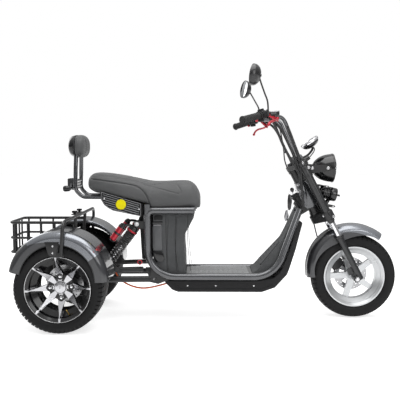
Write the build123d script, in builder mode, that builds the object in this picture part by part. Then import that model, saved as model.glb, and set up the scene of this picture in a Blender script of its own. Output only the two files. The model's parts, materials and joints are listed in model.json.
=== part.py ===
"""Electric cargo tricycle: one steered front wheel, two driven rear wheels.

Units are millimetres. +X is forward, +Y is the rider's left, +Z is up. The origin lies
on the ground under the middle of the overall length. Paired pieces are drawn on the
left and mirrored.
"""

import math
import os

from build123d import *

# ---------------------------------------------------------------- overall
WHEELBASE = 1544.0
REAR_OVERHANG = 318.0           # rear axle to the rear edge of the rack
REAR_TRACK = 540.0              # between the middles of the rear tyres
RAKE = 27.5                     # steering axis, degrees back from vertical

# ---------------------------------------------------------------- wheels
FRONT_TYRE_D = 460.0
FRONT_TYRE_W = 110.0
REAR_TYRE_D = 456.0
REAR_TYRE_W = 208.0
TYRE_WALL = 11.0
BEAD_R = 152.4                  # 12 inch bead seat
FLANGE_R = 165.5
FLANGE_T = 6.0
FRONT_RIM_W = 92.0              # over the flanges
REAR_RIM_W = 194.0
FRONT_WELL_R = 124.0            # smallest radius inside each rim
REAR_WELL_R = 120.0
RIM_WALL = 6.0
FRONT_SPOKES = 5
FRONT_SPOKE_W = 34.0
FRONT_SPOKE_T = 20.0
FRONT_HUB_R = 27.0
FRONT_HUB_HALF = 50.0
FRONT_DISC_R = 92.0
FRONT_DISC_Y = 56.0             # disc's outer face
REAR_SPOKES = 8
REAR_HUB_FACE = 33.0            # hub's outer face, out from the tyre's middle
REAR_HUB_T = 18.0
REAR_BOSS_R = 40.0
REAR_CAP_R = 31.0
LUG_PCD = 110.0
LUG_COUNT = 4
LUG_SEAT_R = 11.5
REAR_DISC_R = 95.0
REAR_DISC_SET = 66.0            # disc's outer face, in from the tyre's middle
DISC_T = 4.0
FRONT_AXLE_R = 8.0
REAR_AXLE_R = 14.0
AXLE_CLEARANCE = 0.05           # radial running clearance

# ---------------------------------------------------------------- frame
FRAME_TUBE_R = 19.0
FRAME_HALF_W = 130.0            # centre line of the side loops
RAIL_Z = 246.0                  # centre line of the floor rails
PILLAR_X = 426.0                # centre line of the pillars, ahead of the rear axle
SEAT_RAIL_Z = 582.0
HEAD_HALF_W = 46.0              # loop centre lines where they meet the head
HEAD_JOINT_Z = 600.0
HEAD_JOINT_SET = 303.0          # behind the front axle
FRONT_BEND_SET = 446.0          # corner of the loops behind the front axle
SEAT_RAIL_L = 84.0
HEAD_TUBE_R = 28.0
STEM_R = 15.0
FLOOR_BAR_R = 11.0
PIVOT_BOLT_R = 8.0
SHOCK_BOLT_R = 6.0
ARM_TUBE_R = 14.0
MOTOR_R = 72.0
AXLE_TUBE_R = 27.0

# ---------------------------------------------------------------- shocks
ARM_SET = 51.0                  # arms and shocks inboard of the fenders
SHOCK_ROD_R = 7.0
SHOCK_BODY_R = 17.0
SPRING_R = 25.0                 # to the middle of the wire
SPRING_WIRE_R = 4.0
SPRING_TURNS = 8
SPRING_LENGTH = 140.0
RESERVOIR_R = 17.0
RESERVOIR_L = 88.0
RESERVOIR_SET = 56.0            # reservoir axis from the shock's axis

# ---------------------------------------------------------------- fork and bars
FORK_OFFSET = 45.0              # leg axes ahead of the steering axis
AXLE_SETBACK = 19.5             # axle behind the leg axes
FORK_HALF_W = 90.0
STANCHION_R = 14.5
FORK_UPPER_R = 21.0
FORK_LOWER_R = 17.0
FORK_LOWER_L = 243.0
LOWER_YOKE_AT = 352.0           # heights along the steering axis, from beside the axle
LOWER_YOKE_T = 46.0
UPPER_YOKE_AT = 672.0
UPPER_YOKE_T = 26.0
BAR_R = 11.0
GRIP_R = 18.0
GRIP_L = 125.0
MIRROR_R = 54.0
DIAL_R = 51.0
HEADLAMP_R = 79.0
HEADLAMP_L = 126.0

# ---------------------------------------------------------------- fenders and rack
SHEET = 3.0
REAR_FENDER_R = 250.0
REAR_FENDER_RISE = 40.0         # arc centre above the axle
REAR_FENDER_W = 222.0
REAR_FENDER_ARC = 168.0
REAR_SKIRT = 62.0
FRONT_FENDER_R = 245.0
FRONT_FENDER_RISE = 38.0
FRONT_FENDER_SET = 8.0          # arc centre behind the axle
FRONT_FENDER_HALF_W = 68.0
FRONT_FENDER_TIP = 52.0         # degrees above level at the front tip
FRONT_FENDER_ARC = 138.0
FRONT_SKIRT = 70.0
HOOP_TUBE_R = 9.0
HOOP_X = 42.0
HOOP_Z = 566.0
RACK_SET = 32.0                 # rack inboard of the fenders
RACK_TUBE_R = 7.5
RACK_TOP = 536.0
RACK_MIDDLE = 457.0
RACK_FLOOR = 375.0

# ---------------------------------------------------------------- seat and body
SEAT_HALF_W = 155.0
PAN_HALF_W = 120.0
GRILLE_T = 12.0
REFLECTOR_R = 27.0
BACK_TUBE_R = 12.0
BACK_PAD_HALF_W = 140.0
DECK_TOP = 256.0
DECK_T = 6.0
MAT_T = 4.0
MAT_RIB = 1.5
BODY_GAP = 3.0                  # between the body panels and the loops
SOFT_GAP = 0.4                  # between a soft part and its neighbour

# ---------------------------------------------------------------- derived places
OVERALL_LENGTH = REAR_OVERHANG + WHEELBASE + FRONT_TYRE_D / 2
FRONT_X = OVERALL_LENGTH / 2 - FRONT_TYRE_D / 2
REAR_X = FRONT_X - WHEELBASE
FRONT_Z = FRONT_TYRE_D / 2
REAR_Z = REAR_TYRE_D / 2
WHEEL_Y = REAR_TRACK / 2
FENDER_Z = REAR_Z + REAR_FENDER_RISE
FENDER_INNER_Y = WHEEL_Y - REAR_FENDER_W / 2
FENDER_OUTER_Y = WHEEL_Y + REAR_FENDER_W / 2
ARM_HALF_W = FENDER_INNER_Y - ARM_SET
SHOCK_HALF_W = ARM_HALF_W
MOTOR_HALF_W = ARM_HALF_W - 20
RACK_HALF_W = FENDER_INNER_Y - RACK_SET
DECK_HALF_W = FRAME_HALF_W - FRAME_TUBE_R - BODY_GAP
RAKE_SIN = math.sin(math.radians(RAKE))
RAKE_COS = math.cos(math.radians(RAKE))
AXLE_OFFSET = FORK_OFFSET - AXLE_SETBACK
STEER = Plane(
    origin=(FRONT_X - AXLE_OFFSET * RAKE_COS, 0, FRONT_Z - AXLE_OFFSET * RAKE_SIN),
    x_dir=(RAKE_COS, 0, RAKE_SIN),
    z_dir=(-RAKE_SIN, 0, RAKE_COS),
)
FRONT_AXIS = Axis((FRONT_X, 0, FRONT_Z), (0, 1, 0))
REAR_AXIS = Axis((REAR_X, 0, REAR_Z), (0, 1, 0))


# ================================================================ helpers
def rear(x, y, z):
    """Point given ahead of the rear axle."""
    return Vector(REAR_X + x, y, z)


def front(x, y, z):
    """Point given ahead of the front axle."""
    return Vector(FRONT_X + x, y, z)


def steer(forward, left, up):
    """Point given from the steering axis: across it, to the left and up along it."""
    return STEER.from_local_coords(Vector(forward, left, up))


def tube(points, bends, radius, mode=Mode.ADD):
    """Sweep a round bar along straight runs joined by bends."""
    with BuildLine(mode=Mode.PRIVATE) as route:
        FilletPolyline(*points, radius=bends)
    path = route.wire()
    with BuildSketch(Plane(origin=path @ 0, z_dir=path % 0), mode=Mode.PRIVATE) as section:
        Circle(radius)
    sweep(sections=section.sketch, path=path, mode=mode)


def rod(start, end, radius, mode=Mode.ADD):
    """Round bar between two points."""
    start, end = Vector(start), Vector(end)
    with BuildSketch(Plane(origin=start, z_dir=end - start), mode=Mode.PRIVATE) as section:
        Circle(radius)
    extrude(section.sketch, amount=(end - start).length, mode=mode)


def plate(points, y_low, y_high, corner=0, mode=Mode.ADD):
    """Plate whose outline is given in X and Z, between two values of Y."""
    with BuildSketch(Plane.XZ.offset(-y_high), mode=Mode.PRIVATE) as outline:
        Polygon(*[(point.X, point.Z) for point in points], align=None)
        if corner:
            fillet(outline.vertices(), corner)
    extrude(outline.sketch, amount=y_high - y_low, mode=mode)


def turned(points, axis, arc=360.0, mode=Mode.ADD):
    """Solid turned about a wheel's axis from (radius, Y) points."""
    centre = axis.position
    with BuildSketch(Plane(origin=(centre.X, 0, centre.Z)), mode=Mode.PRIVATE) as section:
        Polygon(*points, align=None)
    revolve(section.sketch, axis=axis, revolution_arc=arc, mode=mode)


def turned_tyre(axis, middle, outer_r, width, rim_width):
    """Tyre open between its beads, with rounded sidewalls and a crowned tread."""
    bead = rim_width / 2 - FLANGE_T
    half = width / 2
    tread = half * 0.8
    shoulder_r = outer_r - 12
    bulge_r = (FLANGE_R + shoulder_r) / 2
    centre = axis.position
    with BuildSketch(Plane(origin=(centre.X, middle, centre.Z)), mode=Mode.PRIVATE) as section:
        with BuildLine():
            for inset in (0, TYRE_WALL):
                for way in (1, -1):
                    foot = (FLANGE_R, way * (bead - inset))
                    belly = (bulge_r, way * (half - inset))
                    shoulder = (shoulder_r - inset, way * (tread - inset))
                    Line((BEAD_R, way * (bead - inset)), foot)
                    ThreePointArc(foot, belly, shoulder)
                ThreePointArc(
                    (shoulder_r - inset, inset - tread),
                    (outer_r - inset, 0),
                    (shoulder_r - inset, tread - inset),
                )
            for way in (1, -1):
                Line((BEAD_R, way * bead), (BEAD_R, way * (bead - TYRE_WALL)))
        make_face()
    revolve(section.sketch, axis=axis)


def rim_outline(width, well_r, well_out, well_in):
    """Rim barrel with flanges, bead seats and a drop well, as (radius, Y) points.

    The well's floor runs from well_out to well_in, measured from the rim's middle.
    """
    half = width / 2
    bead = half - FLANGE_T
    seat = BEAD_R - RIM_WALL
    slope = BEAD_R - RIM_WALL - well_r
    outer_side = [
        (FLANGE_R, half),
        (FLANGE_R, bead),
        (BEAD_R, bead),
        (BEAD_R, well_out + slope * 0.7),
        (well_r + RIM_WALL, well_out),
        (well_r + RIM_WALL, well_in),
        (BEAD_R, well_in - slope * 0.7),
        (BEAD_R, -bead),
        (FLANGE_R, -bead),
        (FLANGE_R, -half),
    ]
    inner_side = [
        (FLANGE_R - 7, -half),
        (seat, -half + 10),
        (seat, well_in - slope * 0.7),
        (well_r, well_in),
        (well_r, well_out),
        (seat, well_out + slope * 0.7),
        (seat, half - 10),
        (FLANGE_R - 7, half),
    ]
    return outer_side + inner_side


def spun(base, points, mode=Mode.ADD):
    """Solid turned about a plane's normal from (radius, height) points."""
    section_plane = Plane(origin=base.origin, x_dir=base.x_dir, z_dir=-base.y_dir)
    with BuildSketch(section_plane, mode=Mode.PRIVATE) as section:
        Polygon(*points, align=None)
    revolve(section.sketch, axis=Axis(base.origin, base.z_dir), mode=mode)


def stack(base, steps, top, mode=Mode.ADD):
    """Stacked discs from (radius, bottom height) steps, up to a top height."""
    heights = [low for _, low in steps] + [top]
    points = [(0, heights[0])]
    for (radius, low), high in zip(steps, heights[1:]):
        points += [(radius, low), (radius, high)]
    spun(base, points + [(0, top)], mode=mode)


def moved_out(points, distance):
    """The same (radius, Y) points, a distance along Y."""
    return [(radius, y + distance) for radius, y in points]


# ================================================================ front wheel
with BuildPart() as front_tyre:
    turned_tyre(FRONT_AXIS, 0, FRONT_TYRE_D / 2, FRONT_TYRE_W, FRONT_RIM_W)
front_tyre.part.label = "front_tyre"

FRONT_SPOKE_Y = 8.0             # middle of the spokes, towards the disc
with BuildPart() as front_rim:
    turned(rim_outline(FRONT_RIM_W, FRONT_WELL_R, 16, -16), FRONT_AXIS)
    hub_face = Plane(
        origin=(FRONT_X, FRONT_SPOKE_Y - FRONT_SPOKE_T / 2, FRONT_Z), x_dir=(1, 0, 0), z_dir=(0, -1, 0)
    )
    with BuildSketch(hub_face) as star:
        Circle(FRONT_HUB_R + 12)
        with PolarLocations(0, FRONT_SPOKES, start_angle=38.5):
            Polygon(
                (0, -FRONT_SPOKE_W / 2 - 2), (FRONT_WELL_R + 2, -FRONT_SPOKE_W / 2 + 2),
                (FRONT_WELL_R + 2, FRONT_SPOKE_W / 2 - 2), (0, FRONT_SPOKE_W / 2 + 2), align=None,
            )
        roots = [v for v in star.vertices() if (v.center() - hub_face.origin).length < FRONT_HUB_R + 18]
        fillet(roots, 11)
    extrude(amount=-FRONT_SPOKE_T)
    turned(
        [
            (0, -FRONT_HUB_HALF), (FRONT_HUB_R - 5, -FRONT_HUB_HALF), (FRONT_HUB_R, 0),
            (FRONT_HUB_R + 8, 14), (FRONT_HUB_R + 8, FRONT_HUB_HALF), (0, FRONT_HUB_HALF),
        ],
        FRONT_AXIS,
    )
    turned(
        [
            (0, -FRONT_HUB_HALF), (FRONT_AXLE_R + AXLE_CLEARANCE, -FRONT_HUB_HALF),
            (FRONT_AXLE_R + AXLE_CLEARANCE, FRONT_HUB_HALF), (0, FRONT_HUB_HALF),
        ],
        FRONT_AXIS,
        mode=Mode.SUBTRACT,
    )
front_rim.part.label = "front_rim"

with BuildPart() as front_disc:
    with BuildSketch(Plane.XZ.offset(-FRONT_DISC_Y)) as disc_outline:
        with Locations((FRONT_X, FRONT_Z)):
            Circle(FRONT_DISC_R)
            Circle(FRONT_DISC_R - 30, mode=Mode.SUBTRACT)
            with PolarLocations(0, FRONT_SPOKES):
                Rectangle(FRONT_DISC_R - 24, 16, align=(Align.MIN, Align.CENTER))
            Circle(FRONT_HUB_R + 8)
            Circle(FRONT_AXLE_R + 6, mode=Mode.SUBTRACT)
            for ring_r, turn in ((FRONT_DISC_R - 9, 0), (FRONT_DISC_R - 21, 12)):
                with PolarLocations(ring_r, 15, start_angle=turn):
                    Circle(3.5, mode=Mode.SUBTRACT)
    extrude(amount=FRONT_DISC_Y - FRONT_HUB_HALF)
front_disc.part.label = "front_disc"

# ================================================================ rear wheels
LIP_FACE = REAR_RIM_W / 2 - 1.0
SPOKE_TIP_R = 162.5
SPOKE_TURN = 2.5                # degrees that the spokes stand off square
wheel_face = Plane(origin=(REAR_X, WHEEL_Y, REAR_Z), x_dir=(1, 0, 0), z_dir=(0, 1, 0))

with BuildPart() as rear_tyre_left:
    turned_tyre(REAR_AXIS, WHEEL_Y, REAR_TYRE_D / 2, REAR_TYRE_W, REAR_RIM_W)
rear_tyre_left.part.label = "rear_tyre_left"

with BuildPart() as rear_spoke:
    with BuildSketch(Plane(origin=wheel_face.origin)):
        Polygon(
            (28, REAR_HUB_FACE - 14), (28, REAR_HUB_FACE), (70, REAR_HUB_FACE + 2),
            (BEAD_R - 8, LIP_FACE), (SPOKE_TIP_R, LIP_FACE), (SPOKE_TIP_R, LIP_FACE - 4),
            (BEAD_R - 2, LIP_FACE - 4), (BEAD_R - 2, LIP_FACE - 26), (82, REAR_HUB_FACE - 14), align=None,
        )
    extrude(amount=24, both=True)
    with BuildSketch(wheel_face):
        with BuildLine():
            edge = Spline((26, 13), (54, 18), (100, 9.5), (SPOKE_TIP_R + 2, 4.5))
            mirror(edge, about=Plane.XZ)
            Line((26, 13), (26, -13))
            Line((SPOKE_TIP_R + 2, 4.5), (SPOKE_TIP_R + 2, -4.5))
        make_face()
    extrude(amount=REAR_RIM_W, mode=Mode.INTERSECT)

with BuildPart() as rear_rim_left:
    turned(moved_out(rim_outline(REAR_RIM_W, REAR_WELL_R, 38, -46), WHEEL_Y), REAR_AXIS)
    with BuildSketch(wheel_face.offset(-REAR_DISC_SET)):
        Circle(REAR_BOSS_R)
    extrude(amount=REAR_DISC_SET + REAR_HUB_FACE - REAR_HUB_T)
    with BuildSketch(wheel_face.offset(REAR_HUB_FACE - REAR_HUB_T)):
        Circle(LUG_PCD / 2 + 9)
    extrude(amount=REAR_HUB_T - 6)
    for spoke in range(REAR_SPOKES):
        add(rear_spoke.part.rotate(REAR_AXIS, spoke * 360 / REAR_SPOKES - SPOKE_TURN))
    with BuildSketch(wheel_face.offset(REAR_HUB_FACE - 6)):
        with PolarLocations(LUG_PCD / 2, LUG_COUNT, start_angle=-SPOKE_TURN):
            Circle(LUG_SEAT_R + 4)
    extrude(amount=7.5)
    with BuildSketch(wheel_face.offset(REAR_HUB_FACE + 1.5)):
        with PolarLocations(LUG_PCD / 2, LUG_COUNT, start_angle=-SPOKE_TURN):
            Circle(LUG_SEAT_R)
    extrude(amount=-9, mode=Mode.SUBTRACT)
    turned(
        moved_out(
            [
                (0, REAR_HUB_FACE - 8), (REAR_CAP_R, REAR_HUB_FACE - 8), (REAR_CAP_R, REAR_HUB_FACE + 5),
                (REAR_CAP_R - 4, REAR_HUB_FACE + 9), (REAR_CAP_R - 15, REAR_HUB_FACE + 12.5),
                (0, REAR_HUB_FACE + 14),
            ],
            WHEEL_Y,
        ),
        REAR_AXIS,
    )
    with BuildSketch(wheel_face.offset(-REAR_DISC_SET)):
        Circle(REAR_AXLE_R + AXLE_CLEARANCE)
    extrude(amount=REAR_DISC_SET + REAR_HUB_FACE - 4, mode=Mode.SUBTRACT)
rear_rim_left.part.label = "rear_rim_left"

with BuildPart() as rear_disc_left:
    with BuildSketch(wheel_face.offset(-REAR_DISC_SET - DISC_T)):
        Circle(REAR_DISC_R)
        Circle(REAR_AXLE_R + 10, mode=Mode.SUBTRACT)
        for ring_r, turn in ((REAR_DISC_R - 10, 0), (REAR_DISC_R - 22, 12)):
            with PolarLocations(ring_r, 15, start_angle=turn):
                Circle(3.5, mode=Mode.SUBTRACT)
    extrude(amount=DISC_T)
rear_disc_left.part.label = "rear_disc_left"

# ================================================================ frame
with BuildPart() as frame_left:
    tube(
        [
            rear(PILLAR_X + SEAT_RAIL_L, FRAME_HALF_W, SEAT_RAIL_Z),
            rear(PILLAR_X, FRAME_HALF_W, SEAT_RAIL_Z),
            rear(PILLAR_X, FRAME_HALF_W, RAIL_Z),
            front(-FRONT_BEND_SET, FRAME_HALF_W, RAIL_Z),
            front(-HEAD_JOINT_SET, HEAD_HALF_W, HEAD_JOINT_Z),
        ],
        [50, 150, 160],
        FRAME_TUBE_R,
    )
frame_left.part.label = "frame_left"

with BuildPart() as frame_right:
    mirror(frame_left.part, about=Plane.XZ)
frame_right.part.label = "frame_right"
FRAME_LOOPS = (frame_left.part, frame_right.part)

HEAD_LOW = LOWER_YOKE_AT + LOWER_YOKE_T + 1
HEAD_HIGH = UPPER_YOKE_AT - 1
CUP_R = HEAD_TUBE_R + 4
CUP_L = 14.0
with BuildPart() as steering_head:
    stack(STEER, [(CUP_R, HEAD_LOW), (HEAD_TUBE_R, HEAD_LOW + CUP_L), (CUP_R, HEAD_HIGH - CUP_L)], HEAD_HIGH)
    plate(
        [
            steer(0, 0, HEAD_LOW + 40), steer(-80, 0, HEAD_LOW + 34),
            steer(-84, 0, HEAD_LOW + 100), steer(0, 0, HEAD_LOW + 180),
        ],
        -HEAD_TUBE_R + 2, HEAD_TUBE_R - 2,
    )
    stack(STEER, [(STEM_R + AXLE_CLEARANCE, HEAD_LOW)], HEAD_HIGH, mode=Mode.SUBTRACT)
    for loop in FRAME_LOOPS:
        add(loop, mode=Mode.SUBTRACT)
steering_head.part.label = "steering_head"

PIVOT = (PILLAR_X + 38, RAIL_Z - 16)
SHOCK_TOP = (PILLAR_X - 59, SEAT_RAIL_Z - 54)
SHOCK_LOW = (PIVOT[0] - 249, RAIL_Z + 77)
PILLAR_BAR_Z = SHOCK_TOP[1] - 8
PIVOT_PLATE_Y = FRAME_HALF_W - 6
EAR_GAP = 13.5                  # from the shock's middle to each ear
EAR_T = 6.0
with BuildPart() as frame_crossbars:
    for gap in (-EAR_GAP - EAR_T, EAR_GAP):
        plate(
            [
                rear(PILLAR_X + 4, 0, PILLAR_BAR_Z + 24), rear(SHOCK_TOP[0] - 15, 0, SHOCK_TOP[1] + 15),
                rear(SHOCK_TOP[0] - 15, 0, SHOCK_TOP[1] - 15), rear(PILLAR_X + 4, 0, PILLAR_BAR_Z - 24),
            ],
            SHOCK_HALF_W + gap, SHOCK_HALF_W + gap + EAR_T, corner=10,
        )
    bolt_half = EAR_GAP + EAR_T + 4
    rod(
        rear(SHOCK_TOP[0], SHOCK_HALF_W - bolt_half, SHOCK_TOP[1]),
        rear(SHOCK_TOP[0], SHOCK_HALF_W + bolt_half, SHOCK_TOP[1]),
        SHOCK_BOLT_R,
    )
    plate(
        [
            rear(PIVOT[0] - 22, 0, PIVOT[1] + 76), rear(PIVOT[0] - 24, 0, PIVOT[1] - 14),
            rear(PIVOT[0] + 14, 0, PIVOT[1] - 24), rear(PIVOT[0] + 78, 0, PIVOT[1]),
            rear(PIVOT[0] + 60, 0, PIVOT[1] + 40),
        ],
        PIVOT_PLATE_Y, PIVOT_PLATE_Y + 7, corner=9,
    )
    mirror(about=Plane.XZ)
    rod(rear(PILLAR_X, -FRAME_HALF_W, PILLAR_BAR_Z), rear(PILLAR_X, FRAME_HALF_W, PILLAR_BAR_Z), ARM_TUBE_R)
    for bar_x in (rear(600, 0, 0).X, front(-644, 0, 0).X):
        bar_z = DECK_TOP - DECK_T - FLOOR_BAR_R
        rod((bar_x, -FRAME_HALF_W, bar_z), (bar_x, FRAME_HALF_W, bar_z), FLOOR_BAR_R)
    pivot_end = PIVOT_PLATE_Y + 16
    rod(rear(PIVOT[0], -pivot_end, PIVOT[1]), rear(PIVOT[0], pivot_end, PIVOT[1]), PIVOT_BOLT_R)
    for loop in FRAME_LOOPS:
        add(loop, mode=Mode.SUBTRACT)
frame_crossbars.part.label = "frame_crossbars"

NECK_HALF_W = 44.0
with BuildPart() as neck_cover:
    plate(
        [
            steer(-8, 0, HEAD_LOW + 31), steer(-64, 0, HEAD_LOW + 35), steer(-96, 0, HEAD_LOW + 130),
            steer(-86, 0, HEAD_LOW + 178), steer(-24, 0, HEAD_LOW + 208),
        ],
        -NECK_HALF_W, NECK_HALF_W, corner=7,
    )
    fillet(neck_cover.edges().group_by(Axis.Y)[0] + neck_cover.edges().group_by(Axis.Y)[-1], 5)
    stack(STEER, [(HEAD_TUBE_R, HEAD_LOW)], HEAD_HIGH, mode=Mode.SUBTRACT)
    add(steering_head.part, mode=Mode.SUBTRACT)
    for loop in FRAME_LOOPS:
        add(loop, mode=Mode.SUBTRACT)
neck_cover.part.label = "neck_cover"

AXLE_PLATE_HALF = 42.0
with BuildPart() as swing_arm:
    for lift, reach in ((-4, 0), (24, 34)):
        rod(
            rear(PIVOT[0] - reach, ARM_HALF_W, PIVOT[1] + lift),
            rear(AXLE_PLATE_HALF - 6, ARM_HALF_W, PIVOT[1] + lift),
            ARM_TUBE_R - 2,
        )
    plate(
        [
            rear(AXLE_PLATE_HALF + 28, 0, REAR_Z - 36), rear(-AXLE_PLATE_HALF, 0, REAR_Z - 36),
            rear(-AXLE_PLATE_HALF, 0, REAR_Z + 40), rear(AXLE_PLATE_HALF + 28, 0, REAR_Z + 40),
        ],
        ARM_HALF_W - 6, ARM_HALF_W + 6, corner=14,
    )
    for gap in (-EAR_GAP - EAR_T, EAR_GAP):
        plate(
            [
                rear(SHOCK_LOW[0] - 50, 0, PIVOT[1] + 18), rear(SHOCK_LOW[0] - 14, 0, SHOCK_LOW[1] + 14),
                rear(SHOCK_LOW[0] + 14, 0, SHOCK_LOW[1] + 14), rear(SHOCK_LOW[0] + 62, 0, PIVOT[1] + 18),
            ],
            SHOCK_HALF_W + gap, SHOCK_HALF_W + gap + EAR_T, corner=9,
        )
    rod(
        rear(SHOCK_LOW[0], SHOCK_HALF_W - bolt_half, SHOCK_LOW[1]),
        rear(SHOCK_LOW[0], SHOCK_HALF_W + bolt_half, SHOCK_LOW[1]),
        SHOCK_BOLT_R,
    )
    mirror(about=Plane.XZ)
    sleeve = PIVOT_PLATE_Y - 0.5
    brace = SHOCK_LOW[0] - 36
    rod(rear(PIVOT[0], -sleeve, PIVOT[1]), rear(PIVOT[0], sleeve, PIVOT[1]), ARM_TUBE_R + 3)
    rod(rear(brace, -ARM_HALF_W, PIVOT[1] + 10), rear(brace, ARM_HALF_W, PIVOT[1] + 10), ARM_TUBE_R)
    rod(rear(PIVOT[0], -sleeve, PIVOT[1]), rear(PIVOT[0], sleeve, PIVOT[1]), PIVOT_BOLT_R, mode=Mode.SUBTRACT)
    rod(rear(0, -WHEEL_Y, REAR_Z), rear(0, WHEEL_Y, REAR_Z), AXLE_TUBE_R, mode=Mode.SUBTRACT)
swing_arm.part.label = "swing_arm"

MOTOR_FINS = 9
FIN_PITCH = 16.0
FIN_DEPTH = 8.0
with BuildPart() as motor_axle:
    drum_r = MOTOR_R - FIN_DEPTH
    turned(
        [
            (0, -MOTOR_HALF_W), (drum_r - 14, -MOTOR_HALF_W), (drum_r, -MOTOR_HALF_W + 12),
            (drum_r, MOTOR_HALF_W - 12), (drum_r - 14, MOTOR_HALF_W), (0, MOTOR_HALF_W),
        ],
        REAR_AXIS,
    )
    for fin in range(MOTOR_FINS):
        fin_y = (fin - (MOTOR_FINS - 1) / 2) * FIN_PITCH
        turned(
            [
                (drum_r - 4, fin_y - 3), (MOTOR_R, fin_y - 2), (MOTOR_R, fin_y + 2), (drum_r - 4, fin_y + 3),
            ],
            REAR_AXIS,
        )
    tube_end = WHEEL_Y - REAR_DISC_SET - DISC_T - 26
    axle_end = WHEEL_Y + REAR_HUB_FACE - 6
    rod(rear(0, -tube_end, REAR_Z), rear(0, tube_end, REAR_Z), AXLE_TUBE_R)
    rod(rear(0, -axle_end, REAR_Z), rear(0, axle_end, REAR_Z), REAR_AXLE_R)
motor_axle.part.label = "motor_axle"

# ================================================================ shocks
SHOCK_LENGTH = math.dist(SHOCK_TOP, SHOCK_LOW)
SHOCK_BASE = Plane(
    origin=rear(SHOCK_LOW[0], SHOCK_HALF_W, SHOCK_LOW[1]),
    x_dir=(0, 1, 0),
    z_dir=(SHOCK_TOP[0] - SHOCK_LOW[0], 0, SHOCK_TOP[1] - SHOCK_LOW[1]),
)
EYE_R = 12.0
SPRING_CUP_R = SPRING_R + SPRING_WIRE_R + 2
SPRING_TOP = SHOCK_LENGTH - 38
SPRING_LOW = SPRING_TOP - SPRING_LENGTH
RESERVOIR_LOW = SHOCK_LENGTH - 22 - RESERVOIR_L
with BuildPart() as shock_absorbers:
    stack(
        SHOCK_BASE,
        [
            (SHOCK_ROD_R + 2, 8), (SPRING_R - 6, SPRING_LOW - 22), (SPRING_CUP_R, SPRING_LOW - 7),
            (SHOCK_ROD_R, SPRING_LOW), (SHOCK_BODY_R, SPRING_LOW + 50), (SPRING_CUP_R, SPRING_TOP),
            (SHOCK_ROD_R + 2, SPRING_TOP + 10),
        ],
        SHOCK_LENGTH - 8,
    )
    stack(
        Plane(
            origin=SHOCK_BASE.from_local_coords((RESERVOIR_SET, 0, RESERVOIR_LOW)),
            x_dir=SHOCK_BASE.x_dir,
            z_dir=SHOCK_BASE.z_dir,
        ),
        [
            (RESERVOIR_R - 4, -6), (RESERVOIR_R, 0), (RESERVOIR_R - 1.5, 12), (RESERVOIR_R, 15),
            (RESERVOIR_R - 1.5, RESERVOIR_L - 15), (RESERVOIR_R, RESERVOIR_L - 12),
        ],
        RESERVOIR_L,
    )
    with BuildSketch(SHOCK_BASE.offset(SPRING_TOP + 1)):
        Polygon((0, -11), (RESERVOIR_SET, -8), (RESERVOIR_SET, 8), (0, 11), align=None)
    extrude(amount=8)
    for x, z in (SHOCK_LOW, SHOCK_TOP):
        rod(rear(x, SHOCK_HALF_W - EAR_GAP + 0.5, z), rear(x, SHOCK_HALF_W + EAR_GAP - 0.5, z), EYE_R)
    for x, z in (SHOCK_LOW, SHOCK_TOP):
        rod(
            rear(x, SHOCK_HALF_W - EAR_GAP, z), rear(x, SHOCK_HALF_W + EAR_GAP, z),
            SHOCK_BOLT_R, mode=Mode.SUBTRACT,
        )
    mirror(about=Plane.XZ)
shock_absorbers.part.label = "shock_absorbers"

with BuildPart() as shock_springs:
    wire_height = SPRING_LENGTH - 2 * SPRING_WIRE_R
    with BuildLine() as coil:
        Helix(
            wire_height / SPRING_TURNS, wire_height, SPRING_R,
            center=SHOCK_BASE.from_local_coords((0, 0, SPRING_LOW + SPRING_WIRE_R)),
            direction=SHOCK_BASE.z_dir,
        )
    with BuildSketch(Plane(origin=coil.line @ 0, z_dir=coil.line % 0)):
        Circle(SPRING_WIRE_R)
    sweep(path=coil.line, is_frenet=True)
    mirror(about=Plane.XZ)
shock_springs.part.label = "shock_springs"

# ================================================================ belly, deck and shield
BELLY_HALF_W = FRAME_HALF_W - 12
BELLY_Z = 159.0
with BuildPart() as belly_pan:
    plate(
        [
            rear(500, 0, 225), rear(552, 0, 171), rear(584, 0, BELLY_Z), front(-510, 0, BELLY_Z),
            front(-440, 0, 184), front(-376, 0, 254), front(-327, 0, 386), front(-284, 0, 528),
            front(-306, 0, 536), front(-356, 0, 386), front(-400, 0, 286), front(-450, 0, 238),
            front(-534, 0, 225),
        ],
        -BELLY_HALF_W, BELLY_HALF_W, corner=10,
    )
    fillet(belly_pan.edges().group_by(Axis.Y)[0] + belly_pan.edges().group_by(Axis.Y)[-1], 8)
    with BuildSketch(Plane.YZ.offset(rear(400, 0, 0).X)):
        Polygon(
            (-BELLY_HALF_W - 1, BELLY_Z - 20), (BELLY_HALF_W + 1, BELLY_Z - 20), (BELLY_HALF_W + 1, 260),
            (HEAD_HALF_W - 16, 560), (16 - HEAD_HALF_W, 560), (-BELLY_HALF_W - 1, 260), align=None,
        )
    extrude(amount=WHEELBASE, mode=Mode.INTERSECT)
    for low, high in ((BELLY_HALF_W - 3, BELLY_HALF_W + 10), (-BELLY_HALF_W - 10, 3 - BELLY_HALF_W)):
        plate(
            [
                rear(560, 0, 206), rear(596, 0, BELLY_Z + 17), front(-512, 0, BELLY_Z + 17),
                front(-452, 0, 200), front(-470, 0, 206),
            ],
            low, high, mode=Mode.SUBTRACT,
        )
    for piece in (*FRAME_LOOPS, frame_crossbars.part, neck_cover.part):
        add(piece, mode=Mode.SUBTRACT)
belly_pan.part.label = "belly_pan"

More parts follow.
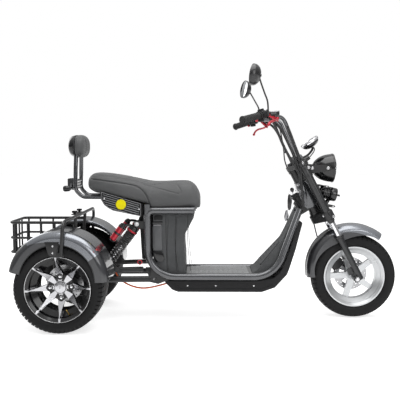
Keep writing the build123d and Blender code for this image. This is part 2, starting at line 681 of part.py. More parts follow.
TOWER_FRONT = 624.0             # foot of the battery box, ahead of the rear axle
SHIELD_FOOT = 559.0             # foot of the leg shield, behind the front axle
DECK_BACK_X = rear(TOWER_FRONT, 0, 0).X
DECK_FRONT_X = front(-SHIELD_FOOT, 0, 0).X
DECK_MIDDLE = ((DECK_BACK_X + DECK_FRONT_X) / 2, 0)
DECK_L = DECK_FRONT_X - DECK_BACK_X
MAT_L = DECK_L - 42
MAT_RIBS = 11
with BuildPart() as foot_deck:
    with BuildSketch(Plane.XY.offset(DECK_TOP - DECK_T)):
        with Locations(DECK_MIDDLE):
            RectangleRounded(DECK_L, 2 * DECK_HALF_W, 12)
    extrude(amount=DECK_T)
    fillet(foot_deck.edges().group_by(Axis.Z)[-1], 2)
foot_deck.part.label = "foot_deck"

with BuildPart() as foot_mat:
    with BuildSketch(Plane.XY.offset(DECK_TOP)):
        with Locations(DECK_MIDDLE):
            RectangleRounded(MAT_L, 2 * DECK_HALF_W - 16, 10)
    extrude(amount=MAT_T - MAT_RIB)
    with BuildSketch(Plane.XY.offset(DECK_TOP + MAT_T - MAT_RIB)):
        with Locations(DECK_MIDDLE):
            with GridLocations(MAT_L / (MAT_RIBS + 1), DECK_HALF_W - 14, MAT_RIBS, 2):
                SlotOverall(DECK_HALF_W - 26, 8, rotation=90)
    extrude(amount=MAT_RIB)
foot_mat.part.label = "foot_mat"

SHIELD_TOP = front(-326, 0, 588)
with BuildPart() as leg_shield:
    with BuildSketch(Plane.XZ.offset(-DECK_HALF_W)):
        with BuildLine():
            Polyline(
                (DECK_FRONT_X, DECK_TOP - DECK_T), (DECK_FRONT_X, DECK_TOP + MAT_T),
                (front(-536, 0, 0).X, 276), (front(-396, 0, 0).X, 437),
            )
            Spline(
                (front(-396, 0, 0).X, 437), (front(-360, 0, 0).X, 512), (SHIELD_TOP.X, SHIELD_TOP.Z),
            )
            Line((SHIELD_TOP.X, SHIELD_TOP.Z), (SHIELD_TOP.X + 14, SHIELD_TOP.Z - 6))
            Spline(
                (SHIELD_TOP.X + 14, SHIELD_TOP.Z - 6), (front(-342, 0, 0).X, 500), (front(-380, 0, 0).X, 412),
                (front(-436, 0, 0).X, 322), (front(-500, 0, 0).X, DECK_TOP - DECK_T),
            )
            Line((front(-500, 0, 0).X, DECK_TOP - DECK_T), (DECK_FRONT_X, DECK_TOP - DECK_T))
        make_face()
    extrude(amount=2 * DECK_HALF_W)
    with BuildSketch(Plane.YZ.offset(DECK_FRONT_X)):
        Polygon(
            (-DECK_HALF_W, DECK_TOP - 20), (DECK_HALF_W, DECK_TOP - 20), (DECK_HALF_W - 8, 310),
            (HEAD_HALF_W - 12, 600), (12 - HEAD_HALF_W, 600), (8 - DECK_HALF_W, 310), align=None,
        )
    extrude(amount=SHIELD_FOOT, mode=Mode.INTERSECT)
    shield_face = Plane(
        origin=front(-466, 0, 356.5), x_dir=(0, -1, 0), z_dir=(-161, 0, 140)
    )
    with BuildSketch(shield_face):
        Polygon((-DECK_HALF_W + 26, -76), (DECK_HALF_W - 26, -76), (46, 84), (-46, 84), align=None)
        fillet(vertices(), 12)
    extrude(amount=5)
    with BuildSketch(shield_face.offset(5)):
        with GridLocations(0, 22, 1, 6):
            SlotOverall(72, 6)
    extrude(amount=-2, mode=Mode.SUBTRACT)
    for piece in (*FRAME_LOOPS, frame_crossbars.part, steering_head.part, neck_cover.part, belly_pan.part):
        add(piece, mode=Mode.SUBTRACT)
leg_shield.part.label = "leg_shield"

TOWER_HALF_W = DECK_HALF_W
BOX_BACK = PILLAR_X + 26
SEAT_PLATE_Z = SEAT_RAIL_Z + FRAME_TUBE_R
with BuildPart() as battery_box:
    with BuildSketch(Plane.XZ.offset(-TOWER_HALF_W)):
        with BuildLine():
            Polyline(
                (rear(618, 0, 0).X, SEAT_PLATE_Z - 136), (rear(668, 0, 0).X, SEAT_PLATE_Z - 41),
                (rear(676, 0, 0).X, SEAT_PLATE_Z - 1), (rear(BOX_BACK, 0, 0).X, SEAT_PLATE_Z - 1),
                (rear(BOX_BACK, 0, 0).X, DECK_TOP + 40), (rear(BOX_BACK + 18, 0, 0).X, DECK_TOP),
                (DECK_BACK_X, DECK_TOP), (rear(622, 0, 0).X, DECK_TOP + 104),
            )
            ThreePointArc(
                (rear(622, 0, 0).X, DECK_TOP + 104), (rear(617, 0, 0).X, DECK_TOP + 160),
                (rear(618, 0, 0).X, SEAT_PLATE_Z - 136),
            )
        make_face()
    extrude(amount=2 * TOWER_HALF_W)
    fillet(battery_box.edges().filter_by(Axis.Y).group_by(Axis.X)[-1], 10)
    for low, high in ((TOWER_HALF_W - 3, TOWER_HALF_W + 1), (-TOWER_HALF_W - 1, 3 - TOWER_HALF_W)):
        for groove in (531, 576):
            plate(
                [
                    rear(groove - 2, 0, DECK_TOP + 14), rear(groove + 2, 0, DECK_TOP + 14),
                    rear(groove - 4, 0, DECK_TOP + 120), rear(groove + 3, 0, SEAT_PLATE_Z - 40),
                    rear(groove - 1, 0, SEAT_PLATE_Z - 40), rear(groove - 8, 0, DECK_TOP + 120),
                ],
                low, high, mode=Mode.SUBTRACT,
            )
    add(frame_crossbars.part, mode=Mode.SUBTRACT)
    for loop in FRAME_LOOPS:
        add(loop, mode=Mode.SUBTRACT)
battery_box.part.label = "battery_box"

HANDLE_X = 484.0
HANDLE_Z = 428.0
HANDLE_SIZE = (40.0, 128.0)
with BuildPart() as battery_handles:
    with BuildSketch(Plane.XZ.offset(-TOWER_HALF_W)):
        with Locations((rear(HANDLE_X, 0, 0).X, HANDLE_Z)):
            RectangleRounded(*HANDLE_SIZE, 8)
            with Locations((0, -HANDLE_SIZE[1] / 2 + 24)):
                RectangleRounded(HANDLE_SIZE[0] - 12, 34, 6, mode=Mode.SUBTRACT)
    extrude(amount=-10)
    fillet(battery_handles.edges().group_by(Axis.Y)[-1], 2.5)
    mirror(about=Plane.XZ)
battery_handles.part.label = "battery_handles"

with BuildPart() as rear_panel:
    plate(
        [
            rear(PILLAR_X - 50, 0, SEAT_RAIL_Z - 14), rear(BOX_BACK - 6, 0, SEAT_RAIL_Z - 14),
            rear(BOX_BACK - 6, 0, DECK_TOP + 76), rear(PILLAR_X - 38, 0, DECK_TOP + 76),
        ],
        -SHOCK_HALF_W + 26, SHOCK_HALF_W - 26, corner=8,
    )
    add(frame_crossbars.part, mode=Mode.SUBTRACT)
rear_panel.part.label = "rear_panel"

# ================================================================ seat
def seat_point(x, z):
    """Side-view point ahead of the rear axle and above the seat plate's underside."""
    return (REAR_X + x, SEAT_PLATE_Z + z)


SEAT_PLATE_T = 19.0
SEAT_PLATE_HALF_W = 138.0
with BuildPart() as seat_base:
    with BuildSketch(Plane.XY.offset(SEAT_PLATE_Z)):
        with BuildLine():
            Polyline((REAR_X + 445, -118), (REAR_X + 445, 118), (REAR_X + 640, 118))
            ThreePointArc((REAR_X + 640, 118), (REAR_X + 665, 0), (REAR_X + 640, -118))
            Line((REAR_X + 640, -118), (REAR_X + 445, -118))
        make_face()
        offset(amount=SEAT_PLATE_HALF_W - 118)
    extrude(amount=SEAT_PLATE_T)
    with BuildSketch(Plane.XZ.offset(-PAN_HALF_W)):
        with BuildLine():
            Polyline(
                seat_point(176, 85), seat_point(280, 64), seat_point(400, 35), seat_point(400, -26),
                seat_point(280, -9),
            )
            Spline(seat_point(280, -9), seat_point(210, 15), seat_point(184, 44), seat_point(176, 85))
        make_face()
    extrude(amount=2 * PAN_HALF_W)
    plate(
        [
            rear(399, 0, SEAT_PLATE_Z), rear(446, 0, SEAT_PLATE_Z), rear(446, 0, SEAT_PLATE_Z + SEAT_PLATE_T),
            rear(432, 0, SEAT_PLATE_Z + SEAT_PLATE_T), rear(399, 0, SEAT_PLATE_Z + 33),
        ],
        -105, 105,
    )
    for loop in FRAME_LOOPS:
        add(loop, mode=Mode.SUBTRACT)
seat_base.part.label = "seat_base"

SEAT_TAIL = 108.0
SEAT_NOSE = 701.0
SEAT_NOSE_HALF_W = 118.0
with BuildPart() as seat:
    with BuildSketch(Plane.XZ.offset(-SEAT_HALF_W)):
        with BuildLine():
            Polyline(
                seat_point(699, 59.5), seat_point(664, SEAT_PLATE_T + SOFT_GAP),
                seat_point(438, SEAT_PLATE_T + SOFT_GAP), seat_point(436, 34.5), seat_point(280, 66.5),
                seat_point(179, 91.5), seat_point(130, 99),
            )
            Spline(
                seat_point(130, 99), seat_point(SEAT_TAIL, 144), seat_point(134, 194), seat_point(230, 188),
                seat_point(380, 159), seat_point(461, 146), seat_point(560, 150), seat_point(637, 150),
                seat_point(SEAT_NOSE, 85), seat_point(699, 59.5),
            )
        make_face()
    extrude(amount=2 * SEAT_HALF_W)
    with BuildSketch(Plane.XY.offset(SEAT_PLATE_Z)):
        with BuildLine():
            side_line = Spline(
                (REAR_X + SEAT_TAIL - 2, SEAT_HALF_W - 35), (REAR_X + 170, SEAT_HALF_W),
                (REAR_X + 420, SEAT_HALF_W - 8), (REAR_X + SEAT_NOSE + 2, SEAT_NOSE_HALF_W),
            )
            mirror(side_line, about=Plane.XZ)
            Line(side_line @ 0, (REAR_X + SEAT_TAIL - 2, 35 - SEAT_HALF_W))
            Line(side_line @ 1, (REAR_X + SEAT_NOSE + 2, -SEAT_NOSE_HALF_W))
        make_face()
    extrude(amount=300, mode=Mode.INTERSECT)
seat.part.label = "seat"

GRILLE_WINDOW = 12.0            # frame width around the slats
SLATS = 6
SLAT_T = 4.0
with BuildPart() as side_grilles:
    with BuildSketch(Plane.XZ.offset(-PAN_HALF_W - BODY_GAP)) as panel:
        with BuildLine():
            Polyline(
                seat_point(205, 6), seat_point(182, 40), seat_point(173, 88), seat_point(394, 31),
                seat_point(396, -34), seat_point(290, -21), seat_point(240, -9), close=True,
            )
        make_face()
        fillet(panel.vertices(), 8)
    extrude(amount=-3)
    with BuildSketch(Plane.XZ.offset(-PAN_HALF_W - BODY_GAP - 3)) as rim_ring:
        add(panel.sketch)
        offset(panel.sketch, amount=-GRILLE_WINDOW, mode=Mode.SUBTRACT)
    extrude(amount=-GRILLE_T + 3)
    slat_angle = math.degrees(math.atan2(88 - 31, 394 - 173))
    with BuildSketch(Plane.XZ.offset(-PAN_HALF_W - BODY_GAP - 3)) as slats:
        with Locations(Location((*seat_point(284, 28), 0), slat_angle)):
            with GridLocations(0, 13, 1, SLATS):
                Rectangle(300, SLAT_T)
        offset(panel.sketch, amount=-GRILLE_WINDOW + 1, mode=Mode.INTERSECT)
    extrude(amount=-GRILLE_T + 5)
    mirror(about=Plane.XZ)
side_grilles.part.label = "side_grilles"

with BuildPart() as side_reflectors:
    spun(
        Plane(origin=(REAR_X + 285, PAN_HALF_W + BODY_GAP + GRILLE_T, SEAT_PLATE_Z + 32), z_dir=(0, 1, 0)),
        [(0, 0), (REFLECTOR_R, 0), (REFLECTOR_R, 4), (REFLECTOR_R - 3, 6.5), (0, 7.5)],
    )
    mirror(about=Plane.XZ)
side_reflectors.part.label = "side_reflectors"

BACK_HALF_W = 105.0
BACK_BAR_Z = SEAT_PLATE_Z + 144
PAD_LOW = SEAT_PLATE_Z + 237
PAD_HIGH = SEAT_PLATE_Z + 405
with BuildPart() as backrest_frame:
    tube(
        [
            rear(180, BACK_HALF_W, SEAT_PLATE_Z + 76), rear(48, BACK_HALF_W, SEAT_PLATE_Z + 76),
            rear(41, BACK_HALF_W - 5, SEAT_PLATE_Z + 189), rear(38, 60, PAD_LOW + 67),
        ],
        [55, 60],
        BACK_TUBE_R,
    )
    plate(
        [
            rear(150, 0, SEAT_PLATE_Z + 70), rear(220, 0, SEAT_PLATE_Z + 50),
            rear(220, 0, SEAT_PLATE_Z + 70), rear(150, 0, SEAT_PLATE_Z + 78),
        ],
        BACK_HALF_W - 3, BACK_HALF_W + 3,
    )
    mirror(about=Plane.XZ)
    rod(rear(44, 1 - BACK_HALF_W, BACK_BAR_Z), rear(44, BACK_HALF_W - 1, BACK_BAR_Z), BACK_TUBE_R - 3)
    add(seat_base.part, mode=Mode.SUBTRACT)
backrest_frame.part.label = "backrest_frame"

with BuildPart() as backrest_pad:
    with BuildSketch(Plane.YZ.offset(REAR_X)):
        with Locations((0, (PAD_LOW + PAD_HIGH) / 2)):
            RectangleRounded(2 * BACK_PAD_HALF_W, PAD_HIGH - PAD_LOW, 60)
    extrude(amount=114)
    fillet(backrest_pad.edges().group_by(Axis.X)[-1], 24)
    fillet(backrest_pad.edges().group_by(Axis.X)[0], 16)
    add(backrest_frame.part, mode=Mode.SUBTRACT)
backrest_pad.part.label = "backrest_pad"

LAMP_Z = SEAT_PLATE_Z + 142
INDICATOR_Z = SEAT_PLATE_Z + 115
with BuildPart() as tail_lamps:
    plate(
        [
            rear(-17, 0, LAMP_Z - 24), rear(36, 0, LAMP_Z - 14), rear(36, 0, LAMP_Z + 16),
            rear(-17, 0, LAMP_Z + 24),
        ],
        -46, 46, corner=5,
    )
    plate(
        [rear(8, 0, INDICATOR_Z - 14), rear(12, 0, INDICATOR_Z - 14), rear(24, 0, LAMP_Z), rear(8, 0, LAMP_Z)],
        -40, 40,
    )
    for sign in (1, -1):
        rod(rear(10, sign * 30, INDICATOR_Z), rear(2, sign * 112, INDICATOR_Z), 5)
        spun(
            Plane(origin=rear(20, sign * 125, INDICATOR_Z), x_dir=(0, 1, 0), z_dir=(-1, 0, 0)),
            [(0, 0), (8, 1), (14, 9), (16, 24), (16, 34), (13, 40), (0, 43)],
        )
    add(backrest_frame.part, mode=Mode.SUBTRACT)
tail_lamps.part.label = "tail_lamps"

# ================================================================ rear fenders, hoop and rack
FENDER_AXIS = Axis((REAR_X, 0, FENDER_Z), (0, -1, 0))
LIP_R = REAR_FENDER_R - REAR_SKIRT
TAB_X = -7.0
with BuildPart() as rear_fender_left:
    with BuildSketch(Plane(origin=(REAR_X, 0, FENDER_Z))):
        with BuildLine():
            Line((REAR_FENDER_R - 14, FENDER_INNER_Y + 1), (REAR_FENDER_R - 9, FENDER_INNER_Y + 1))
            ThreePointArc(
                (REAR_FENDER_R - 9, FENDER_INNER_Y + 1), (REAR_FENDER_R - 3, FENDER_INNER_Y + 5),
                (REAR_FENDER_R, FENDER_INNER_Y + 16),
            )
            Line((REAR_FENDER_R, FENDER_INNER_Y + 16), (REAR_FENDER_R, FENDER_OUTER_Y - 46))
            ThreePointArc(
                (REAR_FENDER_R, FENDER_OUTER_Y - 46), (REAR_FENDER_R - 10, FENDER_OUTER_Y - 15),
                (REAR_FENDER_R - 32, FENDER_OUTER_Y - 3),
            )
            Line((REAR_FENDER_R - 32, FENDER_OUTER_Y - 3), (LIP_R, FENDER_OUTER_Y - 2))
        trace(line_width=SHEET)
    revolve(axis=FENDER_AXIS, revolution_arc=REAR_FENDER_ARC)
    plate(
        [
            rear(TAB_X - 24, 0, FENDER_Z + LIP_R + 8), rear(TAB_X + 24, 0, FENDER_Z + LIP_R + 8),
            rear(TAB_X + 13, 0, FENDER_Z + LIP_R - 54), rear(TAB_X - 13, 0, FENDER_Z + LIP_R - 54),
        ],
        FENDER_OUTER_Y - 2 - SHEET / 2, FENDER_OUTER_Y - 2 + SHEET / 2, corner=5,
    )
rear_fender_left.part.label = "rear_fender_left"

with BuildPart() as rear_fender_right:
    mirror(rear_fender_left.part, about=Plane.XZ)
rear_fender_right.part.label = "rear_fender_right"
REAR_FENDERS = (rear_fender_left.part, rear_fender_right.part)

LEG_Y = FENDER_OUTER_Y + HOOP_TUBE_R + 1
LEG_FOOT_Z = FENDER_Z + LIP_R - 50
FLAT_BAR_W = 26.0
KNOB_HOLE_R = 4.2
KNOB_SPACING = 120.0
with BuildPart() as fender_hoop:
    tube(
        [
            rear(HOOP_X - 14, LEG_Y, LEG_FOOT_Z), rear(HOOP_X - 4, LEG_Y - 3, HOOP_Z),
            rear(HOOP_X - 4, 0, HOOP_Z),
        ],
        [45],
        HOOP_TUBE_R,
    )
    rod(rear(HOOP_X - 2, RACK_HALF_W - 7, HOOP_Z), rear(20, ARM_HALF_W, REAR_Z + 20), HOOP_TUBE_R)
    plate(
        [
            rear(HOOP_X - 24, 0, LEG_FOOT_Z + 12), rear(HOOP_X - 4, 0, LEG_FOOT_Z + 12),
            rear(HOOP_X - 4, 0, LEG_FOOT_Z - 12), rear(TAB_X - 8, 0, LEG_FOOT_Z - 12),
            rear(TAB_X - 8, 0, LEG_FOOT_Z + 4),
        ],
        FENDER_OUTER_Y, FENDER_OUTER_Y + 4, corner=3,
    )
    mirror(about=Plane.XZ)
    with BuildSketch(Plane.XY.offset(HOOP_Z + HOOP_TUBE_R - 4)) as flat_bar:
        with Locations((REAR_X + HOOP_X - 4 - FLAT_BAR_W / 2 - 4, 0)):
            RectangleRounded(FLAT_BAR_W, KNOB_SPACING + 50, 5)
            with GridLocations(0, KNOB_SPACING, 1, 2):
                Circle(KNOB_HOLE_R, mode=Mode.SUBTRACT)
    extrude(amount=4)
    for fender in REAR_FENDERS:
        add(fender, mode=Mode.SUBTRACT)
    add(swing_arm.part, mode=Mode.SUBTRACT)
    add(motor_axle.part, mode=Mode.SUBTRACT)
fender_hoop.part.label = "fender_hoop"

RACK_FRONT = HOOP_X - 22
RACK_BACK = RACK_TUBE_R - REAR_OVERHANG
RACK_FLOOR_BARS = 5
with BuildPart() as rear_rack:
    for height, lean, corner in ((RACK_TOP, 12, 35), (RACK_MIDDLE, 8, 60), (RACK_FLOOR, 0, 35)):
        tube(
            [
                rear(RACK_FRONT, -RACK_HALF_W, height), rear(RACK_BACK + lean, -RACK_HALF_W, height),
                rear(RACK_BACK + lean, RACK_HALF_W, height), rear(RACK_FRONT, RACK_HALF_W, height),
            ],
            [corner, corner],
            RACK_TUBE_R,
        )
    for bar in range(3):
        bar_x = RACK_FRONT - 10 - bar * (RACK_FRONT - 10 - RACK_BACK - 60) / 2
        for sign in (1, -1):
            rod(
                rear(bar_x, sign * RACK_HALF_W, RACK_FLOOR), rear(bar_x, sign * RACK_HALF_W, RACK_TOP),
                RACK_TUBE_R - 1.5,
            )
    for y in (-RACK_HALF_W / 2, RACK_HALF_W / 2):
        rod(rear(RACK_BACK + 12, y, RACK_TOP), rear(RACK_BACK, y, RACK_FLOOR), RACK_TUBE_R - 1.5)
    for bar in range(RACK_FLOOR_BARS):
        bar_x = RACK_FRONT - 10 - bar * (RACK_FRONT - 10 - RACK_BACK - 60) / (RACK_FLOOR_BARS - 1)
        rod(rear(bar_x, -RACK_HALF_W, RACK_FLOOR), rear(bar_x, RACK_HALF_W, RACK_FLOOR), RACK_TUBE_R - 2)
    for sign in (1, -1):
        rod(
            rear(RACK_FRONT - 4, sign * RACK_HALF_W, RACK_TOP),
            rear(HOOP_X - 4, sign * RACK_HALF_W, HOOP_Z),
            RACK_TUBE_R,
        )
    add(fender_hoop.part, mode=Mode.SUBTRACT)
rear_rack.part.label = "rear_rack"

CALIPER_Y = WHEEL_Y - REAR_DISC_SET - DISC_T / 2
PAD_GAP = 1.5
with BuildPart() as rear_calipers:
    plate(
        [
            rear(36, 0, REAR_Z + 52), rear(66, 0, REAR_Z + 22), rear(103, 0, REAR_Z + 46),
            rear(66, 0, REAR_Z + 93), rear(42, 0, REAR_Z + 90),
        ],
        CALIPER_Y - 24, CALIPER_Y + 14, corner=7,
    )
    fillet(rear_calipers.edges().group_by(Axis.Y)[-1], 4)
    turned(
        [
            (0, CALIPER_Y - DISC_T / 2 - PAD_GAP), (REAR_DISC_R + 1.5, CALIPER_Y - DISC_T / 2 - PAD_GAP),
            (REAR_DISC_R + 1.5, CALIPER_Y + DISC_T / 2 + PAD_GAP), (0, CALIPER_Y + DISC_T / 2 + PAD_GAP),
        ],
        REAR_AXIS,
        mode=Mode.SUBTRACT,
    )
    bracket_in = CALIPER_Y - 32
    plate(
        [
            rear(-30, 0, REAR_Z - 30), rear(30, 0, REAR_Z - 34), rear(84, 0, REAR_Z + 44),
            rear(60, 0, REAR_Z + 90), rear(40, 0, REAR_Z + 90), rear(-30, 0, REAR_Z + 34),
        ],
        bracket_in, CALIPER_Y - 24, corner=8,
    )
    rod(rear(0, bracket_in - 1, REAR_Z), rear(0, CALIPER_Y, REAR_Z), AXLE_TUBE_R, mode=Mode.SUBTRACT)
    mirror(about=Plane.XZ)
rear_calipers.part.label = "rear_calipers"

CABLE_R = 4.0
CABLE_BENDS = [60, 80, 100, 120, 100]
with BuildPart() as motor_cable:
    tube(
        [
            rear(70, -60, 222), rear(115, -62, 216), rear(170, -66, 196), rear(225, -70, 184),
            rear(285, -72, 180), rear(345, -74, 188), rear(400, -76, 206),
        ],
        CABLE_BENDS,
        CABLE_R,
    )
    add(motor_axle.part, mode=Mode.SUBTRACT)
motor_cable.part.label = "motor_cable"

SWITCH_AT = HEAD_LOW + 146
with BuildPart() as ignition_switch:
    switch_root = steer(-80, -14, SWITCH_AT)
    switch_way = steer(-120, -14, SWITCH_AT + 14) - switch_root
    barrel = Plane(origin=switch_root, x_dir=(0, 1, 0), z_dir=switch_way)
    stack(barrel, [(13, 0), (16, 20), (12, 28)], 34)
    with BuildSketch(Plane(origin=barrel.origin, x_dir=barrel.z_dir, z_dir=(0, 1, 0))) as key:
        with Locations((44, 0)):
            RectangleRounded(26, 3, 1)
        with Locations((64, 0)):
            Circle(10)
            Circle(4, mode=Mode.SUBTRACT)
    extrude(amount=1.2, both=True)
    add(neck_cover.part, mode=Mode.SUBTRACT)
ignition_switch.part.label = "ignition_switch"

# ================================================================ steering
def steered(forward, left, up, direction=(0, 0, 1)):
    """Plane in the steering frame whose normal is given in that frame."""
    normal = steer(*direction) - steer(0, 0, 0)
    across = steer(0, 1, 0) - steer(0, 0, 0)
    return Plane(origin=steer(forward, left, up), x_dir=across, z_dir=normal)


LEG_LOW = -14.0
YOKE_TOP = UPPER_YOKE_AT + UPPER_YOKE_T
with BuildPart() as fork_legs:
    stack(
        steered(FORK_OFFSET, FORK_HALF_W, 0),
        [
            (FORK_LOWER_R - 3, LEG_LOW), (FORK_LOWER_R, LEG_LOW + 5), (FORK_LOWER_R + 3, FORK_LOWER_L - 22),
            (FORK_LOWER_R - 1, FORK_LOWER_L - 4), (STANCHION_R, FORK_LOWER_L),
            (FORK_UPPER_R - 2, LOWER_YOKE_AT - 14), (FORK_UPPER_R, LOWER_YOKE_AT - 5),
            (FORK_UPPER_R - 4, YOKE_TOP + 5),
        ],
        YOKE_TOP + 10,
    )
    boss_half = FORK_LOWER_R + 1
    rod(
        front(0, FORK_HALF_W - boss_half, FRONT_Z), front(0, FORK_HALF_W + boss_half, FRONT_Z),
        FORK_LOWER_R + 1,
    )
    plate(
        [
            steer(FORK_OFFSET, 0, 70), steer(FORK_OFFSET - 46, 0, 62), steer(FORK_OFFSET - 46, 0, 30),
            steer(FORK_OFFSET, 0, 22),
        ],
        FORK_HALF_W - 16, FORK_HALF_W - 8,
    )
    mirror(about=Plane.XZ)
    axle_half = FORK_HALF_W + 30
    inner_face = FORK_HALF_W - boss_half
    rod(
        front(0, -axle_half, FRONT_Z), front(0, axle_half, FRONT_Z),
        FRONT_AXLE_R, mode=Mode.SUBTRACT,
    )
    rod(
        front(0, -inner_face, FRONT_Z), front(0, inner_face, FRONT_Z),
        FORK_LOWER_R + 8, mode=Mode.SUBTRACT,
    )
fork_legs.part.label = "fork_legs"

NUT_R = 12.0
with BuildPart() as front_axle:
    rod(front(0, -axle_half, FRONT_Z), front(0, axle_half, FRONT_Z), FRONT_AXLE_R)
    spacer_l = inner_face - FRONT_DISC_Y - 0.3
    for sign in (1, -1):
        nut_face = front(0, sign * (FORK_HALF_W + boss_half), FRONT_Z)
        with BuildSketch(Plane(origin=nut_face, x_dir=(1, 0, 0), z_dir=(0, sign, 0))):
            RegularPolygon(NUT_R, 6)
        extrude(amount=8)
        spacer = Plane(origin=front(0, sign * inner_face, FRONT_Z), x_dir=(1, 0, 0), z_dir=(0, -sign, 0))
        stack(spacer, [(FRONT_AXLE_R + 4, 0)], spacer_l)
front_axle.part.label = "front_axle"

YOKE_WALL = 9.0
with BuildPart() as fork_yokes:
    for at, thick, middle_r in ((LOWER_YOKE_AT, LOWER_YOKE_T, 40), (UPPER_YOKE_AT, UPPER_YOKE_T, 34)):
        with BuildSketch(STEER.offset(at)):
            with Locations((FORK_OFFSET, -FORK_HALF_W), (FORK_OFFSET, FORK_HALF_W)):
                Circle(FORK_UPPER_R + YOKE_WALL)
            Circle(middle_r)
            make_hull()
        extrude(amount=thick)
    chamfer(fork_yokes.edges().filter_by(GeomType.LINE), 3)
    stack(STEER, [(STEM_R, LOWER_YOKE_AT), (STEM_R - 3, YOKE_TOP), (20, YOKE_TOP + 1)], YOKE_TOP + 12)
    slit_y = FORK_HALF_W + FORK_UPPER_R + YOKE_WALL - 4
    for side in (1, -1):
        for at, thick in ((LOWER_YOKE_AT, LOWER_YOKE_T), (UPPER_YOKE_AT, UPPER_YOKE_T)):
            with BuildSketch(steered(FORK_OFFSET, side * slit_y, at + thick / 2)):
                Rectangle(12, 4)
            extrude(amount=thick / 2, both=True, mode=Mode.SUBTRACT)
    add(fork_legs.part, mode=Mode.SUBTRACT)
fork_yokes.part.label = "fork_yokes"

RISER_FOOT = (FORK_OFFSET, FORK_HALF_W - 30, YOKE_TOP + 4)
RISER_TOP = (FORK_OFFSET + 21, FORK_HALF_W - 2, YOKE_TOP + 250)
GRIP_IN = (FORK_OFFSET - 85, 236.0, YOKE_TOP + 312)
GRIP_OUT = (FORK_OFFSET - 194, 340.0, YOKE_TOP + 332)
BAR_LINE = (Vector(GRIP_IN) - Vector(GRIP_OUT)).normalized()
with BuildPart() as handlebar:
    tube([steer(*GRIP_OUT), steer(*GRIP_IN), steer(*RISER_TOP), steer(*RISER_FOOT)], [70, 55], BAR_R)
    with BuildSketch(steered(RISER_FOOT[0], RISER_FOOT[1], YOKE_TOP)):
        RectangleRounded(36, 36, 8)
    extrude(amount=34)
    for fin in range(4):
        with BuildSketch(steered(RISER_FOOT[0], RISER_FOOT[1], YOKE_TOP + 5 + 7 * fin)):
            RectangleRounded(44, 44, 10)
        extrude(amount=3.5)
    mirror(about=Plane.XZ)
    add(fork_yokes.part, mode=Mode.SUBTRACT)
    add(fork_legs.part, mode=Mode.SUBTRACT)
handlebar.part.label = "handlebar"


def bar_plane(distance):
    """Plane square to the bar's left end, a distance in from its tip."""
    return steered(*(Vector(GRIP_OUT) + BAR_LINE * distance), direction=tuple(BAR_LINE))


RIDGES = 9
with BuildPart() as grips:
    stack(
        bar_plane(0),
        [(GRIP_R - 1, -10), (GRIP_R + 2, -6), (GRIP_R - 1, 0), (GRIP_R + 4, GRIP_L - 6)],
        GRIP_L,
    )
    for ridge in range(RIDGES):
        stack(bar_plane(14 + ridge * (GRIP_L - 36) / (RIDGES - 1)), [(GRIP_R, 0)], 5)
    mirror(about=Plane.XZ)
    add(handlebar.part, mode=Mode.SUBTRACT)
grips.part.label = "grips"

HOUSING_R = 23.0
with BuildPart() as switchgear:
    stack(bar_plane(GRIP_L + 1), [(HOUSING_R - 3, 0), (HOUSING_R, 3), (HOUSING_R - 3, 33)], 36)
    with BuildSketch(bar_plane(GRIP_L + 8)):
        with Locations((0, HOUSING_R - 2)):
            RectangleRounded(22, 18, 4)
    extrude(amount=24)
    mirror(about=Plane.XZ)
    add(handlebar.part, mode=Mode.SUBTRACT)
switchgear.part.label = "switchgear"

LEVER_CLAMP = GRIP_L + 50
with BuildPart() as brake_levers:
    stack(bar_plane(LEVER_CLAMP), [(BAR_R + 6, 0)], 20)
    clamp = steered(*(Vector(GRIP_OUT) + BAR_LINE * (LEVER_CLAMP + 10)))
    pivot = clamp.origin + (steer(42, 0, -14) - steer(0, 0, 0))
    rod(clamp.origin, pivot, 9)
    reservoir_base = clamp.origin + (steer(30, 0, 20) - steer(0, 0, 0))
    rod(pivot, reservoir_base, 8)
    with BuildSketch(Plane(origin=reservoir_base, x_dir=(1, 0, 0), z_dir=(0, 0, 1))):
        RectangleRounded(44, 30, 5)
    extrude(amount=24)
    tube(
        [
            pivot, pivot + (steer(6, 40, -6) - steer(0, 0, 0)), pivot + (steer(-58, 100, -2) - steer(0, 0, 0)),
            pivot + (steer(-104, 128, -12) - steer(0, 0, 0)),
        ],
        [36, 60],
        5.5,
    )
    mirror(about=Plane.XZ)
    add(handlebar.part, mode=Mode.SUBTRACT)
brake_levers.part.label = "brake_levers"

MIRROR_HEAD = front(-579, 322, 1282)
with BuildPart() as mirrors:
    perch = Vector(reservoir_base) + Vector(-4, 24, 4)
    tube([perch + Vector(0, 0, -14), perch + Vector(-8, 6, 26), MIRROR_HEAD + Vector(24, -4, -22)], [30], 4)
    rod(perch + Vector(0, 0, -16), perch + Vector(0, 0, 4), 7)
    glass = Plane(origin=MIRROR_HEAD, z_dir=(-math.cos(math.radians(18)), -math.sin(math.radians(18)), 0))
    spun(
        glass,
        [
            (0, 0), (MIRROR_R - 3, 0), (MIRROR_R - 3, 4), (MIRROR_R, 4), (MIRROR_R, -3),
            (MIRROR_R - 8, -14), (MIRROR_R - 24, -23), (0, -28),
        ],
    )
    add(brake_levers.part, mode=Mode.SUBTRACT)
    mirror(about=Plane.XZ)
mirrors.part.label = "mirrors"

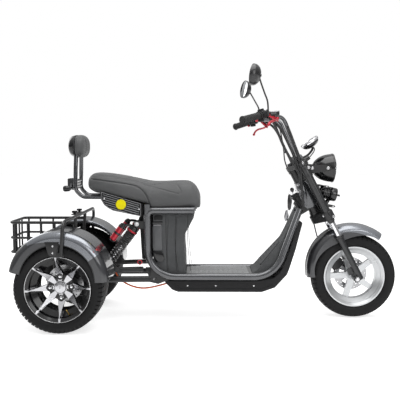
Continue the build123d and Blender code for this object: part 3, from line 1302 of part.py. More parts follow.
DIAL_TILT = 35.0
with BuildPart() as speedometer:
    dial = Plane(
        origin=front(-243, 0, 955), x_dir=(0, 1, 0),
        z_dir=(-math.sin(math.radians(DIAL_TILT)), 0, math.cos(math.radians(DIAL_TILT))),
    )
    spun(
        dial,
        [
            (0, -24), (DIAL_R - 20, -22), (DIAL_R - 6, -12), (DIAL_R - 2, 2), (DIAL_R, 3), (DIAL_R, 10),
            (DIAL_R - 4, 12), (DIAL_R - 6, 8), (0, 8),
        ],
    )
    rod(dial.from_local_coords((0, 0, -18)), steer(FORK_OFFSET + 2, 0, YOKE_TOP - 6), 7)
    add(fork_yokes.part, mode=Mode.SUBTRACT)
speedometer.part.label = "speedometer"

LAMP_Z = 822.0
LAMP_FACE = Plane(origin=front(-108, 0, LAMP_Z), x_dir=(0, 1, 0), z_dir=(1, 0, 0))
with BuildPart() as headlamp:
    with BuildSketch(Plane(origin=LAMP_FACE.origin, x_dir=(0, 1, 0), z_dir=(0, 0, -1))) as bowl:
        with BuildLine():
            Polyline((0, 4 - HEADLAMP_L), (14, 4 - HEADLAMP_L))
            Spline((14, 4 - HEADLAMP_L), (54, -84), (HEADLAMP_R - 5, -30), (HEADLAMP_R - 1, -10))
            Polyline(
                (HEADLAMP_R - 1, -10), (HEADLAMP_R, -8), (HEADLAMP_R, 4), (HEADLAMP_R - 6, 6),
                (HEADLAMP_R - 6, -10),
            )
            Spline(
                (HEADLAMP_R - 6, -10), (HEADLAMP_R - 11, -32), (50, -80), (12, 8 - HEADLAMP_L),
                (0, 8 - HEADLAMP_L),
            )
            Line((0, 8 - HEADLAMP_L), (0, 4 - HEADLAMP_L))
        make_face()
    revolve(axis=Axis(LAMP_FACE.origin, (1, 0, 0)))
headlamp.part.label = "headlamp"

with BuildPart() as headlamp_lens:
    spun(
        LAMP_FACE,
        [
            (0, 4), (HEADLAMP_R - 30, 3), (HEADLAMP_R - 6, -2), (HEADLAMP_R - 6, -6),
            (HEADLAMP_R - 30, -1), (0, 0),
        ],
    )
headlamp_lens.part.label = "headlamp_lens"

BRACKET_Y = FORK_HALF_W - 9
with BuildPart() as headlamp_bracket:
    plate(
        [
            steer(FORK_OFFSET - 16, 0, UPPER_YOKE_AT - 10), steer(FORK_OFFSET + 30, 0, UPPER_YOKE_AT - 4),
            front(-150, 0, LAMP_Z + 14), front(-140, 0, LAMP_Z), front(-152, 0, LAMP_Z - 13),
            steer(FORK_OFFSET + 26, 0, UPPER_YOKE_AT - 58), steer(FORK_OFFSET - 16, 0, UPPER_YOKE_AT - 66),
        ],
        BRACKET_Y, BRACKET_Y + 4, corner=6,
    )
    for clamp_at in (UPPER_YOKE_AT - 24, UPPER_YOKE_AT - 64):
        stack(steered(FORK_OFFSET, FORK_HALF_W, clamp_at), [(FORK_UPPER_R + 4, 0)], 14)
    rod(front(-155, BRACKET_Y + 2, LAMP_Z), front(-155, HEADLAMP_R - 24, LAMP_Z), 9)
    mirror(about=Plane.XZ)
    for piece in (headlamp.part, fork_legs.part, fork_yokes.part):
        add(piece, mode=Mode.SUBTRACT)
headlamp_bracket.part.label = "headlamp_bracket"

LAMP_PAIR_Y = 38.0
SPOT_R = 27.0
SPOT_TILT = 12.0
with BuildPart() as horn_lamps:
    spot = Plane(
        origin=front(-188, LAMP_PAIR_Y, 690), x_dir=(0, 1, 0),
        z_dir=(math.cos(math.radians(SPOT_TILT)), 0, -math.sin(math.radians(SPOT_TILT))),
    )
    stack(
        spot,
        [
            (SPOT_R - 9, 0), (SPOT_R - 1, 10), (SPOT_R - 8, 14), (SPOT_R, 20), (SPOT_R - 7, 24),
            (SPOT_R, 30), (SPOT_R - 7, 34), (SPOT_R, 42), (SPOT_R - 4, 64),
        ],
        68,
    )
    plate(
        [
            front(-196, 0, 700), front(-150, 0, 690), front(-160, 0, 640),
            steer(FORK_OFFSET + 20, 0, LOWER_YOKE_AT + 90), steer(FORK_OFFSET - 6, 0, LOWER_YOKE_AT + 92),
        ],
        LAMP_PAIR_Y - 3, LAMP_PAIR_Y + 3, corner=4,
    )
    rod(steer(FORK_OFFSET, 0, LOWER_YOKE_AT + 96), steer(FORK_OFFSET, FORK_HALF_W, LOWER_YOKE_AT + 96), 8)
    mirror(about=Plane.XZ)
    spun(
        Plane(origin=front(-196, 0, 652), x_dir=(0, 1, 0), z_dir=(1, 0, 0)),
        [(0, 0), (14, 0), (14, 12), (36, 16), (38, 20), (38, 26), (34, 30), (14, 30), (10, 26), (0, 26)],
    )
    add(fork_legs.part, mode=Mode.SUBTRACT)
horn_lamps.part.label = "horn_lamps"


def around_fender(radius, angle):
    """Side-view point about the front fender's arc centre."""
    turn = math.radians(angle)
    centre_z = FRONT_Z + FRONT_FENDER_RISE
    return (FRONT_X - FRONT_FENDER_SET + radius * math.cos(turn), centre_z + radius * math.sin(turn))


FENDER_TOP_R = FRONT_FENDER_R
FENDER_LIP_R = FRONT_FENDER_R - 36
FENDER_DEEP_R = FRONT_FENDER_R - FRONT_SKIRT
FENDER_END = FRONT_FENDER_TIP + FRONT_FENDER_ARC
with BuildPart() as front_fender:
    tip = math.radians(FRONT_FENDER_TIP)
    fender_centre = Vector(FRONT_X - FRONT_FENDER_SET, 0, FRONT_Z + FRONT_FENDER_RISE)
    with BuildSketch(
        Plane(
            origin=fender_centre, x_dir=(math.cos(tip), 0, math.sin(tip)),
            z_dir=(-math.sin(tip), 0, math.cos(tip)),
        )
    ):
        with BuildLine():
            skirt = Line((FENDER_DEEP_R, FRONT_FENDER_HALF_W), (FENDER_TOP_R - 26, FRONT_FENDER_HALF_W - 2))
            crown = ThreePointArc(
                skirt @ 1, (FENDER_TOP_R - 8, FRONT_FENDER_HALF_W - 14), (FENDER_TOP_R, 0),
            )
            mirror(skirt, about=Plane.XZ)
            mirror(crown, about=Plane.XZ)
        trace(line_width=SHEET)
    revolve(axis=Axis(fender_centre, (0, -1, 0)), revolution_arc=FRONT_FENDER_ARC)
    with BuildSketch(Plane.XZ):
        with BuildLine():
            Spline(
                around_fender(FENDER_LIP_R, FRONT_FENDER_TIP - 4),
                around_fender(FENDER_LIP_R - 2, FRONT_FENDER_TIP + 12),
                around_fender(FENDER_DEEP_R + 12, 88),
                around_fender(FENDER_DEEP_R + 1, 106),
                around_fender(FENDER_DEEP_R + 1, 124),
                around_fender(FENDER_DEEP_R + 18, 146),
                around_fender(FENDER_LIP_R, 168),
                around_fender(FENDER_LIP_R, FENDER_END + 4),
            )
            Polyline(
                around_fender(FENDER_LIP_R, FENDER_END + 4), around_fender(0, 0),
                around_fender(FENDER_LIP_R, FRONT_FENDER_TIP - 4),
            )
        make_face()
    extrude(amount=FRONT_FENDER_HALF_W + 10, both=True, mode=Mode.SUBTRACT)
    for up in (FORK_LOWER_L - 14, FORK_LOWER_L + 12):
        rod(steer(FORK_OFFSET, FRONT_FENDER_HALF_W - 2, up), steer(FORK_OFFSET, FORK_HALF_W, up), 8)
        rod(steer(FORK_OFFSET, -FORK_HALF_W, up), steer(FORK_OFFSET, 2 - FRONT_FENDER_HALF_W, up), 8)
    add(fork_legs.part, mode=Mode.SUBTRACT)
front_fender.part.label = "front_fender"

DISC_MIDDLE_Y = (FRONT_DISC_Y + FRONT_HUB_HALF) / 2
with BuildPart() as front_caliper:
    plate(
        [
            front(-92, 0, FRONT_Z + 16), front(-62, 0, FRONT_Z + 28), front(-36, 0, FRONT_Z + 58),
            front(-56, 0, FRONT_Z + 92), front(-90, 0, FRONT_Z + 78), front(-108, 0, FRONT_Z + 40),
        ],
        DISC_MIDDLE_Y - 16, DISC_MIDDLE_Y + 19, corner=8,
    )
    fillet(front_caliper.edges().group_by(Axis.Y)[0], 4)
    turned(
        [
            (0, FRONT_HUB_HALF - PAD_GAP), (FRONT_DISC_R + 1.5, FRONT_HUB_HALF - PAD_GAP),
            (FRONT_DISC_R + 1.5, FRONT_DISC_Y + PAD_GAP), (0, FRONT_DISC_Y + PAD_GAP),
        ],
        FRONT_AXIS,
        mode=Mode.SUBTRACT,
    )
    plate(
        [
            front(-78, 0, FRONT_Z + 30), steer(FORK_OFFSET - 44, 0, 26), steer(FORK_OFFSET - 18, 0, 30),
            steer(FORK_OFFSET - 18, 0, 62), front(-60, 0, FRONT_Z + 84),
        ],
        DISC_MIDDLE_Y + 15, DISC_MIDDLE_Y + 21, corner=4,
    )
    add(fork_legs.part, mode=Mode.SUBTRACT)
front_caliper.part.label = "front_caliper"

HOSE_R = 3.5
HARNESS_R = 6.0
HOSE_ROUTE = [
    (30, 204, 982), (46, 160, 955), (52, 118, 905), (34, 98, 850), (14, 90, 790), (-12, 84, 730),
    (-18, 80, 675), (-8, 78, 620), (4, 77, 565), (4, 77, 510), (-4, 77, 455), (-18, 79, 405),
    (-22, 80, 350), (-34, 82, 300), (-44, 84, 250), (-46, 86, 195), (-38, 80, 150), (-24, 66, 118),
]
HARNESS_ROUTE = [
    (-22, -212, 980), (-2, -160, 955), (2, -116, 915), (-4, -90, 860), (-10, -80, 790), (-16, -81, 720),
    (-15, -82, 655), (-4, -78, 595), (2, -77, 530), (-4, -77, 465), (-19, -80, 412), (-22, -80, 366),
]


def bend_radii(route):
    """Largest bends, one for each inner point, that the runs beside them allow."""
    points = [Vector(*point) for point in route]
    radii = []
    for before, point, after in zip(points, points[1:], points[2:]):
        turn = (point - before).get_angle(after - point)
        run = min((point - before).length, (after - point).length)
        radii.append(0.45 * run / math.tan(math.radians(turn / 2)))
    return radii


with BuildPart() as brake_hose:
    tube([steer(*point) for point in HOSE_ROUTE], bend_radii(HOSE_ROUTE), HOSE_R)
    for piece in (brake_levers.part, front_caliper.part):
        add(piece, mode=Mode.SUBTRACT)
brake_hose.part.label = "brake_hose"

with BuildPart() as control_harness:
    tube([steer(*point) for point in HARNESS_ROUTE], bend_radii(HARNESS_ROUTE), HARNESS_R)
    add(switchgear.part, mode=Mode.SUBTRACT)
    add(handlebar.part, mode=Mode.SUBTRACT)
control_harness.part.label = "control_harness"
for name, route in (("brake_hose", HOSE_ROUTE), ("control_harness", HARNESS_ROUTE)):
    print(name, "bend radii", [round(radius) for radius in bend_radii(route)])

# ================================================================ right-hand wheel and export
with BuildPart() as rear_tyre_right:
    mirror(rear_tyre_left.part, about=Plane.XZ)
rear_tyre_right.part.label = "rear_tyre_right"

with BuildPart() as rear_rim_right:
    mirror(rear_rim_left.part, about=Plane.XZ)
rear_rim_right.part.label = "rear_rim_right"

with BuildPart() as rear_disc_right:
    mirror(rear_disc_left.part, about=Plane.XZ)
rear_disc_right.part.label = "rear_disc_right"

os.makedirs("parts", exist_ok=True)
for piece in (
    frame_left, frame_right, steering_head, frame_crossbars, neck_cover, swing_arm, motor_axle,
    shock_absorbers, shock_springs, belly_pan, foot_deck, foot_mat, leg_shield, battery_box,
    battery_handles, rear_panel, seat_base, seat, side_grilles, side_reflectors, backrest_frame,
    backrest_pad, tail_lamps, rear_fender_left, rear_fender_right, fender_hoop, rear_rack,
    rear_calipers, motor_cable, ignition_switch, fork_legs, front_axle, fork_yokes, handlebar, grips,
    switchgear, brake_levers, mirrors, speedometer, headlamp, headlamp_lens, headlamp_bracket,
    horn_lamps, front_fender, front_caliper, brake_hose, control_harness, front_tyre, front_rim,
    front_disc, rear_tyre_left, rear_rim_left, rear_disc_left, rear_tyre_right, rear_rim_right,
    rear_disc_right,
):
    export_step(piece.part, f"parts/{piece.part.label}.step")
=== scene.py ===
"""Finishes, padding and fittings of the electric tricycle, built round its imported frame."""

from __future__ import annotations

import json
import logging
import math
from contextlib import contextmanager
from dataclasses import dataclass, field
from enum import Enum
from typing import Callable, Iterator, Sequence

import bmesh
import bpy
import numpy as np
from mathutils import Matrix, Vector


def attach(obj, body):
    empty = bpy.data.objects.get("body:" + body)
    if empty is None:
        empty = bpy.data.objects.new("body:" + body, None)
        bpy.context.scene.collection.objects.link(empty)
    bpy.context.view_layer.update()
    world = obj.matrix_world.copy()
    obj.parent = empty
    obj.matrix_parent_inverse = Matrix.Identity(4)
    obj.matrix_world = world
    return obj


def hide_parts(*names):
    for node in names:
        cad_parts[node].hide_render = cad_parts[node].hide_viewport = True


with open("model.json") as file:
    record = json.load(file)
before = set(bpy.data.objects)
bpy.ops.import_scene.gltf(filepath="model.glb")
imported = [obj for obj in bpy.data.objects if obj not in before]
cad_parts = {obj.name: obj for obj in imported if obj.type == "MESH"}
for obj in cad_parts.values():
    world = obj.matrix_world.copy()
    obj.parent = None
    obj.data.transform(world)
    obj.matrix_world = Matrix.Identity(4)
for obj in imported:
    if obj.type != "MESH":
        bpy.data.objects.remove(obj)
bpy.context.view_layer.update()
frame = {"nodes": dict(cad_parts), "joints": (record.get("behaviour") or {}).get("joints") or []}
JOINTS = {joint["name"]: joint for joint in frame["joints"]}
FRONT_AXLE = Vector(JOINTS["front_wheel_spin"]["pos_m"])
REAR_HUB = JOINTS["rear_wheel_left_spin"]["pos_m"]
REAR_AXLE = Vector((REAR_HUB[0], 0, REAR_HUB[2]))
REAR_WHEEL_Y = REAR_HUB[1]
REAR_FENDER_CENTRE = REAR_AXLE + Vector((0, 0, 0.040))
STEER_AXIS = Vector(JOINTS["steering_turn"]["axis"]).normalized()
STEER_ACROSS = Vector((STEER_AXIS.z, 0, -STEER_AXIS.x))
FORK_OFFSET = 0.0255
STEER_FOOT = FRONT_AXLE - STEER_ACROSS * FORK_OFFSET
LATERAL = Vector((0, 1, 0))
SIDES = ((1, "left"), (-1, "right"))
# Degrees that the rear spokes lead the wheel's own axes, and the nuts' circle and pockets between them.
SPOKE_LEAD = 2.5
LUG_CIRCLE = 0.055
LUG_POCKET = 0.0172
# A ring on the axis keeps this radius, so that the next ring can be scaled up from it.
LEAST_RADIUS = 0.0001
DUST_ROUGHNESS = 0.85
LOG = logging.getLogger("tricycle")

Colour = tuple[float, float, float]
Point = tuple[float, float, float]
Pair = tuple[float, float]
Piece = bpy.types.Object
Socket = bpy.types.NodeSocket


class Body(Enum):
    """The moving bodies that a piece can ride on."""

    CHASSIS = "chassis"
    STEERING = "steering"
    FRONT_WHEEL = "front_wheel"
    REAR_LEFT = "rear_wheel_left"
    REAR_RIGHT = "rear_wheel_right"


class Texture(Enum):
    """Fine surface textures that a finish can carry."""

    SMOOTH = "smooth"
    MOULDED = "moulded"
    LEATHER = "leather"
    BRUSHED = "brushed"
    FLAKE = "flake"
    WRAPPED = "wrapped"


# ------------------------------------------------------------------ shader nodes
class Wires:
    """Short names for making and joining nodes in one tree."""

    def __init__(self, tree: bpy.types.NodeTree) -> None:
        """Keep the tree to work in."""
        self.tree = tree

    def __getitem__(self, name: str) -> bpy.types.Node:
        """Return a node by name."""
        return self.tree.nodes[name]

    def given(self, label: str) -> Socket:
        """Return an input of the group that is being built."""
        return self["in"].outputs[label]

    def feed(self, value: Socket | float | Sequence[float], target: Socket) -> None:
        """Give an input a value, or join it to an output."""
        if isinstance(value, Socket):
            self.tree.links.new(value, target)
        else:
            target.default_value = value

    def node(
        self, kind: str, *inputs: Socket | float | Sequence[float], operation: str | None = None,
        **named: Socket | float | Sequence[float],
    ) -> bpy.types.Node:
        """Add a shader node and feed its inputs.

        Args:
            kind: the node's type, after its common prefix.
            inputs: what its first inputs take, in order.
            operation: its operation, where it has one.
            named: what its other inputs take, by label.

        Returns:
            The new node.
        """
        made = self.tree.nodes.new(f"ShaderNode{kind}")
        if operation:
            made.operation = operation
        for value, target in zip(inputs, made.inputs):
            self.feed(value, target)
        for label, value in named.items():
            self.feed(value, made.inputs[label])
        return made

    def point(self) -> Socket:
        """Return the surface point in object coordinates."""
        return self.node("TexCoord").outputs["Object"]

    def split(self, vector: Socket) -> Sequence[Socket]:
        """Return a vector's three parts."""
        return self.node("SeparateXYZ", vector).outputs

    def math(self, operation: str, *values: Socket | float) -> Socket:
        """Add a math node over numbers or outputs and return its output."""
        return self.node("Math", *values, operation=operation).outputs[0]

    def map_range(self, value: Socket, low: float, high: float, to_low: float, to_high: float) -> Socket:
        """Map a value from one range to another, clamped, and return the output."""
        return self.node("MapRange", value, low, high, to_low, to_high).outputs["Result"]

    def mix(self, mask: Socket | float, first: Colour | Socket, second: Colour | Socket) -> Socket:
        """Mix two colours by a mask and return the output."""
        made = self.node("Mix")
        made.data_type = "RGBA"
        self.feed(mask, made.inputs[0])
        for colour, target in ((first, made.inputs[6]), (second, made.inputs[7])):
            self.feed((*colour, 1.0) if isinstance(colour, tuple) else colour, target)
        return made.outputs[2]

    def blend(self, mask: Socket, value: Socket, other: Socket | float) -> Socket:
        """Blend a value towards another by a mask and return the output."""
        made = self.node("Mix", mask)
        self.feed(value, made.inputs[2])
        self.feed(other, made.inputs[3])
        return made.outputs[0]

    def group(self, name: str, **values: Socket | float) -> bpy.types.Node:
        """Place a shared group with its own values and return it."""
        made = self.tree.nodes.new("ShaderNodeGroup")
        made.node_tree = Groups.get(name)
        for label, value in values.items():
            self.feed(value, made.inputs[label])
        return made

    def offset(self, start: Vector) -> Socket:
        """Return the surface point as seen from a start point."""
        return self.node("VectorMath", self.point(), start, operation="SUBTRACT").outputs["Vector"]

    def distance_to_line(self, start: Vector, way: Vector) -> Socket:
        """Return the distance of a surface point from an axis."""
        across = self.node("VectorMath", self.offset(start), way, operation="CROSS_PRODUCT")
        return self.node("VectorMath", across.outputs["Vector"], operation="LENGTH").outputs["Value"]

    def distance_along(self, start: Vector, way: Vector) -> Socket:
        """Return how far a surface point lies along a direction from a start point."""
        return self.node("VectorMath", self.offset(start), way, operation="DOT_PRODUCT").outputs["Value"]


class Groups:
    """Shader node groups shared by the finishes, each built once."""

    built: dict[str, bpy.types.NodeTree] = {}
    sockets: dict[str, tuple[dict[str, float], tuple[str, ...]]] = {
        "mottle": ({"Scale": 6.0, "Detail": 4.0}, ("Mask",)),
        "edge_wear": ({"Radius": 0.001}, ("Mask", "Normal")),
        "dust": ({"Amount": 0.2}, ("Mask",)),
        "moulded": ({"Scale": 900.0}, ("Height",)),
        "leather": ({"Scale": 420.0}, ("Height",)),
        "brushed": ({"Scale": 60.0}, ("Height",)),
        "flake": ({"Scale": 1500.0}, ("Height",)),
        "wrapped": ({"Scale": 95.0}, ("Height",)),
    }

    @classmethod
    def get(cls, name: str) -> bpy.types.NodeTree:
        """Return the named group, building it on first use."""
        if name not in cls.built:
            tree = cls.built[name] = bpy.data.node_groups.new(name, "ShaderNodeTree")
            inputs, outputs = cls.sockets[name]
            for label, default in inputs.items():
                socket = tree.interface.new_socket(label, in_out="INPUT", socket_type="NodeSocketFloat")
                socket.default_value = default
            for label in outputs:
                kind = "NodeSocketVector" if label == "Normal" else "NodeSocketFloat"
                tree.interface.new_socket(label, in_out="OUTPUT", socket_type=kind)
            tree.nodes.new("NodeGroupInput").name = "in"
            tree.nodes.new("NodeGroupOutput").name = "out"
            wires = Wires(tree)
            for label, source in zip(outputs, getattr(cls, name)(wires)):
                wires.feed(source, wires["out"].inputs[label])
        return cls.built[name]

    @staticmethod
    def mottle(wires: Wires) -> tuple[Socket, ...]:
        """Build the slow unevenness of colour and gloss that any real surface has."""
        scale, detail = wires.given("Scale"), wires.given("Detail")
        noise = wires.node("TexNoise", Vector=wires.point(), Scale=scale, Detail=detail, Roughness=0.62)
        return (wires.map_range(noise.outputs["Fac"], 0.3, 0.7, 0.0, 1.0),)

    @staticmethod
    def edge_wear(wires: Wires) -> tuple[Socket, ...]:
        """Build a mask of the rubbed edges, used also for painted edge highlights, and rounded edge normals.
        """
        rounded = wires.node("Bevel", Radius=wires.given("Radius"))
        rounded.samples = 4
        normal = rounded.outputs["Normal"]
        agree = wires.node(
            "VectorMath", normal, wires.node("NewGeometry").outputs["Normal"], operation="DOT_PRODUCT"
        )
        open_edge = wires.map_range(agree.outputs["Value"], 0.995, 0.80, 0.0, 1.0)
        broken = wires.node("TexNoise", Vector=wires.point(), Scale=90.0, Detail=3.0)
        patches = wires.map_range(broken.outputs["Fac"], 0.42, 0.62, 0.25, 1.0)
        return wires.math("MULTIPLY", open_edge, patches), normal

    @staticmethod
    def dust(wires: Wires) -> tuple[Socket, ...]:
        """Build a thin film of dust that settles on faces turned upwards."""
        up = wires.split(wires.node("NewGeometry").outputs["Normal"])["Z"]
        noise = wires.node("TexNoise", Vector=wires.point(), Scale=26.0, Detail=6.0, Roughness=0.7)
        clumps = wires.map_range(noise.outputs["Fac"], 0.4, 0.75, 0.0, 1.0)
        film = wires.math("MULTIPLY", wires.map_range(up, 0.3, 1.0, 0.15, 1.0), clumps)
        return (wires.math("MULTIPLY", film, wires.given("Amount")),)

    @staticmethod
    def moulded(wires: Wires) -> tuple[Socket, ...]:
        """Build the fine spark-eroded grain of moulded plastic and rubber."""
        point, scale = wires.point(), wires.given("Scale")
        cells = wires.node("TexVoronoi", Vector=point, Scale=scale, Randomness=1.0)
        noise = wires.node("TexNoise", Vector=point, Scale=scale, Detail=2.0)
        return (wires.math("ADD", cells.outputs["Distance"], noise.outputs["Fac"]),)

    @staticmethod
    def leather(wires: Wires) -> tuple[Socket, ...]:
        """Build leather pebbles with creases between them."""
        point = wires.point()
        warp = wires.node("TexNoise", Vector=point, Scale=35.0, Detail=2.0)
        shift = wires.node("VectorMath", warp.outputs["Color"], operation="SCALE", Scale=0.006)
        moved = wires.node("VectorMath", point, shift.outputs["Vector"], operation="ADD")
        cells = wires.node("TexVoronoi")
        cells.feature = "DISTANCE_TO_EDGE"
        wires.feed(moved.outputs["Vector"], cells.inputs["Vector"])
        wires.feed(wires.given("Scale"), cells.inputs["Scale"])
        return (wires.map_range(cells.outputs["Distance"], 0.0, 0.28, 0.0, 1.0),)

    @staticmethod
    def brushed(wires: Wires) -> tuple[Socket, ...]:
        """Build turning marks, drawn out along the wheel's or shaft's axis planes."""
        drawn = wires.node("Mapping", Vector=wires.point(), Scale=(0.35, 12.0, 1.0)).outputs["Vector"]
        noise = wires.node("TexNoise", Vector=drawn, Scale=wires.given("Scale"), Detail=5.0, Roughness=0.7)
        return (noise.outputs["Fac"],)

    @staticmethod
    def flake(wires: Wires) -> tuple[Socket, ...]:
        """Build the sparkle of metal flakes in a paint."""
        cells = wires.node("TexVoronoi", Vector=wires.point(), Scale=wires.given("Scale"))
        return (wires.split(cells.outputs["Color"])["X"],)

    @staticmethod
    def wrapped(wires: Wires) -> tuple[Socket, ...]:
        """Build the turns of spiral wrap round a steep cable."""
        turns = wires.node("TexWave", Distortion=0.4, Detail=1.0)
        turns.bands_direction = "Z"
        wires.feed(wires.point(), turns.inputs["Vector"])
        wires.feed(wires.given("Scale"), turns.inputs["Scale"])
        return (turns.outputs["Fac"],)


# ------------------------------------------------------------------ finishes
Zone = Callable[[Wires], Socket]
MADE: dict[str, bpy.types.Material] = {}


@dataclass(frozen=True)
class Surface:
    """What every finish shares: its name, its colour and one material."""

    name: str
    colour: Colour

    def material(self) -> bpy.types.Material:
        """Return the surface's material, building it on first use."""
        if self.name not in MADE:
            made = MADE[self.name] = bpy.data.materials.new(f"{self.name}_finish")
            made.use_nodes = True
            wires = Wires(made.node_tree)
            self.shade(wires, wires["Principled BSDF"])
        return MADE[self.name]

    def shade(self, wires: Wires, shader: bpy.types.Node) -> None:
        """Feed the shader's inputs."""
        raise NotImplementedError

    def mottled(self, wires: Wires, scale: float, darkest: float, lightest: float) -> tuple[Socket, Socket]:
        """Return a mask of slow unevenness, and the colour made darker and lighter by it."""
        mask = wires.group("mottle", Scale=scale).outputs["Mask"]
        dark, light = (
            tuple(min(1.0, part * factor) for part in self.colour) for factor in (darkest, lightest)
        )
        return mask, wires.mix(mask, dark, light)

    def dress(self, *pieces: Piece) -> None:
        """Give pieces this surface in their one material slot."""
        for piece in pieces:
            piece.data.materials.clear()
            piece.data.materials.append(self.material())


@dataclass(frozen=True)
class Finish(Surface):
    """A paint, plastic, metal or cover, how it is worn, and its painted edge highlights."""

    roughness: float
    metallic: float = 0.0
    coat: float = 0.0
    texture: Texture = Texture.SMOOTH
    scale: float = 900.0
    depth: float = 0.0
    uneven: float = 0.12
    # The next two fields lighten the edges: rubbed paint, and painted edge highlights.
    wear: float = 0.0
    wear_and_highlight_colour: Colour = (0.25, 0.25, 0.25)
    dust: float = 0.06
    dust_colour: Colour = (0.13, 0.127, 0.12)
    rounding: float = 0.0012
    specular: float = 0.5
    sheen: float = 0.0
    zone: Zone | None = None
    zone_colour: Colour = (0.0, 0.0, 0.0)
    zone_roughness: float = 0.5
    zone_metallic: float | None = None

    def shade(self, wires: Wires, shader: bpy.types.Node) -> None:
        """Feed the shader with the finish, its zone, its rubbed edges and painted edge highlights, its dust
        and its grain.
        """
        for label, value in (
            ("Metallic", self.metallic), ("Coat Weight", self.coat), ("Coat Roughness", 0.06),
            ("Specular IOR Level", self.specular), ("Sheen Weight", self.sheen), ("Sheen Roughness", 0.4),
        ):
            shader.inputs[label].default_value = value
        mask, colour = self.mottled(wires, 7.0, 1 - self.uneven, 1 + self.uneven)
        rough = wires.map_range(mask, 0.0, 1.0, self.roughness * 0.88, min(1.0, self.roughness * 1.14))
        if self.zone:
            zone = self.zone(wires)
            colour = wires.mix(zone, colour, self.zone_colour)
            rough = wires.blend(zone, rough, self.zone_roughness)
            if self.zone_metallic is not None:
                metal = wires.map_range(zone, 0.0, 1.0, self.metallic, self.zone_metallic)
                wires.feed(metal, shader.inputs["Metallic"])
        edge = wires.group("edge_wear", Radius=self.rounding)
        # Lighter edges: rubbed paint, and painted edge highlights.
        if self.wear:
            colour = wires.mix(
                wires.math("MULTIPLY", edge.outputs["Mask"], self.wear), colour, self.wear_and_highlight_colour
            )
        if self.dust:
            film = wires.group("dust", Amount=self.dust).outputs["Mask"]
            colour = wires.mix(film, colour, self.dust_colour)
            rough = wires.blend(film, rough, DUST_ROUGHNESS)
        normal = edge.outputs["Normal"]
        if self.texture is not Texture.SMOOTH:
            grain = wires.group(self.texture.value, Scale=self.scale).outputs["Height"]
            normal = wires.node("Bump", Distance=self.depth, Height=grain, Normal=normal).outputs["Normal"]
        for label, source in (("Base Color", colour), ("Roughness", rough), ("Normal", normal)):
            wires.feed(source, shader.inputs[label])


@dataclass(frozen=True)
class Glass(Surface):
    """Clear or tinted glass, or a lens."""

    roughness: float = 0.02
    ripples: float = 0.0
    glow: float = 0.0

    def shade(self, wires: Wires, shader: bpy.types.Node) -> None:
        """Feed the shader with the glass, its ripples and its glow."""
        shader.inputs["Transmission Weight"].default_value = 0.9
        shader.inputs["IOR"].default_value = 1.45
        mask, colour = self.mottled(wires, 30.0, 0.96, 1.02)
        wires.feed(colour, shader.inputs["Base Color"])
        rough = wires.map_range(mask, 0.0, 1.0, self.roughness, self.roughness * 1.6 + 0.01)
        wires.feed(rough, shader.inputs["Roughness"])
        if self.ripples:
            height = wires.group("leather", Scale=self.ripples).outputs["Height"]
            wires.feed(
                wires.node("Bump", Distance=0.0006, Height=height).outputs["Normal"], shader.inputs["Normal"]
            )
        if self.glow:
            shader.inputs["Emission Color"].default_value = (*self.colour, 1.0)
            shader.inputs["Emission Strength"].default_value = self.glow


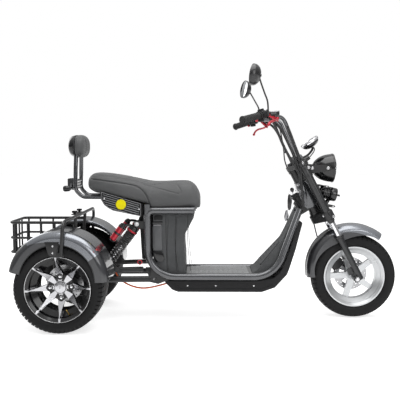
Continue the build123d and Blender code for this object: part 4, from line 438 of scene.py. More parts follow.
# ------------------------------------------------------------------ modelling
class Bench:
    """Modelling with the operators that a modeller uses by hand."""

    @staticmethod
    def only(*pieces: Piece) -> None:
        """Select just these pieces, the last one active."""
        bpy.ops.object.select_all(action="DESELECT")
        for piece in pieces:
            piece.select_set(True)
        bpy.context.view_layer.objects.active = pieces[-1]

    @classmethod
    @contextmanager
    def editing(cls, piece: Piece) -> Iterator[None]:
        """Hold a piece in edit mode with all of it selected."""
        cls.only(piece)
        bpy.ops.object.mode_set(mode="EDIT")
        bpy.ops.mesh.select_all(action="SELECT")
        yield
        bpy.ops.object.mode_set(mode="OBJECT")

    @staticmethod
    def pick(
        piece: Piece, kind: str, test: Callable[[bmesh.types.BMVert | bmesh.types.BMFace], bool]
    ) -> None:
        """Select the verts or the faces of a piece in edit mode that pass a test."""
        bpy.ops.mesh.select_mode(type={"verts": "VERT", "faces": "FACE"}[kind])
        bpy.ops.mesh.select_all(action="DESELECT")
        mesh = bmesh.from_edit_mesh(piece.data)
        for element in [element for element in getattr(mesh, kind) if test(element)]:
            element.select_set(True)
        mesh.select_flush_mode()
        bmesh.update_edit_mesh(piece.data)

    @staticmethod
    def circle(corners: int, radius: float = 1, fill: str = "NOTHING") -> Piece:
        """Add a circle at the origin."""
        bpy.ops.object.select_all(action="DESELECT")
        bpy.ops.mesh.primitive_circle_add(vertices=corners, radius=radius, fill_type=fill, location=(0, 0, 0))
        return bpy.context.active_object

    @staticmethod
    def set_corners(piece: Piece, corners: Sequence[Point]) -> None:
        """Move the corners of a circle in edit mode to new places."""
        mesh = bmesh.from_edit_mesh(piece.data)
        for vertex, corner in zip(mesh.verts, corners):
            vertex.co = corner
        bmesh.update_edit_mesh(piece.data)

    @classmethod
    def turned(
        cls, rings: Sequence[Pair], segments: int = 48, closed: bool = False, angle: float = 35.0
    ) -> Piece:
        """Turn a shape about the local Z axis by extruding and scaling a ring.

        Args:
            rings: radius and height of each ring, in order.
            segments: points in a ring.
            closed: bridge the last ring to the first instead of capping both.
            angle: edges sharper than this stay sharp.

        Returns:
            The turned piece, at the origin.
        """
        rings = [(max(radius, LEAST_RADIUS), height) for radius, height in rings]
        piece = cls.circle(segments, rings[0][0])
        with cls.editing(piece):
            bpy.ops.transform.translate(value=(0, 0, rings[0][1]))
            for (before, low), (after, high) in zip(rings, rings[1:]):
                bpy.ops.mesh.extrude_edges_move(TRANSFORM_OT_translate={"value": (0, 0, high - low)})
                share = after / before
                bpy.ops.transform.resize(value=(share, share, 1), center_override=(0, 0, high))
            bpy.ops.mesh.select_all(action="DESELECT")
            bpy.ops.mesh.select_mode(type="EDGE")
            bpy.ops.mesh.select_non_manifold(extend=False)
            if closed:
                bpy.ops.mesh.bridge_edge_loops()
            else:
                bpy.ops.mesh.fill_holes(sides=0)
            bpy.ops.mesh.select_all(action="SELECT")
            bpy.ops.mesh.normals_make_consistent(inside=False)
        cls.smooth(piece, angle)
        return piece

    @classmethod
    def lofted(cls, section: Sequence[Pair], stations: Sequence[tuple[float, ...]]) -> Piece:
        """Draw a shape along X by extruding one cross-section through its stations.

        Args:
            section: points of the cross-section, from -1 to 1 in Y and 0 to 1 in Z.
            stations: X, half width, lowest Z and highest Z of each station.

        Returns:
            The closed shape.
        """
        piece = cls.circle(len(section))
        x, half, low, high = stations[0]
        with cls.editing(piece):
            cls.set_corners(piece, [(x, y * half, low + z * (high - low)) for y, z in section])
            for (x0, half0, low0, high0), (x1, half1, low1, high1) in zip(stations, stations[1:]):
                bpy.ops.mesh.extrude_edges_move(TRANSFORM_OT_translate={"value": (x1 - x0, 0, low1 - low0)})
                share = (1, half1 / half0, (high1 - low1) / (high0 - low0))
                bpy.ops.transform.resize(value=share, center_override=(x1, 0, low1))
            bpy.ops.mesh.select_all(action="SELECT")
            bpy.ops.mesh.fill_holes(sides=0)
            bpy.ops.mesh.normals_make_consistent(inside=False)
        return piece

    @classmethod
    def slab(
        cls, outline: Sequence[Pair], low: float, high: float, edge: float = 0.0012
    ) -> Piece:
        """Cut a plate to an outline in X and Z, between two values of Y, with rounded edges.

        Args:
            outline: corners as X and Z, in order round the plate.
            low: lowest Y.
            high: highest Y.
            edge: radius of the rounded edges.

        Returns:
            The closed plate, in place.
        """
        piece = cls.circle(len(outline), fill="NGON")
        with cls.editing(piece):
            cls.set_corners(piece, [(x, low, z) for x, z in outline])
            bpy.ops.mesh.extrude_region_move(TRANSFORM_OT_translate={"value": (0, high - low, 0)})
            bpy.ops.mesh.select_all(action="SELECT")
            bpy.ops.mesh.normals_make_consistent(inside=False)
            if edge:
                bpy.ops.mesh.bevel(offset=edge, segments=2, affect="EDGES")
        cls.smooth(piece, 35)
        return piece

    @classmethod
    def both(cls, make: Callable[[int], Piece]) -> Piece:
        """Make a piece for the left and for the right, and join the two."""
        return cls.joined([make(1), make(-1)])

    @classmethod
    def block(cls, size: Point, edge: float = 0.001, taper: float = 1.0) -> Piece:
        """Shape a block that stands on the local XY plane, its top drawn in and its edges rounded."""
        bpy.ops.object.select_all(action="DESELECT")
        bpy.ops.mesh.primitive_cube_add(size=1, location=(0, 0, 0))
        piece = bpy.context.active_object
        with cls.editing(piece):
            bpy.ops.transform.resize(value=size, center_override=(0, 0, 0))
            bpy.ops.transform.translate(value=(0, 0, size[2] / 2))
            cls.pick(piece, "faces", lambda face: face.normal.z > 0.9)
            bpy.ops.transform.resize(value=(taper, taper, 1), center_override=(0, 0, size[2]))
            bpy.ops.mesh.select_all(action="SELECT")
            bpy.ops.mesh.bevel(offset=edge, segments=3, affect="EDGES")
        cls.smooth(piece, 35)
        return piece

    @classmethod
    def swept(cls, kind: str, points: Sequence[Point], radius: float, sides: int, steps: int = 1) -> Piece:
        """Run a round section along a POLY or NURBS line and make it a mesh.

        Args:
            kind: the line's kind.
            points: the line's points.
            radius: the section's radius.
            sides: resolution of the section.
            steps: steps between the points of a smooth line.

        Returns:
            The mesh.
        """
        smooth_line = kind == "NURBS"
        line = bpy.data.curves.new("swept", "CURVE")
        line.dimensions = "3D"
        line.bevel_depth = radius
        line.bevel_resolution = sides
        line.use_fill_caps = True
        spline = line.splines.new(kind)
        spline.points.add(len(points) - 1)
        for control, point in zip(spline.points, points):
            control.co = (*point, 1.0)
        if smooth_line:
            spline.order_u = min(4, len(points))
            spline.use_endpoint_u = True
            spline.resolution_u = steps
        piece = bpy.data.objects.new("swept", line)
        bpy.context.scene.collection.objects.link(piece)
        cls.only(piece)
        bpy.ops.object.convert(target="MESH")
        piece = bpy.context.active_object
        with cls.editing(piece):
            if smooth_line:
                bpy.ops.mesh.remove_doubles(threshold=0.00001)
            bpy.ops.mesh.normals_make_consistent(inside=False)
        cls.smooth(piece, 40)
        return piece

    @classmethod
    def bar(cls, points: Sequence[Point], radius: float, sides: int = 5, steps: int = 8) -> Piece:
        """Run a round bar along a smooth line through points."""
        return cls.swept("NURBS", points, radius, sides, steps)

    @classmethod
    def tube(cls, points: Sequence[Point], bends: Sequence[float], radius: float, sides: int = 5) -> Piece:
        """Bend a round tube along straight runs, with a bend radius at each corner."""
        path = [Vector(points[0])]
        for before, corner, after, bend in zip(points, points[1:], points[2:], bends):
            corner = Vector(corner)
            back, on = (Vector(before) - corner).normalized(), (Vector(after) - corner).normalized()
            half = back.angle(on) / 2
            reach = bend / math.tan(half)
            middle = corner + (back + on).normalized() * (bend / math.sin(half))
            first, last = corner + back * reach - middle, corner + on * reach - middle
            turn = math.pi - 2 * half
            steps = max(3, round(math.degrees(turn) / 9))
            for step in range(steps + 1):
                share = step / steps
                start = math.sin((1 - share) * turn) / math.sin(turn)
                end = math.sin(share * turn) / math.sin(turn)
                path.append(middle + first * start + last * end)
        return cls.swept("POLY", [*path, Vector(points[-1])], radius, sides)

    @classmethod
    def smooth(cls, piece: Piece, angle: float) -> None:
        """Shade a piece smooth, apart from edges sharper than an angle."""
        cls.only(piece)
        bpy.ops.object.shade_smooth_by_angle(angle=math.radians(angle))

    @classmethod
    def place(cls, piece: Piece, matrix: Matrix) -> Piece:
        """Move a piece's mesh to its place and leave the object at the origin."""
        cls.only(piece)
        piece.matrix_world = matrix
        bpy.ops.object.transform_apply(location=True, rotation=True, scale=True)
        return piece

    @classmethod
    def joined(cls, pieces: Sequence[Piece]) -> Piece:
        """Join pieces into one object."""
        cls.only(*pieces)
        if len(pieces) > 1:
            bpy.ops.object.join()
        return bpy.context.active_object

    @classmethod
    def copies(cls, piece: Piece, places: Sequence[Matrix]) -> Piece:
        """Copy a piece to each place, each copy with its own mesh, as one set."""
        made = []
        for matrix in places:
            cls.only(piece)
            bpy.ops.object.duplicate()
            made.append(cls.place(bpy.context.active_object, matrix))
        bpy.data.objects.remove(piece)
        return cls.joined(made)


def standing(at: Sequence[float], way: Sequence[float], turn: float = 0.0) -> Matrix:
    """Place that puts local Z along a direction, turned about it."""
    axis = Vector(way).normalized()
    side = Vector((0, 0, 1)) if abs(axis.z) < 0.9 else Vector((1, 0, 0))
    across = side.cross(axis).normalized()
    frame_of_axis = Matrix((across, axis.cross(across), axis)).transposed().to_4x4()
    return Matrix.Translation(Vector(at)) @ frame_of_axis @ Matrix.Rotation(turn, 4, "Z")


def span(side: int, low: float, high: float) -> Pair:
    """Return two distances from the middle as an ordered pair of Y on one side."""
    return (low, high) if side > 0 else (-high, -low)


def once(side: int, node: str) -> tuple[str, ...]:
    """Name a CAD node with the left piece of a pair only, so that the pair stands for it once."""
    return (node,) if side > 0 else ()


def fit(
    piece: Piece, name: str, body: Body, finish: Surface, slot: str, *stands_for: str
) -> Piece:
    """Name a finished piece, dress it and hand it to its body.

    Args:
        piece: the piece, in place.
        name: its name in the scene.
        body: the body that it moves with.
        finish: its finish.
        slot: the record's material slot; not used.
        stands_for: CAD nodes that it stands for.

    Returns:
        The piece.
    """
    piece.name = name
    finish.dress(piece)
    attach(piece, body.value)
    if stands_for:
        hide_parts(*stands_for)
    LOG.info("%s: %d faces on %s", name, len(piece.data.polygons), body.value)
    return piece


# ------------------------------------------------------------------ small hardware
@dataclass
class Hardware:
    """Screws and nuts modelled once and copied."""

    segments: int = 16

    def cap_screw(self, radius: float) -> Piece:
        """Socket cap screw head with a recess, on a thin washer."""
        height = radius * 0.9
        return Bench.turned(
            [
                (0, 0), (radius * 1.5, 0), (radius * 1.5, height * 0.22), (radius, height * 0.24),
                (radius, height * 0.95), (radius * 0.88, height * 1.15), (radius * 0.56, height * 1.15),
                (radius * 0.5, height * 0.6), (0, height * 0.6),
            ],
            self.segments,
        )

    def dome_screw(self, radius: float) -> Piece:
        """Domed screw head with a driven recess."""
        return Bench.turned(
            [
                (0, 0), (radius, 0), (radius, radius * 0.18), (radius * 0.86, radius * 0.4),
                (radius * 0.55, radius * 0.56), (radius * 0.32, radius * 0.6), (radius * 0.22, radius * 0.34),
                (0, radius * 0.34),
            ],
            self.segments,
        )

    def hex_nut(self, radius: float) -> Piece:
        """Chamfered hexagon with a washer under it and the screw's end standing through."""
        washer = Bench.turned(
            [(0, 0), (radius * 1.35, 0), (radius * 1.35, radius * 0.2), (0, radius * 0.2)], 24
        )
        nut = Bench.turned(
            [
                (0, 0), (radius * 1.08, 0), (radius * 1.08, radius * 0.75), (radius * 0.9, radius * 0.9),
                (0, radius * 0.9),
            ],
            6,
        )
        end = Bench.turned(
            [
                (0, 0), (radius * 0.5, 0), (radius * 0.5, radius * 1.2), (radius * 0.4, radius * 1.3),
                (0, radius * 1.3),
            ],
            16,
        )
        return Bench.joined([washer, nut, end])

    def star_knob(self, radius: float) -> Piece:
        """Six-lobed hand knob with a raised hub."""
        knob = Bench.turned(
            [
                (0, 0), (radius * 0.45, 0), (radius * 0.5, radius * 0.35), (radius * 0.92, radius * 0.45),
                (radius, radius * 0.62), (radius, radius * 0.95), (radius * 0.86, radius * 1.1),
                (radius * 0.4, radius * 1.12), (radius * 0.34, radius * 1.0), (0, radius * 1.0),
            ],
            36,
        )
        with Bench.editing(knob):
            def between_lobes(vertex: bmesh.types.BMVert) -> bool:
                """Tell whether a rim vertex lies between two lobes."""
                turn = math.degrees(math.atan2(vertex.co.y, vertex.co.x)) % 60
                return vertex.co.xy.length > radius * 0.8 and 20 < turn < 40

            Bench.pick(knob, "verts", between_lobes)
            bpy.ops.transform.resize(value=(0.78, 0.78, 1), center_override=(0, 0, 0))
        return knob


# ------------------------------------------------------------------ where finishes change
def spoke_faces(axle: Vector, side: int) -> Zone:
    """Zone of a rear wheel's machined spoke faces, seen from outside.

    Args:
        axle: the wheel's middle.
        side: 1 for the left wheel and -1 for the right.

    Returns:
        A function that adds the zone to a material.
    """

    def build(wires: Wires) -> Socket:
        """Add the zone's nodes and return its mask."""
        split = wires.split(wires.offset(axle))
        angle = wires.math("ARCTAN2", split["Z"], split["X"])
        turn = wires.math("ADD", angle, math.radians(SPOKE_LEAD) * side)
        phase = wires.math("PINGPONG", turn, math.radians(22.5))
        squared = wires.math(
            "ADD", wires.math("POWER", split["X"], 2.0), wires.math("POWER", split["Z"], 2.0)
        )
        radius = wires.math("SQRT", squared)
        aside = wires.math("MULTIPLY", radius, wires.math("SINE", phase))
        inner = wires.map_range(radius, 0.034, 0.070, 0.0080, 0.0165)
        outer = wires.map_range(radius, 0.076, 0.163, 0.0, 0.0122)
        on_spoke = wires.math("LESS_THAN", aside, wires.math("SUBTRACT", inner, outer))
        around = wires.math("COSINE", wires.math("PINGPONG", turn, math.radians(45)))
        chord = wires.math(
            "SUBTRACT", squared,
            wires.math("MULTIPLY", wires.math("MULTIPLY", radius, 2 * LUG_CIRCLE), around),
        )
        clear = wires.math("GREATER_THAN", wires.math("ADD", chord, LUG_CIRCLE**2), LUG_POCKET**2)
        cap = wires.math("LESS_THAN", radius, 0.0318)
        on_spoke = wires.math("MAXIMUM", wires.math("MULTIPLY", on_spoke, clear), cap)
        inside_lip = wires.math("LESS_THAN", radius, 0.1632)
        parts = wires.split(wires.node("NewGeometry").outputs["Normal"])
        outward = wires.math("GREATER_THAN", wires.math("MULTIPLY", parts["Y"], float(side)), 0.45)
        proud = wires.math("GREATER_THAN", wires.math("MULTIPLY", split["Y"], float(side)), 0.0275)
        face = wires.math("MULTIPLY", wires.math("MULTIPLY", on_spoke, inside_lip), outward)
        return wires.math("MULTIPLY", face, proud)

    return build


def glossy_crown(centre: Vector, border: Vector, reach: float, low: float, high: float) -> Zone:
    """Zone of a fender outside its glossy crown: the skirt below a border circle, and both dull ends.

    Args:
        centre: middle of the fender's arc.
        border: middle of the circle that bounds the skirt.
        reach: that circle's radius.
        low: angle in degrees at which the glossy part begins.
        high: angle at which it ends.

    Returns:
        A function that adds the zone to a material.
    """

    def build(wires: Wires) -> Socket:
        """Add the zone's nodes and return its mask."""
        skirt = wires.math("LESS_THAN", wires.distance_to_line(border, LATERAL), reach)
        ahead = wires.distance_along(centre, Vector((1, 0, 0)))
        above = wires.distance_along(centre, Vector((0, 0, 1)))
        turn = wires.math("ARCTAN2", above, ahead)
        ends = wires.math(
            "MAXIMUM", wires.math("LESS_THAN", turn, math.radians(low)),
            wires.math("GREATER_THAN", turn, math.radians(high))
        )
        return wires.math("MAXIMUM", skirt, ends)

    return build


def along(start: Vector, way: Vector, low: float, high: float) -> Zone:
    """Zone between two distances along a direction."""

    def build(wires: Wires) -> Socket:
        """Add the zone's nodes and return its mask."""
        distance = wires.distance_along(start, way)
        return wires.math(
            "MULTIPLY", wires.math("GREATER_THAN", distance, low), wires.math("LESS_THAN", distance, high)
        )

    return build


# ------------------------------------------------------------------ finishes of this tricycle
DARK = (0.010, 0.0105, 0.012)
FRAME_PAINT = Finish(
    "frame_paint", (0.074, 0.076, 0.082), 0.22, metallic=0.6, coat=1.0, texture=Texture.FLAKE, scale=1800,
    depth=0.00002,
    wear=0.25, dust=0.05,
)
BLACK_STEEL = Finish(
    "black_steel", (0.022, 0.022, 0.023), 0.34, coat=0.12, specular=0.35, wear=0.18,
    wear_and_highlight_colour=(0.3, 0.3, 0.3),
)
BLACK_PLASTIC = Finish(
    "black_plastic", (0.018, 0.018, 0.019), 0.5, specular=0.2, dust=0.03, texture=Texture.MOULDED,
    scale=1100, depth=0.00008,
)
GLOSS_PLASTIC = Finish("gloss_plastic", (0.006, 0.006, 0.007), 0.18, coat=0.35, specular=0.4, dust=0.02)
BOX_PLASTIC = Finish(
    "box_plastic", (0.083, 0.0855, 0.088), 0.6, specular=0.16, texture=Texture.MOULDED, scale=620,
    depth=0.0002, uneven=0.2, dust=0.1
)
MAT_RUBBER = Finish(
    "mat_rubber", (0.25, 0.257, 0.262), 0.25, coat=0.6, texture=Texture.MOULDED, scale=700, depth=0.0001
)
GRIP_RUBBER = Finish(
    "grip_rubber", (0.018, 0.018, 0.018), 0.7, texture=Texture.MOULDED, scale=900, depth=0.0001
)
TYRE_RUBBER = Finish(
    "tyre_rubber", (0.0065, 0.0065, 0.007), 0.62, texture=Texture.MOULDED, scale=500, depth=0.00018,
    uneven=0.2, dust=0.08,
    dust_colour=(0.06, 0.058, 0.056), rounding=0.0008, specular=0.25,
)
FRONT_SILVER = Finish(
    "front_silver", (0.56, 0.57, 0.58), 0.3, metallic=0.85, coat=0.2, texture=Texture.BRUSHED, scale=40,
    depth=0.00003, uneven=0.05,
)
DISC_STEEL = Finish(
    "disc_steel", (0.42, 0.42, 0.43), 0.28, metallic=1.0, texture=Texture.BRUSHED, scale=90, depth=0.00004,
)
BRIGHT_STEEL = Finish("bright_steel", (0.62, 0.62, 0.63), 0.2, metallic=1.0, uneven=0.08, dust=0.03)
CHROME = Finish("chrome", (0.75, 0.75, 0.77), 0.08, metallic=1.0, uneven=0.03, dust=0.03)
RED_METAL = Finish("red_metal", (0.50, 0.004, 0.022), 0.28, metallic=0.5, coat=0.5, dust=0.03)
ORANGE_SLEEVE = Finish(
    "orange_sleeve", (0.8, 0.13, 0.02), 0.5, texture=Texture.MOULDED, scale=400, depth=0.0002
)
CABLE_BLACK = Finish(
    "cable_black", (0.012, 0.012, 0.013), 0.45, texture=Texture.WRAPPED, scale=48, depth=0.0012
)
MOTOR_METAL = Finish(
    "motor_metal", (0.02, 0.02, 0.021), 0.5, metallic=0.3, texture=Texture.MOULDED, scale=500, depth=0.0002
)
SEAT_COVER = Finish(
    "seat_cover", (0.095, 0.0965, 0.098), 0.48, specular=0.3, texture=Texture.LEATHER, scale=520,
    depth=0.0002, uneven=0.14, sheen=0.12,
    dust=0.08, rounding=0.0005,
)
PIPING = Finish(
    "piping", (0.022, 0.022, 0.024), 0.5, texture=Texture.LEATHER, scale=900, depth=0.0001, dust=0.05
)
THREAD = Finish("thread", (0.09, 0.09, 0.095), 0.7, texture=Texture.MOULDED, scale=2500, depth=0.0001)
YELLOW = Finish(
    "reflector_yellow", (1.0, 0.80, 0.0), 0.4, coat=0.15, specular=0.15, texture=Texture.LEATHER, scale=330,
    depth=0.0004, dust=0.0,
)
LAMP_RED = Glass("tail_lamp_red", (0.55, 0.01, 0.012), 0.08, ripples=260, glow=0.12)
LENS = Glass("lens", (0.95, 0.96, 0.97), 0.02, ripples=0)
MIRROR_GLASS = Finish("mirror_glass", (0.86, 0.88, 0.9), 0.02, metallic=1.0, uneven=0.01, dust=0.03)
# Light grey that paints the slats' edge highlights into their colour.
SLAT_HIGHLIGHT_GREY = Finish("slat_grey", (0.23, 0.235, 0.245), 0.38, specular=0.5, dust=0.03)
HANDLE_GREY = Finish(
    "handle_grey", (0.105, 0.108, 0.113), 0.42, specular=0.4, texture=Texture.MOULDED, scale=700, depth=0.0001
)
SPRING_BLACK = Finish("spring_black", (0.012, 0.012, 0.013), 0.25, coat=0.6, dust=0.03)
SHELL_BLACK = Finish("shell_black", (0.012, 0.012, 0.013), 0.3, coat=0.2, dust=0.04)
LID_METAL = Finish(
    "lid_metal", (0.30, 0.30, 0.31), 0.3, metallic=1.0, texture=Texture.BRUSHED, scale=120, depth=0.00003
)
DIAL_WHITE = Finish("dial_white", (0.8, 0.8, 0.79), 0.5, dust=0.0, uneven=0.02)


# ------------------------------------------------------------------ wheels
@dataclass
class Tyre:
    """A road tyre with a blocked tread, standing for the plain one.

    The sizes are in metres. Rings run from one bead over the tread to the other.
    """

    name: str
    body: Body
    middle: Vector
    radius: float
    width: float
    rim_width: float
    strips: int
    blocks: int
    bead_radius: float = 0.1524
    flange_radius: float = 0.1655
    groove: float = 0.0042
    drop: float = 0.009
    crown_share: float = 0.86
    steps_a_block: int = 5
    wall: float = 0.014

    def rings(self) -> list[Pair]:
        """Return the section as radius and height, from bead to bead and back inside."""
        bead = self.rim_width / 2 - 0.006
        half = self.width / 2
        edge = half * self.crown_share
        shoulder = self.radius - self.drop
        belly = (self.flange_radius + shoulder) / 2
        side = self.arc((self.flange_radius, bead), (belly, half), (shoulder, edge), 9)
        crown = self.arc((shoulder, edge), (self.radius, 0), (shoulder, -edge), self.strips)
        outer = [(self.bead_radius, bead), *side, *crown[1:]]
        outer += [(radius, -height) for radius, height in reversed(side[:-1])] + [(self.bead_radius, -bead)]
        inner = [
            (self.bead_radius, 0.010 - bead), (belly, 0.012 - half), (shoulder - 0.012, -edge),
            (self.radius - self.wall, 0), (shoulder - 0.012, edge), (belly, half - 0.012),
            (self.bead_radius, bead - 0.010),
        ]
        return outer + inner

    @staticmethod
    def arc(start: Pair, middle: Pair, end: Pair, steps: int) -> list[Pair]:
        """Return points of the circle through three points, from the first to the last."""
        (ax, ay), (bx, by), (cx, cy) = start, middle, end
        d = 2 * (ax * (by - cy) + bx * (cy - ay) + cx * (ay - by))
        ux = ((ax**2 + ay**2) * (by - cy) + (bx**2 + by**2) * (cy - ay) + (cx**2 + cy**2) * (ay - by)) / d
        uy = ((ax**2 + ay**2) * (cx - bx) + (bx**2 + by**2) * (ax - cx) + (cx**2 + cy**2) * (bx - ax)) / d
        radius = math.hypot(ax - ux, ay - uy)
        first, mid, last = (math.atan2(y - uy, x - ux) for x, y in (start, middle, end))
        sweep = (last - first + math.pi) % (2 * math.pi) - math.pi
        if abs((mid - first + math.pi) % (2 * math.pi) - math.pi) > abs(sweep):
            sweep -= math.copysign(2 * math.pi, sweep)
        return [
            (
                ux + radius * math.cos(first + sweep * step / steps),
                uy + radius * math.sin(first + sweep * step / steps),
            )
            for step in range(steps + 1)
        ]

    def build(self) -> Piece:
        """Turn the carcass, sink the grooves and put the tyre on its wheel.

        Returns:
            The tyre.
        """
        segments = self.blocks * self.steps_a_block
        piece = Bench.turned(self.rings(), segments, closed=True, angle=30)
        edge = self.width / 2 * self.crown_share
        pitch = 2 * math.pi / segments
        strip = 2 * edge / self.strips

        def in_groove(face: bmesh.types.BMFace) -> bool:
            """Tell whether a face of the crown lies in a groove of the tread."""
            middle = face.calc_center_median()
            reach = middle.xy.length
            if reach < self.radius - self.drop - self.wall or abs(middle.z) > edge + 0.016:
                return False
            if face.normal.xy.dot(middle.xy) <= 0:
                return False
            step = int((math.atan2(middle.y, middle.x) % (2 * math.pi)) / pitch)
            column = int((middle.z + edge) / strip)
            if abs(middle.z) > edge * 0.66:
                return step % self.steps_a_block == (0 if middle.z > 0 else 2)
            if column in (self.strips // 2 - 3, self.strips // 2 + 2):
                return True
            if abs(middle.z) < edge * 0.2:
                return False
            return (step + column) % (2 * self.steps_a_block) == 0

        with Bench.editing(piece):
            Bench.pick(piece, "faces", in_groove)
            bpy.ops.mesh.extrude_region_shrink_fatten(TRANSFORM_OT_shrink_fatten={"value": -self.groove})
        Bench.smooth(piece, 30)
        Bench.place(piece, standing(self.middle, LATERAL))
        return fit(piece, f"{self.name}_treaded", self.body, TYRE_RUBBER, "tyre_rubber", self.name)


@dataclass
class Wheels:
    """Tyres, rims, discs and their small parts."""

    lug_face: float = 0.027
    hub_face: float = 0.033
    lip_face: float = 0.0968

    def build(self) -> None:
        """Build the wheels' pieces and dress their nodes."""
        nodes = frame["nodes"]
        FRONT_SILVER.dress(nodes["front_rim"])
        DISC_STEEL.dress(nodes["front_disc"])
        Tyre(
            "front_tyre", Body.FRONT_WHEEL, FRONT_AXLE, radius=0.230, width=0.110, rim_width=0.092,
            strips=18, blocks=52, drop=0.010,
        ).build()
        self.valve(FRONT_AXLE + Vector((-0.062, -0.012, 0.115)), Body.FRONT_WHEEL, "front", -1)
        for (side, name), body in zip(SIDES, (Body.REAR_LEFT, Body.REAR_RIGHT)):
            middle = REAR_AXLE + Vector((0, side * REAR_WHEEL_Y, 0))
            Tyre(
                f"rear_tyre_{name}", body, middle, radius=0.228, width=0.208, rim_width=0.194, strips=26,
                blocks=60, drop=0.0065, groove=0.0065,
            ).build()
            rim = Finish(
                f"rear_rim_{name}", (0.004, 0.004, 0.005), 0.22, coat=0.25, specular=0.35, dust=0.0,
                zone=spoke_faces(middle, side),
                zone_colour=(0.52, 0.52, 0.54), zone_roughness=0.24, zone_metallic=1.0, wear=0.15,
            )
            rim.dress(nodes[f"rear_rim_{name}"])
            DISC_STEEL.dress(nodes[f"rear_disc_{name}"])
            self.lugs(middle, side, name, body)
            self.lip(middle, side, name, body)
            self.valve(middle + Vector((0.045, side * 0.060, -0.128)), body, f"rear_{name}", side)

    def lugs(self, middle: Vector, side: int, name: str, body: Body) -> None:
        """Set domed wheel nuts in the four pockets, and a turned ring round the cap."""
        places = []
        for step in range(4):
            turn = math.radians(90 * step - SPOKE_LEAD * side)
            across, up = LUG_CIRCLE * math.cos(turn), LUG_CIRCLE * math.sin(turn)
            at = middle + Vector((across, side * (self.lug_face - 0.001), up))
            places.append(standing(at, (0, side, 0), math.radians(90 * step - SPOKE_LEAD) * side))
        nut = Bench.turned(
            [
                (0, 0), (0.0098, 0), (0.0098, 0.0012), (0.0075, 0.0014), (0.0075, 0.008), (0.0065, 0.0098),
                (0.0035, 0.0112), (0, 0.0115),
            ],
            12,
        )
        fit(Bench.copies(nut, places), f"wheel_nuts_{name}", body, CHROME, "disc_steel")
        ring = Bench.turned(
            [(0.0312, 0.0), (0.0338, 0.0), (0.0338, 0.0022), (0.0330, 0.0032), (0.0312, 0.0032)], 64,
            closed=True
        )
        Bench.place(ring, standing(middle + Vector((0, side * self.hub_face, 0)), (0, side, 0)))
        fit(ring, f"cap_ring_{name}", body, BRIGHT_STEEL, "rear_rim_alloy")

    def lip(self, middle: Vector, side: int, name: str, body: Body) -> None:
        """Lay the thin machined line round the rim's outer lip."""
        line = Bench.turned(
            [(0.1626, 0.0), (0.1652, 0.0), (0.1650, 0.0008), (0.1640, 0.0012), (0.1628, 0.0008)], 128,
            closed=True
        )
        Bench.place(line, standing(middle + Vector((0, side * self.lip_face, 0)), (0, side, 0)))
        fit(line, f"lip_line_{name}", body, BRIGHT_STEEL, "rear_rim_alloy")

    def valve(self, at: Vector, body: Body, name: str, side: int) -> None:
        """Stand a tyre valve with a knurled cap on the rim's barrel."""
        axle = FRONT_AXLE if body is Body.FRONT_WHEEL else REAR_AXLE
        way = Vector((axle.x - at.x, 0, axle.z - at.z)).normalized() + Vector((0, 0.5 * side, 0))
        stem = Bench.turned(
            [
                (0, -0.006), (0.0045, -0.006), (0.0045, 0.002), (0.0028, 0.005), (0.0028, 0.016),
                (0.0036, 0.017),
                (0.0036, 0.026), (0.0028, 0.028), (0, 0.028),
            ],
            20,
        )
        Bench.place(stem, standing(at, way))
        brass = Finish("valve_brass", (0.5, 0.33, 0.1), 0.3, metallic=1.0)
        fit(stem, f"valve_{name}", body, brass if name.startswith("rear") else BLACK_STEEL, "disc_steel")


# ------------------------------------------------------------------ steering frame
def steered(forward: float, left: float, up: float) -> Vector:
    """Point given across the steering axis, to the left and up along it."""
    return STEER_FOOT + STEER_ACROSS * forward + LATERAL * left + STEER_AXIS * up


